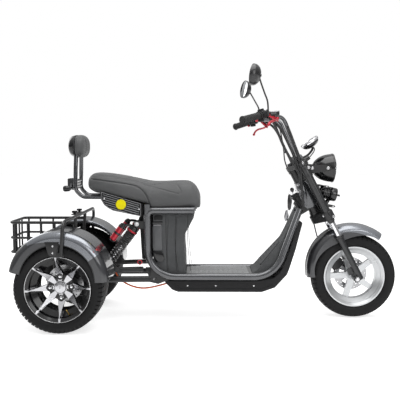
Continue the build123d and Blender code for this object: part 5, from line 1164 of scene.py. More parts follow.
# ------------------------------------------------------------------ rear suspension
@dataclass
class Suspension:
    """Swing arm, coil-over shocks with their reservoirs, and the motor cable."""

    arm_y: float = 0.108
    low: Pair = (-0.513, 0.323)
    top: Pair = (-0.361, 0.528)
    spring_radius: float = 0.0245
    wire: float = 0.0036
    turns: tuple[tuple[float, float, float], ...] = ((0.028, 0.098, 4.5), (0.098, 0.200, 10.0))
    hardware: Hardware = field(default_factory=Hardware)

    @property
    def way(self) -> Vector:
        """Direction of a shock, from its lower eye to its upper one."""
        return Vector((self.top[0] - self.low[0], 0, self.top[1] - self.low[1])).normalized()

    def at(self, side: int, along: float, aside: float = 0.0) -> Vector:
        """Point a distance up a shock's axis and aside towards the rear."""
        rearward = Vector((-self.way.z, 0, self.way.x))
        return Vector((self.low[0], side * self.arm_y, self.low[1])) + self.way * along + rearward * aside

    def build(self) -> None:
        """Build the swing arm, the shocks and the cable."""
        self.arm()
        for side, name in SIDES:
            self.shock(side, name)
        cable = Bench.bar(
            [
                (-0.506, -0.090, 0.330), (-0.495, -0.090, 0.295), (-0.482, -0.088, 0.255),
                (-0.462, -0.084, 0.222),
                (-0.420, -0.078, 0.190), (-0.365, -0.076, 0.172), (-0.320, -0.076, 0.170),
                (-0.260, -0.076, 0.182),
                (-0.205, -0.076, 0.198), (-0.165, -0.076, 0.212),
            ],
            0.0046, 4,
        )
        fit(cable, "motor_lead", Body.CHASSIS, ORANGE_SLEEVE, "cable_orange", "motor_cable")

    def arm(self) -> None:
        """Weld the two fabricated arms and their cross tubes."""
        pieces = []
        for side in (1, -1):
            y = side * self.arm_y
            pieces += [
                Bench.bar([(-0.268, y, 0.229), (-0.45, y, 0.226), (-0.70, y, 0.228)], 0.0165, 5),
                Bench.bar(
                    [(-0.330, y, 0.283), (-0.45, y, 0.283), (-0.600, y, 0.270), (-0.70, y, 0.262)], 0.0135, 5
                ),
                Bench.slab(
                    [
                        (-0.318, 0.294), (-0.300, 0.240), (-0.296, 0.214), (-0.262, 0.206), (-0.244, 0.222),
                        (-0.252, 0.252), (-0.284, 0.294),
                    ],
                    min(y, y + side * 0.012), max(y, y + side * 0.012), 0.002,
                ),
                Bench.slab(
                    [
                        (-0.770, 0.206), (-0.760, 0.192), (-0.668, 0.192), (-0.650, 0.214), (-0.652, 0.262),
                        (-0.686, 0.283), (-0.766, 0.283),
                    ],
                    y - 0.006, y + 0.006, 0.0015,
                ),
            ]
            for gap in (-0.0190, 0.0140):
                pieces.append(Bench.slab(
                    [
                        (-0.560, 0.272), (-0.532, 0.322), (-0.523, 0.336), (-0.503, 0.336), (-0.494, 0.322),
                        (-0.452, 0.276),
                    ],
                    y + gap, y + gap + 0.005, 0.0012,
                ))
        pieces.append(
            Bench.bar([(-0.264, -0.123, 0.230), (-0.264, 0, 0.230), (-0.264, 0.123, 0.230)], 0.0168, 5)
        )
        pieces.append(
            Bench.bar([(-0.549, -0.105, 0.240), (-0.549, 0, 0.240), (-0.549, 0.105, 0.240)], 0.0138, 5)
        )
        fit(Bench.joined(pieces), "swing_arm_welded", Body.CHASSIS, BLACK_STEEL, "black_steel", "swing_arm")
        screws = [
            standing((x, side * (self.arm_y + out), z), (0, side, 0))
            for (x, z), out in ((self.low, 0.019), (self.top, 0.0235)) for side in (1, -1)
        ]
        fit(
            Bench.copies(self.hardware.hex_nut(0.0085), screws), "shock_bolts", Body.CHASSIS, BRIGHT_STEEL,
            "disc_steel",
        )

    def shock(self, side: int, name: str) -> None:
        """Build one damper, its collars, spring and reservoir."""
        length = (Vector(self.top) - Vector(self.low)).length
        shaft = Bench.turned([(0, 0.008), (0.0062, 0.008), (0.0062, 0.13), (0, 0.13)], 20)
        Bench.place(shaft, standing(self.at(side, 0), self.way))
        fit(shaft, f"shock_shaft_{name}", Body.CHASSIS, CHROME, "disc_steel")
        body = Bench.turned(
            [
                (0, 0.118), (0.0150, 0.118), (0.0162, 0.120), (0.0162, 0.196), (0.0240, 0.200),
                (0.0285, 0.2035),
                (0.0285, 0.2115), (0.0245, 0.2130), (0.0245, 0.2230), (0.0215, 0.2250), (0.0215, 0.2330),
                (0.0165, 0.2360), (0.0120, length - 0.010), (0, length - 0.010),
            ],
            40,
        )
        foot = Bench.turned(
            [
                (0, 0.008), (0.0100, 0.008), (0.0130, 0.014), (0.0285, 0.0210), (0.0290, 0.0225),
                (0.0290, 0.0268), (0.0110, 0.0290), (0, 0.0290),
            ],
            40
        )
        eyes = []
        for along in (0.0, length):
            eye = Bench.turned(
                [
                    (0.0062, -0.013), (0.0112, -0.013), (0.0120, -0.012), (0.0120, 0.012), (0.0112, 0.013),
                    (0.0062, 0.013),
                ],
                28, closed=True,
            )
            eyes.append(Bench.place(eye, standing(self.at(side, along), (0, 1, 0))))
        for part in (body, foot):
            Bench.place(part, standing(self.at(side, 0), self.way))
        damper = Bench.joined([body, foot, *eyes])
        fit(
            damper, f"damper_{name}", Body.CHASSIS, GLOSS_PLASTIC, "shock_parts",
            *once(side, "shock_absorbers"),
        )
        collar = Bench.turned(
            [
                (0.0245, 0.2032), (0.0300, 0.2036), (0.0308, 0.2046), (0.0308, 0.2064), (0.0290, 0.2072),
                (0.0290, 0.2084),
                (0.0308, 0.2092), (0.0308, 0.2110), (0.0300, 0.2120), (0.0245, 0.2124),
            ],
            40, closed=True,
        )
        Bench.place(collar, standing(self.at(side, 0), self.way))
        fit(collar, f"spring_collar_{name}", Body.CHASSIS, RED_METAL, "red_anodised")
        points = []
        for low, high, turns in self.turns:
            steps = round(turns * 12)
            for step in range(steps if high < 0.19 else steps + 1):
                share = step / steps
                turn = 2 * math.pi * turns * share + (math.pi if low > 0.05 else 0.0)
                here = standing(self.at(side, low + (high - low) * share), self.way) @ Vector(
                    (self.spring_radius * math.cos(turn), self.spring_radius * math.sin(turn), 0)
                )
                points.append(tuple(here))
        coil = Bench.bar(points, self.wire, 2, 3)
        fit(coil, f"spring_{name}", Body.CHASSIS, SPRING_BLACK, "black_steel", *once(side, "shock_springs"))
        self.reservoir(side, name)

    def reservoir(self, side: int, name: str) -> None:
        """Build the piggyback reservoir behind the damper."""
        base = standing(self.at(side, 0.100, 0.057), self.way)
        can = Bench.turned(
            [
                (0, 0.008), (0.0160, 0.008), (0.0176, 0.0095), (0.0176, 0.020), (0.0166, 0.021),
                (0.0166, 0.023),
                (0.0176, 0.024), (0.0176, 0.078), (0.0166, 0.079), (0.0166, 0.081), (0.0176, 0.082),
                (0.0176, 0.0885), (0, 0.0885),
            ],
            40,
        )
        fit(Bench.place(can, base), f"reservoir_{name}", Body.CHASSIS, RED_METAL, "red_anodised")
        cap = Bench.turned(
            [
                (0, 0.0870), (0.0182, 0.0870), (0.0182, 0.0960), (0.0150, 0.1010), (0.0150, 0.1080),
                (0.0080, 0.1095),
                (0.0080, 0.1130), (0, 0.1130),
            ],
            36,
        )
        end = Bench.turned(
            [(0, -0.002), (0.0100, -0.002), (0.0150, 0.003), (0.0168, 0.0085), (0, 0.0085)], 36
        )
        for part in (cap, end):
            Bench.place(part, base)
        bridge = Bench.bar(
            [
                self.at(side, 0.204, 0.052), self.at(side, 0.222, 0.040), self.at(side, 0.229, 0.018),
                self.at(side, 0.229, 0.0),
            ],
            0.0075, 4,
        )
        clasp = Bench.turned(
            [(0.0176, 0.045), (0.0200, 0.0455), (0.0200, 0.0565), (0.0176, 0.057)], 36, closed=True
        )
        Bench.place(clasp, base)
        fit(
            Bench.joined([cap, end, bridge, clasp]), f"reservoir_caps_{name}", Body.CHASSIS, GLOSS_PLASTIC,
            "shock_parts",
        )


# ------------------------------------------------------------------ handlebar controls
@dataclass
class Controls:
    """Brake perches and levers, mirrors, dial and switches."""

    hardware: Hardware = field(default_factory=Hardware)
    bar_out: Point = (0.1856, 0.340, 1.0630)
    bar_in: Point = (0.2916, 0.236, 1.0956)
    mirror_head: Point = (0.232, 0.322, 1.283)
    levers: tuple[tuple[Point, ...], ...] = (
        (
            (0.356, 0.205, 1.060), (0.350, 0.222, 1.052), (0.338, 0.248, 1.048), (0.322, 0.272, 1.046),
            (0.306, 0.292, 1.040),
            (0.296, 0.306, 1.028), (0.292, 0.314, 1.014),
        ),
        (
            (0.366, -0.204, 1.075), (0.362, -0.222, 1.072), (0.352, -0.246, 1.068), (0.338, -0.266, 1.062),
            (0.325, -0.284, 1.056),
            (0.316, -0.298, 1.050), (0.313, -0.308, 1.042),
        ),
    )

    def build(self) -> None:
        """Build everything that the rider's hands and eyes use."""
        self.perches()
        self.mirrors()
        self.dial()
        self.switches()

    def along_bar(self, side: int, share: float) -> Vector:
        """Point on the bar's straight end, as a share of it from its tip."""
        place = Vector(self.bar_out).lerp(Vector(self.bar_in), share)
        return Vector((place.x, place.y * side, place.z))

    def bar_way(self, side: int) -> Vector:
        """Direction along the bar's straight end, inwards."""
        return (self.along_bar(side, 1) - self.along_bar(side, 0)).normalized()

    def perches(self) -> None:
        """Clamp a perch with its reservoir and curved lever to each end of the bar."""
        red, dark, caps = [], [], []
        for side in (1, -1):
            clamp = self.along_bar(side, 1.14)
            ring = Bench.turned(
                [
                    (0.0114, -0.010), (0.0170, -0.010), (0.0182, -0.008), (0.0182, 0.008), (0.0170, 0.010),
                    (0.0114, 0.010),
                ],
                32, closed=True,
            )
            dark.append(Bench.place(ring, standing(clamp, self.bar_way(side))))
            pivot, *blade, tip = self.levers[0 if side > 0 else 1]
            grip = 0.0056 if side > 0 else 0.0076
            red.append(
                Bench.bar(
                    [clamp + Vector((0.014, 0, -0.004)), clamp.lerp(Vector(pivot), 0.6), pivot, pivot],
                    0.0088, 4,
                )
            )
            hinge = Bench.turned(
                [
                    (0, -0.011), (0.0088, -0.011), (0.0095, -0.009), (0.0095, 0.009), (0.0088, 0.011),
                    (0, 0.011),
                ],
                24,
            )
            red.append(Bench.place(hinge, standing(pivot, (0.25, 0, 1))))
            red.append(Bench.bar([pivot, *blade, tip], grip, 4))
            ball = Bench.turned(
                [
                    (0, -0.0075), (0.0040, -0.0064), (0.0068, -0.0030), (0.0075, 0), (0.0068, 0.0030),
                    (0.0040, 0.0064), (0, 0.0075),
                ],
                24,
            )
            red.append(Bench.place(ball, standing(tip, (0, 1, 0))))
            tank = Bench.block((0.050, 0.032, 0.020), 0.004, 1.06)
            turn = math.atan2(self.bar_way(side).y, self.bar_way(side).x) * 0.35
            lean = Matrix.Rotation(turn, 4, "Z") @ Matrix.Rotation(math.radians(-4), 4, "Y")
            seat_at = Matrix.Translation((0.350, side * 0.206, 1.0905)) @ lean
            dark.append(Bench.place(tank, seat_at))
            neck = Bench.bar(
                [clamp, clamp.lerp(Vector((0.350, side * 0.206, 1.094)), 0.5), (0.350, side * 0.206, 1.094)],
                0.0085, 4,
            )
            dark.append(neck)
            lid = Bench.block((0.054, 0.035, 0.0048), 0.0015, 0.97)
            caps.append(Bench.place(lid, seat_at @ Matrix.Translation((0, 0, 0.0200))))
            for ahead in (0.018, -0.018):
                screw = self.hardware.dome_screw(0.0032)
                caps.append(Bench.place(screw, seat_at @ Matrix.Translation((ahead, 0, 0.0246))))
        fit(
            Bench.joined(red), "brake_levers_curved", Body.STEERING, RED_METAL, "red_anodised", "brake_levers"
        )
        fit(Bench.joined(dark), "brake_perches", Body.STEERING, GLOSS_PLASTIC, "black_plastic")
        fit(Bench.joined(caps), "reservoir_lids", Body.STEERING, LID_METAL, "disc_steel")

    def mirrors(self) -> None:
        """Build the round mirrors on bent stems."""
        stems, shells, glasses = [], [], []
        for side in (1, -1):
            head = Vector(self.mirror_head)
            head.y *= side
            back = Vector((math.cos(math.radians(19)), side * math.sin(math.radians(19)), -0.17)).normalized()
            stems.append(Bench.bar(
                [
                    (0.318, side * 0.238, 1.094), (0.317, side * 0.239, 1.125),
                    (0.3155, side * 0.240, 1.152), (0.311, side * 0.243, 1.172),
                    (0.300, side * 0.255, 1.192), (0.286, side * 0.276, 1.222), (0.272, side * 0.300, 1.252),
                    head + back * 0.030, head + back * 0.024,
                ],
                0.0042, 4,
            ))
            foot = Bench.turned(
                [
                    (0, -0.018), (0.0085, -0.018), (0.0085, -0.004), (0.0070, 0.000), (0.0070, 0.012),
                    (0.0052, 0.016), (0, 0.016),
                ],
                24,
            )
            stems.append(Bench.place(foot, standing((0.315, side * 0.239, 1.106), (-0.05, 0, 1))))
            cup = Bench.turned(
                [(0, 0.030), (0.0085, 0.030), (0.0085, 0.038), (0.0065, 0.043), (0, 0.044)], 24
            )
            stems.append(Bench.place(cup, standing(head, back)))
            shell = Bench.turned(
                [
                    (0.0505, -0.0008), (0.0510, -0.0030), (0.0518, -0.0034), (0.0525, -0.0024),
                    (0.0525, 0.0040), (0.0512, 0.0115),
                    (0.0470, 0.0200), (0.0395, 0.0280), (0.0290, 0.0340), (0.0150, 0.0375), (0, 0.0385),
                ],
                56, angle=50,
            )
            shells.append(Bench.place(shell, standing(head, back)))
            glass = Bench.turned(
                [(0, -0.0016), (0.0500, -0.0014), (0.0508, -0.0010), (0.0508, 0.0008), (0, 0.0008)], 56
            )
            glasses.append(Bench.place(glass, standing(head, back)))
        fit(Bench.joined(stems), "mirror_stems", Body.STEERING, BLACK_STEEL, "black_steel")
        fit(Bench.joined(shells), "mirror_shells", Body.STEERING, SHELL_BLACK, "mirror_shell", "mirrors")
        fit(Bench.joined(glasses), "mirror_glasses", Body.STEERING, MIRROR_GLASS, "lamp_glass")

    def dial(self) -> None:
        """Build the round speedometer on its looped bracket."""
        tilt = math.radians(35)
        centre = Vector((0.573, 0, 0.957))
        up = Vector((-math.sin(tilt), 0, math.cos(tilt)))
        place = standing(centre, up)
        bowl = Bench.turned(
            [
                (0, -0.024), (0.020, -0.0235), (0.034, -0.019), (0.045, -0.010), (0.0495, 0.000),
                (0.0495, 0.004), (0, 0.004),
            ],
            56, angle=50
        )
        Bench.place(bowl, place)
        loop = Bench.bar(
            [
                centre - up * 0.016, centre - up * 0.034, (0.572, 0, 0.905), (0.560, 0, 0.888),
                steered(0.070, 0, 0.706),
            ],
            0.0062, 4,
        )
        second = Bench.both(
            lambda side: Bench.bar(
                [(0.504, side * 0.052, 0.846), (0.530, side * 0.052, 0.862), (0.560, side * 0.052, 0.881)],
                0.0115, 4,
            )
        )
        lead = Bench.bar(
            [
                centre - up * 0.022, centre - up * 0.05 + Vector((0.022, 0.010, 0)),
                steered(0.100, 0.012, 0.700), steered(0.070, 0.010, 0.660),
            ],
            0.0028, 3,
        )
        fit(
            Bench.joined([bowl, loop, second, lead]), "speedometer_bowl", Body.STEERING, GLOSS_PLASTIC,
            "lamp_plastic", "speedometer",
        )
        bezel = Bench.turned(
            [
                (0.0480, 0.001), (0.0512, 0.001), (0.0528, 0.003), (0.0532, 0.008), (0.0524, 0.0125),
                (0.0502, 0.0150),
                (0.0470, 0.0150), (0.0452, 0.0120), (0.0452, 0.0060),
            ],
            64, closed=True, angle=60,
        )
        fit(Bench.place(bezel, place), "speedometer_bezel", Body.STEERING, CHROME, "disc_steel")
        face = Bench.turned([(0, 0.0035), (0.0462, 0.0035), (0.0462, 0.0072), (0, 0.0072)], 48)
        fit(Bench.place(face, place), "speedometer_face", Body.STEERING, DIAL_WHITE, "lamp_plastic")
        ticks = []
        for step in range(25):
            long = step % 4 == 0
            mark = Bench.block((0.0070 if long else 0.0042, 0.0011 if long else 0.0007, 0.0006), 0.0001)
            angle = math.radians(-135 + step * 270 / 24)
            reach = 0.0390 if long else 0.0405
            ticks.append(
                Bench.place(
                    mark, place @ Matrix.Rotation(angle, 4, "Z") @ Matrix.Translation((reach, 0, 0.0070))
                )
            )
        needle = Bench.slab(
            [(-0.010, -0.0012), (0.034, -0.0004), (0.034, 0.0004), (-0.010, 0.0012)], 0.0, 0.0008, 0.0
        )
        pointing = Matrix.Rotation(math.radians(215), 4, "Z") @ Matrix.Rotation(math.radians(90), 4, "X")
        ticks.append(Bench.place(needle, place @ Matrix.Translation((0, 0, 0.0092)) @ pointing))
        hub = Bench.turned(
            [(0, 0.0068), (0.0050, 0.0068), (0.0050, 0.0100), (0.0035, 0.0108), (0, 0.0108)], 24
        )
        ticks.append(Bench.place(hub, place))
        fit(Bench.joined(ticks), "speedometer_marks", Body.STEERING, BLACK_PLASTIC, "black_plastic")
        cover = Bench.turned(
            [(0, 0.0150), (0.030, 0.0146), (0.0455, 0.0132), (0.0455, 0.0122), (0.030, 0.0136), (0, 0.0140)],
            48,
        )
        fit(Bench.place(cover, place), "speedometer_cover", Body.STEERING, LENS, "lamp_glass")

    def switches(self) -> None:
        """Put the buttons and levers on the switch housings."""
        pieces = []
        for side in (1, -1):
            way = self.bar_way(side)
            at = self.along_bar(side, 0.86)
            for drop, size in ((Vector((-0.016, 0, -0.014)), 0.0062), (Vector((-0.022, 0, 0.004)), 0.0050)):
                button = Bench.turned(
                    [(0, -0.006), (size, -0.006), (size, 0.003), (size * 0.8, 0.0048), (0, 0.0048)], 20
                )
                pieces.append(Bench.place(button, standing(at + drop, drop)))
            plate = Bench.block((0.030, 0.020, 0.012), 0.003, 0.9)
            pieces.append(
                Bench.place(
                    plate, standing(at + Vector((0.004, 0, -0.020)), (0.1, 0, -1), math.atan2(way.y, way.x))
                )
            )
        fit(Bench.joined(pieces), "switch_buttons", Body.STEERING, BLACK_PLASTIC, "black_plastic")
        red = []
        for side in (1, -1):
            button = Bench.turned(
                [(0, -0.002), (0.0075, -0.002), (0.0075, 0.004), (0.0060, 0.0058), (0, 0.0060)], 24
            )
            red.append(
                Bench.place(
                    button,
                    standing(
                        self.along_bar(side, 0.80) + Vector((-0.012, side * 0.010, -0.024)),
                        (-0.35, side * 0.9, -0.35),
                    ),
                )
            )
        fit(Bench.joined(red), "switch_red_buttons", Body.STEERING, RED_METAL, "red_anodised")


# ------------------------------------------------------------------ front end
@dataclass
class FrontEnd:
    """Headlamp, spot lamps with the horn, neck cover, hoses and key switch."""

    lamp_z: float = 0.822
    spot_at: Point = (0.628, 0.0385, 0.694)
    spot_tilt: float = 12.0
    hardware: Hardware = field(default_factory=Hardware)

    def build(self) -> None:
        """Build everything round the steering head."""
        self.headlamp()
        self.spot_lamps()
        self.neck()
        self.hoses()
        self.key_switch()

    def headlamp(self) -> None:
        """Turn the headlamp's bowl, reflector, trim and lens about its own axis."""
        place = standing((0, 0, self.lamp_z), (1, 0, 0))
        bowl = Bench.turned(
            [
                (0, 0.586), (0.014, 0.586), (0.022, 0.5885), (0.032, 0.5935), (0.042, 0.601), (0.052, 0.612),
                (0.060, 0.624),
                (0.067, 0.639), (0.072, 0.655), (0.0750, 0.671), (0.0766, 0.684), (0.0770, 0.692),
                (0.0735, 0.692),
                (0.0735, 0.686), (0.062, 0.668), (0.040, 0.652), (0, 0.648),
            ],
            72, angle=50,
        )
        fit(
            Bench.place(bowl, place), "headlamp_bowl", Body.STEERING, GLOSS_PLASTIC, "lamp_plastic",
            "headlamp",
        )
        dish = Bench.turned(
            [
                (0, 0.6535), (0.040, 0.6575), (0.0615, 0.6725), (0.0730, 0.6905), (0.0732, 0.6890),
                (0.0620, 0.6700),
                (0.040, 0.6550), (0, 0.6510),
            ],
            64, angle=50,
        )
        bulb = Bench.turned(
            [(0, 0.650), (0.012, 0.652), (0.012, 0.668), (0.016, 0.670), (0.016, 0.676), (0, 0.682)], 32
        )
        fit(
            Bench.place(Bench.joined([dish, bulb]), place), "headlamp_reflector", Body.STEERING, CHROME,
            "disc_steel",
        )
        trim = Bench.turned(
            [
                (0.0715, 0.6890), (0.0782, 0.6890), (0.0790, 0.6915), (0.0788, 0.6955), (0.0770, 0.6985),
                (0.0735, 0.6990),
                (0.0715, 0.6965),
            ],
            72, closed=True, angle=50,
        )
        fit(Bench.place(trim, place), "headlamp_trim", Body.STEERING, SHELL_BLACK, "lamp_plastic")
        lens = Bench.turned(
            [
                (0, 0.7125), (0.020, 0.7120), (0.038, 0.7105), (0.054, 0.7070), (0.066, 0.7020),
                (0.0722, 0.6970), (0.0722, 0.6930),
                (0.064, 0.6960), (0.050, 0.7020), (0.032, 0.7065), (0, 0.7090),
            ],
            64, angle=50,
        )
        fit(Bench.place(lens, place), "headlamp_glass", Body.STEERING, LENS, "lamp_glass", "headlamp_lens")
        arm = [
            (0.543, 0.842), (0.590, 0.842), (0.614, 0.836), (0.668, 0.832), (0.671, 0.818), (0.632, 0.805),
            (0.570, 0.803), (0.551, 0.812),
        ]
        arms = [Bench.slab(arm, *span(side, 0.0795, 0.0835), 0.0015) for side in (1, -1)]
        fit(Bench.joined(arms), "headlamp_arms", Body.STEERING, SHELL_BLACK, "black_steel")
        screws = [
            standing((x, side * 0.0835, 0.824), (0, side, 0)) for x in (0.655, 0.571) for side in (1, -1)
        ]
        fit(
            Bench.copies(self.hardware.cap_screw(0.0072), screws), "headlamp_pivots", Body.STEERING,
            BRIGHT_STEEL, "disc_steel",
        )

    def spot_lamps(self) -> None:
        """Build the two finned spot lamps on their bracket, with the horn under them."""
        tilt = math.radians(self.spot_tilt)
        way = Vector((math.cos(tilt), 0, -math.sin(tilt)))
        fins = []
        for step in range(4):
            low = 0.011 + 0.0088 * step
            fins += [(0.0255, low), (0.0325, low + 0.0008), (0.0325, low + 0.0044), (0.0255, low + 0.0052)]
        rings = [
            (0, -0.014), (0.012, -0.014), (0.017, -0.008), (0.020, 0.002), *fins, (0.0300, 0.0470),
            (0.0345, 0.0500),
            (0.0365, 0.0550), (0.0370, 0.0600), (0.0370, 0.0760), (0.0355, 0.0800), (0.0318, 0.0800),
            (0.0300, 0.0700), (0, 0.0640),
        ]
        bodies, lenses = [], []
        for side in (1, -1):
            x, y, z = self.spot_at
            place = standing((x, side * y, z), way)
            bodies.append(Bench.place(Bench.turned(rings, 44), place))
            lens = Bench.turned(
                [(0, 0.0815), (0.020, 0.0808), (0.0312, 0.0785), (0.0312, 0.0765), (0, 0.0765)], 44, angle=50
            )
            lenses.append(Bench.place(lens, place))
            ring = Bench.turned(
                [(0.0312, 0.0775), (0.0350, 0.0775), (0.0350, 0.0822), (0.0335, 0.0832), (0.0312, 0.0822)],
                44, closed=True,
            )
            bodies.append(Bench.place(ring, place))
        horn = Bench.turned(
            [
                (0, 0), (0.020, 0), (0.030, 0.004), (0.036, 0.010), (0.036, 0.016), (0.033, 0.018),
                (0.033, 0.021), (0.028, 0.022),
                (0.024, 0.019), (0.020, 0.022), (0.016, 0.019), (0.012, 0.022), (0, 0.022),
            ],
            40,
        )
        bodies.append(Bench.place(horn, standing((0.652, -0.012, 0.636), (0.85, -0.2, -0.5))))
        bodies.append(Bench.slab(
            [
                (0.606, 0.715), (0.616, 0.731), (0.662, 0.731), (0.668, 0.722), (0.626, 0.712),
                (0.624, 0.664), (0.652, 0.632),
                (0.696, 0.624), (0.704, 0.616), (0.694, 0.610), (0.642, 0.616), (0.606, 0.654),
            ],
            -0.062, -0.057, 0.001,
        ))
        bodies.append(
            Bench.slab(
                [(0.606, 0.700), (0.616, 0.731), (0.640, 0.731), (0.640, 0.724), (0.622, 0.700)], -0.062,
                0.062, 0.001,
            )
        )
        bodies.append(
            Bench.slab([(0.590, 0.716), (0.590, 0.684), (0.626, 0.684), (0.626, 0.716)], -0.030, 0.030, 0.003)
        )
        bodies.append(
            Bench.bar([(0.704, -0.076, 0.680), (0.714, -0.076, 0.678), (0.721, -0.076, 0.676)], 0.0055, 3)
        )
        fit(
            Bench.joined(bodies), "spot_lamp_bodies", Body.STEERING, GLOSS_PLASTIC, "lamp_plastic",
            "horn_lamps",
        )
        fit(Bench.joined(lenses), "spot_lamp_lenses", Body.STEERING, LENS, "lamp_glass")
        screws = [
            standing(at, (0, -1, 0))
            for at in (
                (0.616, -0.062, 0.722), (0.655, -0.062, 0.726), (0.690, -0.062, 0.617), (0.615, -0.062, 0.664)
            )
        ]
        fit(
            Bench.copies(self.hardware.cap_screw(0.0036), screws), "spot_lamp_screws", Body.STEERING,
            BRIGHT_STEEL, "disc_steel",
        )

    def neck(self) -> None:
        """Wrap the folded cover round the steering head and set its bolts."""
        def outline(pairs: Sequence[Pair]) -> list[Pair]:
            """Turn places across and along the steering axis into X and Z."""
            return [(steered(u, 0, w).x, steered(u, 0, w).z) for u, w in pairs]

        wide = Bench.slab(
            outline([
                (-0.028, 0.602), (-0.036, 0.570), (-0.040, 0.535), (-0.044, 0.470), (-0.034, 0.448),
                (0.006, 0.440), (0.033, 0.456),
                (0.033, 0.575), (0.018, 0.606),
            ]),
            -0.037, 0.037, 0.005,
        )
        rib = Bench.slab(
            outline(
                [
                    (-0.024, 0.592), (-0.034, 0.535), (-0.037, 0.480), (-0.029, 0.462), (0.000, 0.520),
                    (0.016, 0.590),
                ]
            ),
            -0.0435, 0.0435, 0.0060,
        )
        fit(
            Bench.joined([wide, rib]), "neck_cover_folded", Body.CHASSIS, FRAME_PAINT, "frame_paint",
            "neck_cover",
        )
        collars = []
        for side in (1, -1):
            for low, high, reach in ((0.356, 0.397, 0.0275), (0.676, 0.700, 0.0270)):
                ring = Bench.turned(
                    [
                        (0.0200, low), (reach - 0.001, low), (reach, low + 0.002), (reach, high - 0.002),
                        (reach - 0.001, high), (0.0200, high),
                    ],
                    40, closed=True,
                )
                collars.append(Bench.place(ring, standing(steered(0.045, side * 0.090, 0), STEER_AXIS)))
            boot = Bench.turned(
                [
                    (0.0148, 0.2405), (0.0225, 0.2405), (0.0235, 0.2430), (0.0235, 0.2510), (0.0205, 0.2540),
                    (0.0148, 0.2550),
                ],
                36, closed=True,
            )
            collars.append(Bench.place(boot, standing(steered(0.045, side * 0.090, 0), STEER_AXIS)))
        fit(Bench.joined(collars), "fork_collars", Body.STEERING, GLOSS_PLASTIC, "black_steel")
        yoke, neck = [], []
        for side in (1, -1):
            for forward, up, reach in (
                (0.060, 0.362, 0.112), (0.022, 0.386, 0.100), (0.045, 0.690, 0.1165), (0.062, 0.655, 0.111)
            ):
                yoke.append(standing(steered(forward, side * reach, up), (0, side, 0)))
            for forward, up in ((-0.030, 0.555), (-0.020, 0.590)):
                neck.append(standing(steered(forward, side * 0.0435, up), (0, side, 0)))
        for name, body, places in (("yoke_bolts", Body.STEERING, yoke), ("neck_bolts", Body.CHASSIS, neck)):
            fit(Bench.copies(self.hardware.cap_screw(0.0058), places), name, body, BRIGHT_STEEL, "disc_steel")

    def hoses(self) -> None:
        """Run the wrapped control hoses from the bar down to the neck."""
        routes = (
            [
                (0.316, -0.215, 1.083), (0.340, -0.190, 1.072), (0.358, -0.165, 1.052),
                (0.376, -0.145, 1.018), (0.394, -0.130, 0.976),
                (0.412, -0.122, 0.938), (0.432, -0.117, 0.904), (0.454, -0.111, 0.868),
                (0.478, -0.104, 0.830), (0.499, -0.099, 0.800),
                (0.508, -0.092, 0.760), (0.514, -0.088, 0.715),
            ],
            [
                (0.340, -0.185, 1.078), (0.362, -0.150, 1.060), (0.396, -0.128, 1.034),
                (0.422, -0.120, 0.984), (0.444, -0.115, 0.940),
                (0.464, -0.110, 0.900), (0.486, -0.102, 0.852), (0.500, -0.096, 0.812),
            ],
            [
                (0.432, -0.112, 1.044), (0.448, -0.112, 1.008), (0.463, -0.112, 0.968),
                (0.480, -0.110, 0.918), (0.496, -0.106, 0.874),
                (0.506, -0.100, 0.826), (0.510, -0.096, 0.790), (0.513, -0.094, 0.750),
                (0.518, -0.090, 0.700), (0.523, -0.084, 0.655),
                (0.528, -0.078, 0.618),
            ],
            [
                (0.345, 0.200, 1.084), (0.375, 0.165, 1.070), (0.405, 0.138, 1.036), (0.436, 0.120, 0.964),
                (0.466, 0.112, 0.898),
                (0.496, 0.104, 0.836), (0.511, 0.097, 0.780), (0.518, 0.090, 0.720), (0.526, 0.084, 0.640),
            ],
        )
        hoses = [
            Bench.bar(route, radius, 4, 5) for route, radius in zip(routes, (0.0068, 0.0074, 0.0070, 0.0068))
        ]
        fit(
            Bench.joined(hoses), "control_hoses", Body.STEERING, CABLE_BLACK, "cable_black", "control_harness"
        )
        clips = [standing(at, way) for at, way in (
            ((0.496, -0.092, 0.812), (0.3, 0, -1)), ((0.425, -0.113, 0.910), (0.55, 0.2, -1)),
            ((0.519, -0.084, 0.675), (0.1, 0, -1)),
            ((0.500, 0.103, 0.822), (0.3, 0, -1)),
        )]
        clip = Bench.turned(
            [
                (0.0060, -0.004), (0.0094, -0.004), (0.0098, -0.003), (0.0098, 0.003), (0.0094, 0.004),
                (0.0060, 0.004),
            ],
            24, closed=True,
        )
        fit(Bench.copies(clip, clips), "hose_clips", Body.STEERING, GLOSS_PLASTIC, "cable_black")

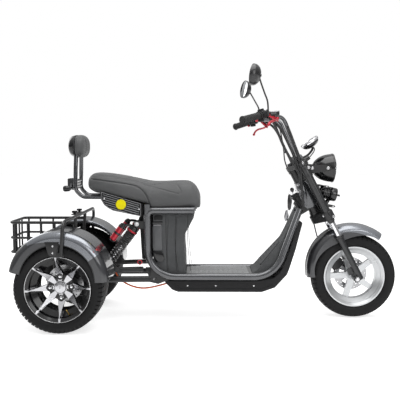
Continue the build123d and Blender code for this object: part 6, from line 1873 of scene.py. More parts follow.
    def key_switch(self) -> None:
        """Stand the key switch behind the neck, with its key, ring and tags."""
        low, high = Vector((0.524, -0.020, 0.606)), Vector((0.482, -0.020, 0.664))
        barrel = Bench.turned(
            [
                (0, 0), (0.0100, 0), (0.0105, 0.002), (0.0105, 0.030), (0.0085, 0.032), (0.0085, 0.058),
                (0.0120, 0.060), (0.0120, 0.069), (0.0105, 0.071), (0, 0.071),
            ],
            32,
        )
        Bench.place(barrel, standing(low, high - low))
        hood = Bench.slab(
            [(0.468, 0.668), (0.500, 0.690), (0.512, 0.676), (0.486, 0.652)], -0.036, -0.004, 0.003
        )
        fit(
            Bench.joined([barrel, hood]), "key_switch", Body.CHASSIS, BLACK_PLASTIC, "black_plastic",
            "ignition_switch",
        )
        blade = Bench.slab(
            [(0.486, 0.662), (0.480, 0.672), (0.474, 0.690), (0.479, 0.692), (0.485, 0.675), (0.490, 0.665)],
            -0.0206, -0.0194, 0.0,
        )
        ring = Bench.turned(
            [(0.0105, -0.0008), (0.0118, -0.0010), (0.0124, 0), (0.0118, 0.0010), (0.0105, 0.0008)], 36,
            closed=True,
        )
        Bench.place(ring, standing((0.468, -0.021, 0.684), (0.3, 1, 0.2)))
        fit(Bench.joined([blade, ring]), "key_and_ring", Body.CHASSIS, BRIGHT_STEEL, "disc_steel")
        head = Bench.slab(
            [(0.462, 0.706), (0.468, 0.716), (0.480, 0.716), (0.486, 0.706), (0.482, 0.690), (0.470, 0.690)],
            -0.0225, -0.0175, 0.0015,
        )
        fob = Bench.slab(
            [
                (0.452, 0.676), (0.458, 0.682), (0.470, 0.676), (0.474, 0.640), (0.468, 0.600),
                (0.458, 0.590), (0.450, 0.604), (0.449, 0.642),
            ],
            -0.034, -0.022, 0.004,
        )
        fit(Bench.joined([head, fob]), "key_fobs", Body.CHASSIS, SHELL_BLACK, "black_plastic")
        tag = Bench.slab(
            [(0.440, 0.590), (0.452, 0.596), (0.458, 0.560), (0.452, 0.536), (0.438, 0.532), (0.432, 0.556)],
            -0.020, -0.0175, 0.0008,
        )
        fit(tag, "key_tag", Body.CHASSIS, LID_METAL, "disc_steel")


# ------------------------------------------------------------------ body trim
@dataclass
class Trim:
    """Grilles, box handle, bead lines, painted groove shade, bars and the screws that hold the covers."""

    hardware: Hardware = field(default_factory=Hardware)

    def build(self) -> None:
        """Build the trim of both sides."""
        for side, name in SIDES:
            self.grille(side, name)
            self.box_side(side, name)
            self.seat_flange(side, name)
            self.fender_bead(side, name)
        self.backrest_bars()
        self.rack()
        self.screws()

    def grille(self, side: int, name: str) -> None:
        """Build the slatted grille beside the seat's foot."""
        outer = [
            (-0.5505, 0.7010), (-0.3330, 0.6370), (-0.3330, 0.5690), (-0.4150, 0.5855), (-0.4880, 0.6010),
            (-0.5310, 0.6290), (-0.5520, 0.6650),
        ]
        middle = sum((Vector(point) for point in outer), Vector((0, 0))) / len(outer)
        inner = [tuple(middle + (Vector(point) - middle) * 0.885) for point in outer]
        pieces = [Bench.slab(outer, *span(side, 0.128, 0.1305), 0.001)]
        for step, start in enumerate(outer):
            after = (step + 1) % len(outer)
            quad = [start, outer[after], inner[after], inner[step]]
            pieces.append(Bench.slab(quad, *span(side, 0.1290, 0.1375), 0.0012))
        # The slats take a light grey, a painted edge highlight.
        slats = []
        way = (Vector(inner[1]) - Vector(inner[0])).normalized()
        down = Vector((way.y, -way.x))
        for step in range(6):
            start = Vector(inner[0]) + down * (0.0075 + 0.0112 * step)
            low, high = self.crossings(inner, start, way)
            left, right, rise = start + way * low, start + way * high, down * -0.0019
            slats.append(Bench.slab(
                [tuple(left + rise), tuple(right + rise), tuple(right - rise), tuple(left - rise)],
                *span(side, 0.1298, 0.1368), 0.0008,
            ))
        fit(
            Bench.joined(pieces), f"grille_frame_{name}", Body.CHASSIS, BLACK_PLASTIC, "black_plastic",
            *once(side, "side_grilles"),
        )
        fit(Bench.joined(slats), f"grille_slats_{name}", Body.CHASSIS, SLAT_HIGHLIGHT_GREY, "black_plastic")
        y = side * 0.1375
        loop = [(x, y, z) for x, z in (tuple(middle + (Vector(point) - middle) * 0.945) for point in outer)]
        bead = [
            Bench.bar([start, tuple((Vector(start) + Vector(end)) / 2), end], 0.0014, 3, 2)
            for start, end in zip(loop, loop[1:] + loop[:1])
        ]
        fit(Bench.joined(bead), f"grille_bead_{name}", Body.CHASSIS, LID_METAL, "black_plastic")
        disc = Bench.turned(
            [(0, 0.129), (0.0295, 0.129), (0.0295, 0.1375), (0.0285, 0.1385), (0, 0.1385)], 48
        )
        Bench.place(disc, standing((-0.443, 0, 0.633), (0, side, 0)))
        fit(disc, f"reflector_seat_{name}", Body.CHASSIS, GLOSS_PLASTIC, "black_plastic")

    @staticmethod
    def crossings(loop: Sequence[Pair], start: Vector, way: Vector) -> Pair:
        """Return how far along a line it enters and leaves a convex outline."""
        normal = Vector((way.y, -way.x))
        found = []
        for step, point in enumerate(loop):
            first, second = Vector(point) - start, Vector(loop[(step + 1) % len(loop)]) - start
            near, far = first.dot(normal), second.dot(normal)
            if near * far < 0:
                found.append(first.lerp(second, near / (near - far)).dot(way))
        return min(found), max(found)

    def box_side(self, side: int, name: str) -> None:
        """Build the battery box's handle with a bright bead as its painted top highlight, its socket, the
        painted shade above it, dark bars as painted shade in its grooves, and the bare badge place.
        """
        plate = Bench.slab(
            [
                (-0.279, 0.392), (-0.280, 0.512), (-0.272, 0.522), (-0.238, 0.523), (-0.230, 0.515),
                (-0.229, 0.392), (-0.236, 0.384),
                (-0.272, 0.383),
            ],
            *span(side, 0.104, 0.1135), 0.0035,
        )
        inset = Bench.slab(
            [(-0.270, 0.400), (-0.271, 0.500), (-0.240, 0.501), (-0.239, 0.400)], *span(side, 0.112, 0.1155),
            0.0015
        )
        fit(
            Bench.joined([plate, inset]), f"box_handle_{name}", Body.CHASSIS, HANDLE_GREY, "box_plastic",
            *once(side, "battery_handles"),
        )
        # A bright metal bead as a painted highlight along the handle's rounded top.
        lip = Bench.bar(
            [
                (-0.274, side * 0.1135, 0.5205), (-0.255, side * 0.1150, 0.5215),
                (-0.236, side * 0.1135, 0.5210),
            ],
            0.0022, 3,
        )
        fit(lip, f"box_lip_{name}", Body.CHASSIS, LID_METAL, "disc_steel")
        socket = Bench.slab(
            [(-0.281, 0.379), (-0.226, 0.380), (-0.216, 0.334), (-0.228, 0.322), (-0.262, 0.321)],
            *span(side, 0.104, 0.1165), 0.003,
        )
        # A dark plate laid on the box as painted shade in the recess above the handle.
        recess = Bench.slab(
            [(-0.283, 0.524), (-0.284, 0.540), (-0.226, 0.541), (-0.226, 0.526)], *span(side, 0.104, 0.1095),
            0.001,
        )
        # Dark bars laid on the box as painted shade in its grooves.
        groove_shades = [
            Bench.bar([(x, side * 0.1079, z) for x, z in points], 0.0015, 3, 4)
            for points in (
                [(-0.208, 0.594), (-0.208, 0.520), (-0.207, 0.450), (-0.205, 0.360), (-0.202, 0.272)],
                [(-0.153, 0.594), (-0.158, 0.520), (-0.162, 0.450), (-0.156, 0.360), (-0.142, 0.272)],
                [(-0.090, 0.594), (-0.092, 0.520), (-0.094, 0.450), (-0.088, 0.360), (-0.076, 0.272)],
            )
        ]
        fit(
            Bench.joined([socket, recess, *groove_shades]), f"box_socket_{name}", Body.CHASSIS, GLOSS_PLASTIC,
            "black_plastic",
        )
        badge = Bench.slab(
            [
                (-0.270, 0.548), (-0.272, 0.566), (-0.262, 0.574), (-0.234, 0.574), (-0.224, 0.566),
                (-0.226, 0.548),
            ],
            *span(side, 0.1065, 0.1095), 0.0012,
        )
        fit(badge, f"box_plate_{name}", Body.CHASSIS, BLACK_PLASTIC, "black_plastic")

    def seat_flange(self, side: int, name: str) -> None:
        """Bend the side tube of the frame and lay the flange under the seat's front half."""
        y = side * 0.130
        tube = Bench.tube(
            [
                (-0.058, y, 0.6005), (-0.305, y, 0.6005), (-0.305, y, 0.246), (0.370, y, 0.246),
                (0.513, side * 0.046, 0.600),
            ],
            [0.032, 0.150, 0.160], 0.019, 5,
        )
        head = Bench.bar([(-0.305, y, 0.560), (-0.305, y, 0.600), (-0.305, y, 0.634)], 0.0188, 5)
        fit(
            Bench.joined([tube, head]), f"frame_tube_{name}", Body.CHASSIS, FRAME_PAINT, "frame_paint",
            f"frame_{name}",
        )
        flange = Bench.slab(
            [
                (-0.290, 0.592), (-0.284, 0.612), (-0.270, 0.620), (-0.052, 0.620), (-0.046, 0.598),
                (-0.262, 0.600), (-0.276, 0.592),
            ],
            *span(side, 0.108, 0.1350), 0.0040,
        )
        fit(flange, f"seat_flange_{name}", Body.CHASSIS, FRAME_PAINT, "frame_paint")

    def fender_bead(self, side: int, name: str) -> None:
        """Roll the lip round the rear fender's outer edge, with its marker."""
        centre, reach = REAR_FENDER_CENTRE, 0.1885
        arc = []
        for step in range(0, 169, 7):
            turn = math.radians(step)
            arc.append((centre.x + reach * math.cos(turn), side * 0.3805, centre.z + reach * math.sin(turn)))
        lip = Bench.bar(arc, 0.0022, 3, 4)
        fit(lip, f"fender_lip_{name}", Body.CHASSIS, BLACK_STEEL, "fender_paint")
        marker = Bench.turned(
            [(0, 0), (0.0050, 0), (0.0054, 0.001), (0.0054, 0.002), (0.0040, 0.003), (0, 0.003)], 24
        )
        Bench.place(marker, standing((-0.5290, side * 0.3790, 0.4320), (0.5, side, 0.5)))
        fit(marker, f"fender_marker_{name}", Body.CHASSIS, LAMP_RED, "tail_lamp_red")

    def backrest_bars(self) -> None:
        """Bend the backrest's two bars and its cross brace."""
        bars = [
            Bench.tube(
                [
                    (-0.520, side * 0.070, 0.667), (-0.660, side * 0.070, 0.668),
                    (-0.698, side * 0.070, 0.706), (-0.694, side * 0.068, 0.830),
                    (-0.690, side * 0.060, 0.945),
                ],
                [0.050, 0.045, 0.3], 0.0112, 5,
            )
            for side in (1, -1)
        ]
        for z, radius in ((0.752, 0.0085), (0.722, 0.0085)):
            bars.append(Bench.bar([(-0.697, -0.070, z), (-0.699, 0, z), (-0.697, 0.070, z)], radius, 4))
        bars.append(
            Bench.bar([(-0.640, -0.070, 0.668), (-0.640, 0, 0.667), (-0.640, 0.070, 0.668)], 0.0085, 4)
        )
        bars.append(
            Bench.slab(
                [(-0.731, 0.706), (-0.731, 0.768), (-0.708, 0.768), (-0.700, 0.760), (-0.700, 0.706)],
                -0.052, -0.030, 0.002,
            )
        )
        bars.append(
            Bench.bar([(-0.705, -0.041, 0.711), (-0.735, -0.041, 0.711), (-0.750, -0.041, 0.711)], 0.0062, 3)
        )
        bars.append(
            Bench.place(self.hardware.star_knob(0.0150), standing((-0.747, -0.041, 0.711), (-1, 0, 0)))
        )
        fit(Bench.joined(bars), "backrest_bars", Body.CHASSIS, FRAME_PAINT, "black_steel", "backrest_frame")

    def rack(self) -> None:
        """Bend and weld the luggage rack's rails, uprights and floor bars."""
        bars = []
        for z, radius, front, rear in (
            (0.534, 0.0078, -0.690, -1.037), (0.452, 0.0062, -0.860, -1.0385),
            (0.375, 0.0068, -0.870, -1.0385),
        ):
            bars.append(Bench.tube(
                [(front, -0.119, z), (rear, -0.119, z), (rear, 0.119, z), (front, 0.119, z)], [0.026, 0.026],
                radius, 4
            ))
        for side in (1, -1):
            for x, low in ((-1.012, 0.375), (-0.945, 0.375), (-0.872, 0.375), (-0.800, 0.452)):
                bars.append(
                    Bench.bar(
                        [(x, side * 0.119, low), (x, side * 0.119, 0.46), (x, side * 0.119, 0.534)], 0.0055, 3
                    )
                )
            bars.append(
                Bench.tube(
                    [
                        (-0.690, side * 0.119, 0.534), (-0.690, side * 0.119, 0.452),
                        (-0.870, side * 0.119, 0.452),
                    ],
                    [0.03], 0.0062, 4,
                )
            )
        for y in (-0.072, -0.024, 0.024, 0.072):
            bars.append(Bench.bar([(-1.037, y, 0.534), (-1.037, y, 0.45), (-1.037, y, 0.375)], 0.0050, 3))
            bars.append(Bench.bar([(-1.037, y, 0.375), (-0.95, y, 0.375), (-0.872, y, 0.375)], 0.0050, 3))
        for x in (-0.980, -0.926, -0.872):
            bars.append(Bench.bar([(x, -0.119, 0.375), (x, 0, 0.375), (x, 0.119, 0.375)], 0.0055, 3))
        fit(Bench.joined(bars), "luggage_rack", Body.CHASSIS, BLACK_STEEL, "black_steel", "rear_rack")
        tabs = Bench.both(lambda side: Bench.slab(
            [
                (-0.782, 0.470), (-0.764, 0.408), (-0.752, 0.399), (-0.736, 0.399), (-0.724, 0.408),
                (-0.712, 0.470),
            ],
            *span(side, 0.3800, 0.3870), 0.0015
        ))
        fit(tabs, "fender_tabs", Body.CHASSIS, BLACK_STEEL, "black_steel")

    def screws(self) -> None:
        """Set the cover screws, hoop bolts and knobs."""
        small, large = [], []
        for side in (1, -1):
            for x, y, z in (
                (-0.531, 0.1375, 0.6635), (-0.3475, 0.1375, 0.608), (-0.093, 0.1165, 0.195),
                (0.058, 0.1165, 0.195), (0.262, 0.1165, 0.195),
            ):
                small.append(standing((x, side * y, z), (0, side, 0)))
            for x, z in ((-0.742, 0.450), (-0.743, 0.416)):
                small.append(standing((x, side * 0.3865, z), (0, side, 0)))
            large += [
                standing((-0.266, side * 0.1230, 0.230), (0, side, 0)),
                standing((-0.728, side * 0.1145, 0.228), (0, side, 0)),
            ]
        fit(
            Bench.copies(self.hardware.dome_screw(0.0050), small), "cover_screws", Body.CHASSIS,
            BRIGHT_STEEL, "disc_steel",
        )
        fit(
            Bench.copies(self.hardware.hex_nut(0.0095), large), "pivot_nuts", Body.CHASSIS, BRIGHT_STEEL,
            "disc_steel",
        )
        knobs = [standing((-0.707, side * 0.060, 0.575), (0, 0, 1)) for side in (1, -1)]
        fit(
            Bench.copies(self.hardware.star_knob(0.0150), knobs), "rack_knobs", Body.CHASSIS, BLACK_PLASTIC,
            "black_plastic",
        )
        ring = Bench.turned([(0.009, 0), (0.0135, 0), (0.0135, 0.004), (0.009, 0.004)], 32, closed=True)
        fit(
            Bench.place(ring, standing((-0.347, -0.124, 0.323), (0, -1, 0))), "lock_ring", Body.CHASSIS,
            RED_METAL, "red_anodised",
        )
        knob = Bench.turned([(0, -0.006), (0.0088, -0.006), (0.0088, 0.007), (0.0070, 0.009), (0, 0.009)], 28)
        fit(
            Bench.place(knob, standing((-0.347, -0.124, 0.323), (0, -1, 0))), "lock_knob", Body.CHASSIS,
            BLACK_PLASTIC, "black_plastic",
        )


# ------------------------------------------------------------------ padding
STITCH = 0.0075


@dataclass
class Padding:
    """Foam under a fitted cover: swelling, pressed seams and stitches."""

    voxel: float = 0.005
    pressure: float = 4.0
    cap: float = 0.006
    frames: int = 20

    def swell(self, piece: Piece, held: Callable[[np.ndarray], np.ndarray]) -> None:
        """Fill the cover by cloth pressure and keep each point near its place.

        Args:
            piece: the closed cover.
            held: share of its movement that each point keeps, from its coordinates.
        """
        Bench.only(piece)
        remesh = piece.modifiers.new("even", "REMESH")
        remesh.mode = "VOXEL"
        remesh.voxel_size = self.voxel
        remesh.use_smooth_shade = True
        bpy.ops.object.modifier_apply(modifier=remesh.name)
        before = self.points(piece)
        cloth = piece.modifiers.new("foam", "CLOTH")
        cloth.settings.use_pressure = True
        cloth.settings.uniform_pressure_force = self.pressure
        cloth.settings.effector_weights.gravity = 0
        cloth.settings.quality = 4
        scene = bpy.context.scene
        for step in range(1, self.frames + 1):
            scene.frame_set(step)
        grown = piece.evaluated_get(bpy.context.evaluated_depsgraph_get()).to_mesh()
        after = np.empty(len(grown.vertices) * 3)
        grown.vertices.foreach_get("co", after)
        moved = after.reshape(-1, 3) - before
        length = np.linalg.norm(moved, axis=1, keepdims=True)
        moved *= np.minimum(1.0, self.cap / np.maximum(length, 1e-9)) * held(before)[:, None]
        piece.modifiers.remove(cloth)
        scene.frame_set(1)
        self.set_points(piece, before + moved)
        divide = piece.modifiers.new("finer", "SUBSURF")
        divide.levels = divide.render_levels = 1
        bpy.ops.object.modifier_apply(modifier=divide.name)

    @staticmethod
    def points(piece: Piece) -> np.ndarray:
        """Return a piece's points as rows of X, Y and Z."""
        flat = np.empty(len(piece.data.vertices) * 3)
        piece.data.vertices.foreach_get("co", flat)
        return flat.reshape(-1, 3)

    @staticmethod
    def set_points(piece: Piece, points: np.ndarray) -> None:
        """Move a piece's points to new places."""
        piece.data.vertices.foreach_set("co", points.ravel())
        piece.data.update()

    def press(
        self, piece: Piece, line: Sequence[Point], depth: float, half_width: float,
        across: tuple[int, int], keep: Callable[[np.ndarray], np.ndarray],
    ) -> None:
        """Press a seam into a cover along a line seen square to two axes.

        Args:
            piece: the cover.
            line: points of the seam.
            depth: how deep the seam lies.
            half_width: how far the hollow reaches to each side.
            across: the two axes that distances are taken in.
            keep: mask of the points that the seam may move, from their coordinates.
        """
        points = self.points(piece)
        normals = np.empty(len(points) * 3)
        piece.data.vertices.foreach_get("normal", normals)
        flat = points[:, across]
        ends = np.array([[point[axis] for axis in across] for point in line])
        nearest = np.full(len(points), 9.0)
        for start, end in zip(ends, ends[1:]):
            run = end - start
            share = np.clip(((flat - start) @ run) / (run @ run), 0, 1)
            nearest = np.minimum(nearest, np.linalg.norm(flat - start - share[:, None] * run, axis=1))
        sink = depth * np.exp(-((nearest / half_width) ** 2)) * keep(points)
        self.set_points(piece, points - normals.reshape(-1, 3) * sink[:, None])

    @staticmethod
    def on_surface(
        piece: Piece, line: Sequence[Point], way: Point, step: float
    ) -> list[tuple[Vector, Vector]]:
        """Drop evenly spaced points of a line onto a cover.

        Args:
            piece: the cover.
            line: points of the seam, clear of the cover.
            way: direction in which they drop.
            step: distance between points.

        Returns:
            Place and normal of each point that meets the cover.
        """
        found = []
        for start, end in zip(line, line[1:]):
            start, end = Vector(start), Vector(end)
            count = max(1, round((end - start).length / step))
            for index in range(count):
                hit, at, normal, _ = piece.ray_cast(start.lerp(end, index / count), Vector(way))
                if hit:
                    found.append((at, normal))
        return found

    def stitch(self, places: Sequence[tuple[Vector, Vector]], length: float = 0.0045) -> Piece:
        """Lay a row of short threads along places on a cover."""
        thread = Bench.turned(
            [(0, -length / 2), (0.0005, -length * 0.4), (0.0006, 0), (0.0005, length * 0.4), (0, length / 2)],
            6
        )
        matrices = []
        for (at, normal), (ahead, _) in zip(places, places[1:]):
            if (ahead - at).length < 0.03:
                matrices.append(standing(at + normal * 0.0003, ahead - at))
        return Bench.copies(thread, matrices)


@dataclass
class Seat:
    """The long foam seat with its side seams and the pointed panel at the nose.

    Stations run from the tail to the nose: X, half width, and lowest and highest Z.
    """

    stations: tuple[tuple[float, float, float, float], ...] = (
        (-0.6300, 0.080, 0.726, 0.762), (-0.625, 0.104, 0.714, 0.779), (-0.613, 0.118, 0.706, 0.788),
        (-0.588, 0.131, 0.700, 0.7925), (-0.560, 0.142, 0.6945, 0.792), (-0.520, 0.148, 0.686, 0.789),
        (-0.470, 0.151, 0.675, 0.782), (-0.420, 0.151, 0.663, 0.773), (-0.370, 0.149, 0.651, 0.763),
        (-0.330, 0.147, 0.641, 0.754), (-0.300, 0.146, 0.632, 0.749), (-0.286, 0.1455, 0.612, 0.747),
        (-0.270, 0.145, 0.6085, 0.746), (-0.230, 0.143, 0.608, 0.746), (-0.180, 0.139, 0.608, 0.748),
        (-0.130, 0.134, 0.608, 0.751), (-0.090, 0.128, 0.609, 0.750), (-0.066, 0.122, 0.610, 0.742),
        (-0.046, 0.115, 0.611, 0.716), (-0.034, 0.108, 0.611, 0.690), (-0.0265, 0.099, 0.613, 0.668),
        (-0.0245, 0.090, 0.618, 0.650),
    )
    side_seam: tuple[Point, ...] = (
        (-0.292, 0.2, 0.630), (-0.2965, 0.2, 0.650), (-0.307, 0.2, 0.676), (-0.319, 0.2, 0.696),
        (-0.333, 0.2, 0.711),
        (-0.346, 0.2, 0.721), (-0.359, 0.2, 0.729), (-0.375, 0.2, 0.7345), (-0.393, 0.2, 0.738),
        (-0.430, 0.2, 0.745),
        (-0.480, 0.2, 0.752), (-0.567, 0.2, 0.763), (-0.602, 0.2, 0.766),
    )
    panel: tuple[Point, ...] = (
        (-0.330, 0.2, 0.739), (-0.310, 0.2, 0.735), (-0.253, 0.2, 0.719), (-0.180, 0.2, 0.699),
        (-0.135, 0.2, 0.687),
        (-0.130, 0.2, 0.692), (-0.128, 0.2, 0.704), (-0.134, 0.2, 0.718), (-0.148, 0.2, 0.734),
    )
    top_lines: tuple[tuple[Point, ...], ...] = (
        ((-0.575, 0.095, 0.9), (-0.45, 0.106, 0.9), (-0.33, 0.104, 0.9), (-0.27, 0.094, 0.9)),
        ((-0.505, -0.100, 0.9), (-0.475, 0.0, 0.9), (-0.505, 0.100, 0.9)),
        ((-0.415, -0.106, 0.9), (-0.385, 0.0, 0.9), (-0.415, 0.106, 0.9)),
        ((-0.325, -0.104, 0.9), (-0.295, 0.0, 0.9), (-0.325, 0.104, 0.9)),
        ((-0.235, -0.088, 0.9), (-0.205, 0.0, 0.9), (-0.235, 0.088, 0.9)),
        ((-0.27, 0.094, 0.9), (-0.20, 0.078, 0.9), (-0.12, 0.060, 0.9), (-0.085, 0.0, 0.9)),
    )
    padding: Padding = field(default_factory=Padding)

    @staticmethod
    def section() -> list[Pair]:
        """Return the cross-section: a flat foot, leaning sides and a crowned top."""
        points = [
            (-0.72, 0.0), (-0.88, 0.03), (-0.97, 0.12), (-1.0, 0.28), (-0.995, 0.45), (-0.96, 0.62),
            (-0.89, 0.76),
        ]
        points += [(-0.78, 0.87), (-0.62, 0.94), (-0.42, 0.98), (-0.2, 0.996), (0.0, 1.0)]
        mirrored = [(-y, z) for y, z in reversed(points[:-1])]
        return points + mirrored + [(0.4, 0.0), (0.0, 0.0), (-0.4, 0.0)]

    def top_rows(self) -> list[list[Point]]:
        """Return the seams of the top, with those of the left side drawn on the right too."""
        rows = []
        for line in self.top_lines:
            for side in (1, -1) if line[0][1] > 0 else (1,):
                rows.append([(x, y * side, z) for x, y, z in line])
        return rows

    def build(self) -> None:
        """Loft, fill, seam and stitch the seat."""
        piece = Bench.lofted(self.section(), self.stations)
        smooth = piece.modifiers.new("round", "SUBSURF")
        smooth.levels = smooth.render_levels = 2
        Bench.only(piece)
        bpy.ops.object.modifier_apply(modifier=smooth.name)
        self.padding.swell(piece, lambda points: np.clip((points[:, 2] - 0.64) / 0.06, 0, 1))
        for sign in (1, -1):
            side = [(x, y * sign, z) for x, y, z in self.side_seam]
            panel = [(x, y * sign, z) for x, y, z in self.panel]
            outer = (lambda points, sign=sign: (points[:, 1] * sign > 0.09).astype(float))
            self.padding.press(piece, side, depth=0.0034, half_width=0.0042, across=(0, 2), keep=outer)
            self.padding.press(piece, panel, depth=0.0022, half_width=0.0034, across=(0, 2), keep=outer)
        for row in self.top_rows():
            self.padding.press(
                piece, row, depth=0.0022, half_width=0.0036, across=(0, 1),
                keep=lambda points: (points[:, 2] > 0.70).astype(float),
            )
        Bench.smooth(piece, 60)
        fit(piece, "seat_cushion", Body.CHASSIS, SEAT_COVER, "seat_cover", "seat")
        self.thread(piece)

    def thread(self, piece: Piece) -> None:
        """Stitch along the seams and lay piping in the side seams."""
        rows = []
        for sign, name in SIDES:
            for line, shift in ((self.side_seam, 0.006), (self.panel, 0.0)):
                drawn = [(x + shift, y * sign, z + shift * 0.6) for x, y, z in line]
                rows.append(self.padding.stitch(self.padding.on_surface(piece, drawn, (0, -sign, 0), STITCH)))
            side_seam = [(x, y * sign, z) for x, y, z in self.side_seam]
            seam = self.padding.on_surface(piece, side_seam, (0, -sign, 0), 0.01)
            cord = Bench.bar([at + normal * 0.0004 for at, normal in seam], 0.0016, 3)
            fit(cord, f"seat_piping_{name}", Body.CHASSIS, PIPING, "seat_cover")
        for row in self.top_rows():
            rows.append(self.padding.stitch(self.padding.on_surface(piece, row, (0, 0, -1), STITCH)))
        fit(Bench.joined(rows), "seat_stitches", Body.CHASSIS, THREAD, "seat_cover")


@dataclass
class Backrest:
    """The padded backrest with its moulded rear shell."""

    middle_z: float = 0.940
    half_width: float = 0.112
    half_height: float = 0.062
    seams: Pair = (0.34, -0.34)
    padding: Padding = field(default_factory=lambda: Padding(cap=0.005))

    def outline(self, steps: int = 40, power: float = 2.7) -> list[Pair]:
        """Return the pad's outline, a soft rectangle, from -1 to 1 both ways."""
        points = []
        for step in range(steps):
            angle = 2 * math.pi * step / steps
            across, up = math.cos(angle), math.sin(angle)
            points.append((
                math.copysign(abs(across) ** (2 / power), across), math.copysign(abs(up) ** (2 / power), up),
            ))
        return points

    def slab(self, layers: Sequence[tuple[float, float, float]]) -> Piece:
        """Loft the outline along X through layers of X and two shares of its size."""
        section = [(y, (z + 1) / 2) for y, z in self.outline()]
        stations = [
            (
                x, self.half_width * wide, self.middle_z - self.half_height * tall,
                self.middle_z + self.half_height * tall,
            )
            for x, wide, tall in layers
        ]
        return Bench.lofted(section, stations)

    def build(self) -> None:
        """Build the pad in front and the shell behind it."""
        pad = self.slab([
            (-0.692, 0.90, 0.90), (-0.690, 0.97, 0.97), (-0.686, 1.0, 1.0), (-0.674, 1.0, 0.985),
            (-0.664, 0.985, 0.95),
            (-0.655, 0.94, 0.86), (-0.649, 0.84, 0.70), (-0.6455, 0.66, 0.48), (-0.6445, 0.4, 0.25),
        ])
        self.padding.swell(pad, lambda points: np.clip((points[:, 0] + 0.688) / 0.02, 0, 1))
        for share in self.seams:
            line = [
                (0, share * self.half_width, self.middle_z - 0.2),
                (0, share * self.half_width, self.middle_z + 0.2),
            ]
            self.padding.press(
                pad, line, depth=0.003, half_width=0.0045, across=(1, 2),
                keep=lambda points: (points[:, 0] > -0.675).astype(float),
            )
        Bench.smooth(pad, 60)
        fit(pad, "backrest_cushion", Body.CHASSIS, SEAT_COVER, "seat_cover", "backrest_pad")
        rows = []
        for share in self.seams:
            line = [
                (-0.55, share * self.half_width, self.middle_z - 0.07),
                (-0.55, share * self.half_width, self.middle_z + 0.07)
            ]
            rows.append(self.padding.stitch(self.padding.on_surface(pad, line, (-1, 0, 0), STITCH)))
        fit(Bench.joined(rows), "backrest_stitches", Body.CHASSIS, THREAD, "seat_cover")
        shell = self.slab([
            (-0.730, 0.55, 0.42), (-0.7285, 0.72, 0.62), (-0.724, 0.84, 0.78), (-0.716, 0.91, 0.90),
            (-0.706, 0.945, 0.955),
            (-0.699, 0.965, 0.975), (-0.697, 0.93, 0.935), (-0.693, 0.93, 0.935), (-0.692, 0.91, 0.91),
        ])
        Bench.smooth(shell, 28)
        fit(shell, "backrest_shell", Body.CHASSIS, GLOSS_PLASTIC, "black_plastic")
        bead = Bench.bar(
            [
                (-0.6955, self.half_width * 0.95 * y, self.middle_z + self.half_height * 0.955 * z)
                for y, z in self.outline() + self.outline()[:1]
            ],
            0.0025, 4,
        )
        fit(bead, "backrest_piping", Body.CHASSIS, PIPING, "seat_cover")


# ------------------------------------------------------------------ carried-over nodes
class Carried:
    """Finishes of the nodes that keep their shape."""

    def build(self) -> None:
        """Dress every node that keeps its shape."""
        nodes = frame["nodes"]
        stanchions = Finish(
            "fork_legs", DARK, 0.34, coat=0.3, zone=along(STEER_FOOT, STEER_AXIS, 0.2445, 0.331),
            zone_colour=(0.7, 0.7, 0.72),
            zone_roughness=0.1, zone_metallic=1.0, rounding=0.0008,
        )
        rear_border = REAR_FENDER_CENTRE + Vector((-0.0475, 0, -0.057))
        front_centre = FRONT_AXLE + Vector((-0.008, 0, 0.038))
        front_border = front_centre + Vector((-0.030, 0, -0.040))
        rear_fender, front_fender = (
            Finish(
                name, (0.19, 0.20, 0.22), 0.25, metallic=0.9, coat=1.0, texture=Texture.FLAKE, scale=1500,
                depth=0.00002,
                uneven=0.05, dust=0.03, zone=glossy_crown(centre, border, reach, low, high),
                zone_colour=(0.030, 0.031, 0.035), zone_roughness=0.42, zone_metallic=0.4,
            )
            for name, centre, border, reach, low, high in (
                ("rear_fender", REAR_FENDER_CENTRE, rear_border, 0.257, 34, 128),
                ("front_fender", front_centre, front_border, 0.250, 40, 122),
            )
        )
        finishes: dict[Surface, tuple[str, ...]] = {
            FRAME_PAINT: ("foot_deck", "handlebar"),
            BLACK_STEEL: (
                "steering_head", "frame_crossbars", "fender_hoop",
                "rear_calipers", "fork_yokes", "headlamp_bracket", "front_caliper",
            ),
            BLACK_PLASTIC: ("belly_pan", "rear_panel", "seat_base", "switchgear"),
            GLOSS_PLASTIC: ("tail_lamps",),
            BOX_PLASTIC: ("leg_shield", "battery_box"),
            MAT_RUBBER: ("foot_mat",),
            GRIP_RUBBER: ("grips",),
            MOTOR_METAL: ("motor_axle",),
            YELLOW: ("side_reflectors",),
            BRIGHT_STEEL: ("front_axle",),
            CABLE_BLACK: ("brake_hose",),
            stanchions: ("fork_legs",),
            rear_fender: ("rear_fender_left", "rear_fender_right"),
            front_fender: ("front_fender",),
        }
        for finish, names in finishes.items():
            finish.dress(*[nodes[name] for name in names])


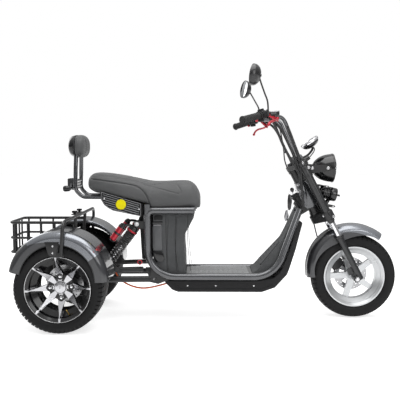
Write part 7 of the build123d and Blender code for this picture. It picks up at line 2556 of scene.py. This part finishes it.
# ------------------------------------------------------------------ studio
@dataclass
class Studio:
    """Camera, floor and soft light."""

    camera_at: Point = (0.0081, -3.1431, 0.8988)
    camera_turn: Point = (85.404, 0.0, 0.647)
    lens: float = 51.58

    def build(self) -> None:
        """Set up the camera, floor, world and lamps."""
        self.camera()
        self.floor()
        self.world()
        self.lamps()
        bpy.context.scene.view_settings.view_transform = "Standard"

    def camera(self) -> None:
        """Place the camera."""
        lens = bpy.data.cameras.new("camera")
        lens.lens = self.lens
        lens.clip_end = 100
        camera = bpy.data.objects.new("camera", lens)
        camera.location = self.camera_at
        camera.rotation_euler = [math.radians(angle) for angle in self.camera_turn]
        bpy.context.scene.collection.objects.link(camera)
        bpy.context.scene.camera = camera

    @staticmethod
    def seen(wires: Wires) -> Socket:
        """Return 1 for rays that see the background directly or through a reflection."""
        path = wires.node("LightPath")
        either = wires.math("MAXIMUM", path.outputs["Is Camera Ray"], path.outputs["Is Glossy Ray"])
        return wires.math("MAXIMUM", either, path.outputs["Is Transmission Ray"])

    def floor(self) -> None:
        """Lay the pale floor, which keeps the shadow of the tricycle."""
        bpy.ops.object.select_all(action="DESELECT")
        bpy.ops.mesh.primitive_plane_add(size=40, location=(0, 0, 0))
        floor = bpy.context.active_object
        floor.name = "floor"
        made = bpy.data.materials.new("floor")
        made.use_nodes = True
        wires = Wires(made.node_tree)
        made.node_tree.nodes.remove(wires["Principled BSDF"])
        card = wires.node("BsdfDiffuse", Color=(0.80, 0.80, 0.80, 1.0))
        glow = wires.node("Emission", Color=(1.0, 1.0, 1.0, 1.0))
        wires.feed(wires.math("MULTIPLY", self.seen(wires), 0.70), glow.inputs["Strength"])
        both = wires.node("AddShader", card.outputs[0], glow.outputs[0])
        wires.feed(both.outputs[0], wires["Material Output"].inputs["Surface"])
        floor.data.materials.append(made)

    def world(self) -> None:
        """Light from all round, seen as white."""
        world = bpy.data.worlds.new("studio")
        bpy.context.scene.world = world
        world.use_nodes = True
        wires = Wires(world.node_tree)
        background = wires["Background"]
        background.inputs["Color"].default_value = (1.0, 1.0, 1.0, 1.0)
        path = wires.node("LightPath")
        direct = wires.math("MAXIMUM", path.outputs["Is Camera Ray"], path.outputs["Is Transmission Ray"])
        up = wires.split(wires.node("TexCoord").outputs["Generated"])["Z"]
        mirrored = wires.map_range(up, 0.0, 0.85, 0.14, 1.0)
        diffuse = wires.map_range(up, 0.0, 1.0, 0.28, 0.62)
        indirect = wires.blend(path.outputs["Is Glossy Ray"], diffuse, mirrored)
        wires.feed(wires.blend(direct, indirect, 1.0), background.inputs["Strength"])

    def lamps(self) -> None:
        """Hang the soft boxes."""
        for name, at, size, watts in (
            ("overhead", (0.2, -0.6, 3.2), 2.6, 62.0),
            ("camera_side", (1.9, -3.0, 1.9), 1.8, 34.0),
            ("rear_fill", (-2.8, 1.8, 2.0), 1.8, 26.0),
        ):
            lamp = bpy.data.lights.new(name, "AREA")
            lamp.shape = "SQUARE"
            lamp.size = size
            lamp.energy = watts
            hung = bpy.data.objects.new(name, lamp)
            hung.location = at
            hung.rotation_euler = (Vector((0, 0, 0.5)) - Vector(at)).to_track_quat("-Z", "Y").to_euler()
            bpy.context.scene.collection.objects.link(hung)


def main() -> None:
    """Build the tricycle's pieces in order."""
    logging.basicConfig(level=logging.INFO, format="%(name)s: %(message)s")
    Studio().build()
    Carried().build()
    Wheels().build()
    Suspension().build()
    Controls().build()
    FrontEnd().build()
    Trim().build()
    Seat().build()
    Backrest().build()
    bpy.context.view_layer.update()


if __name__ == "__main__":
    main()
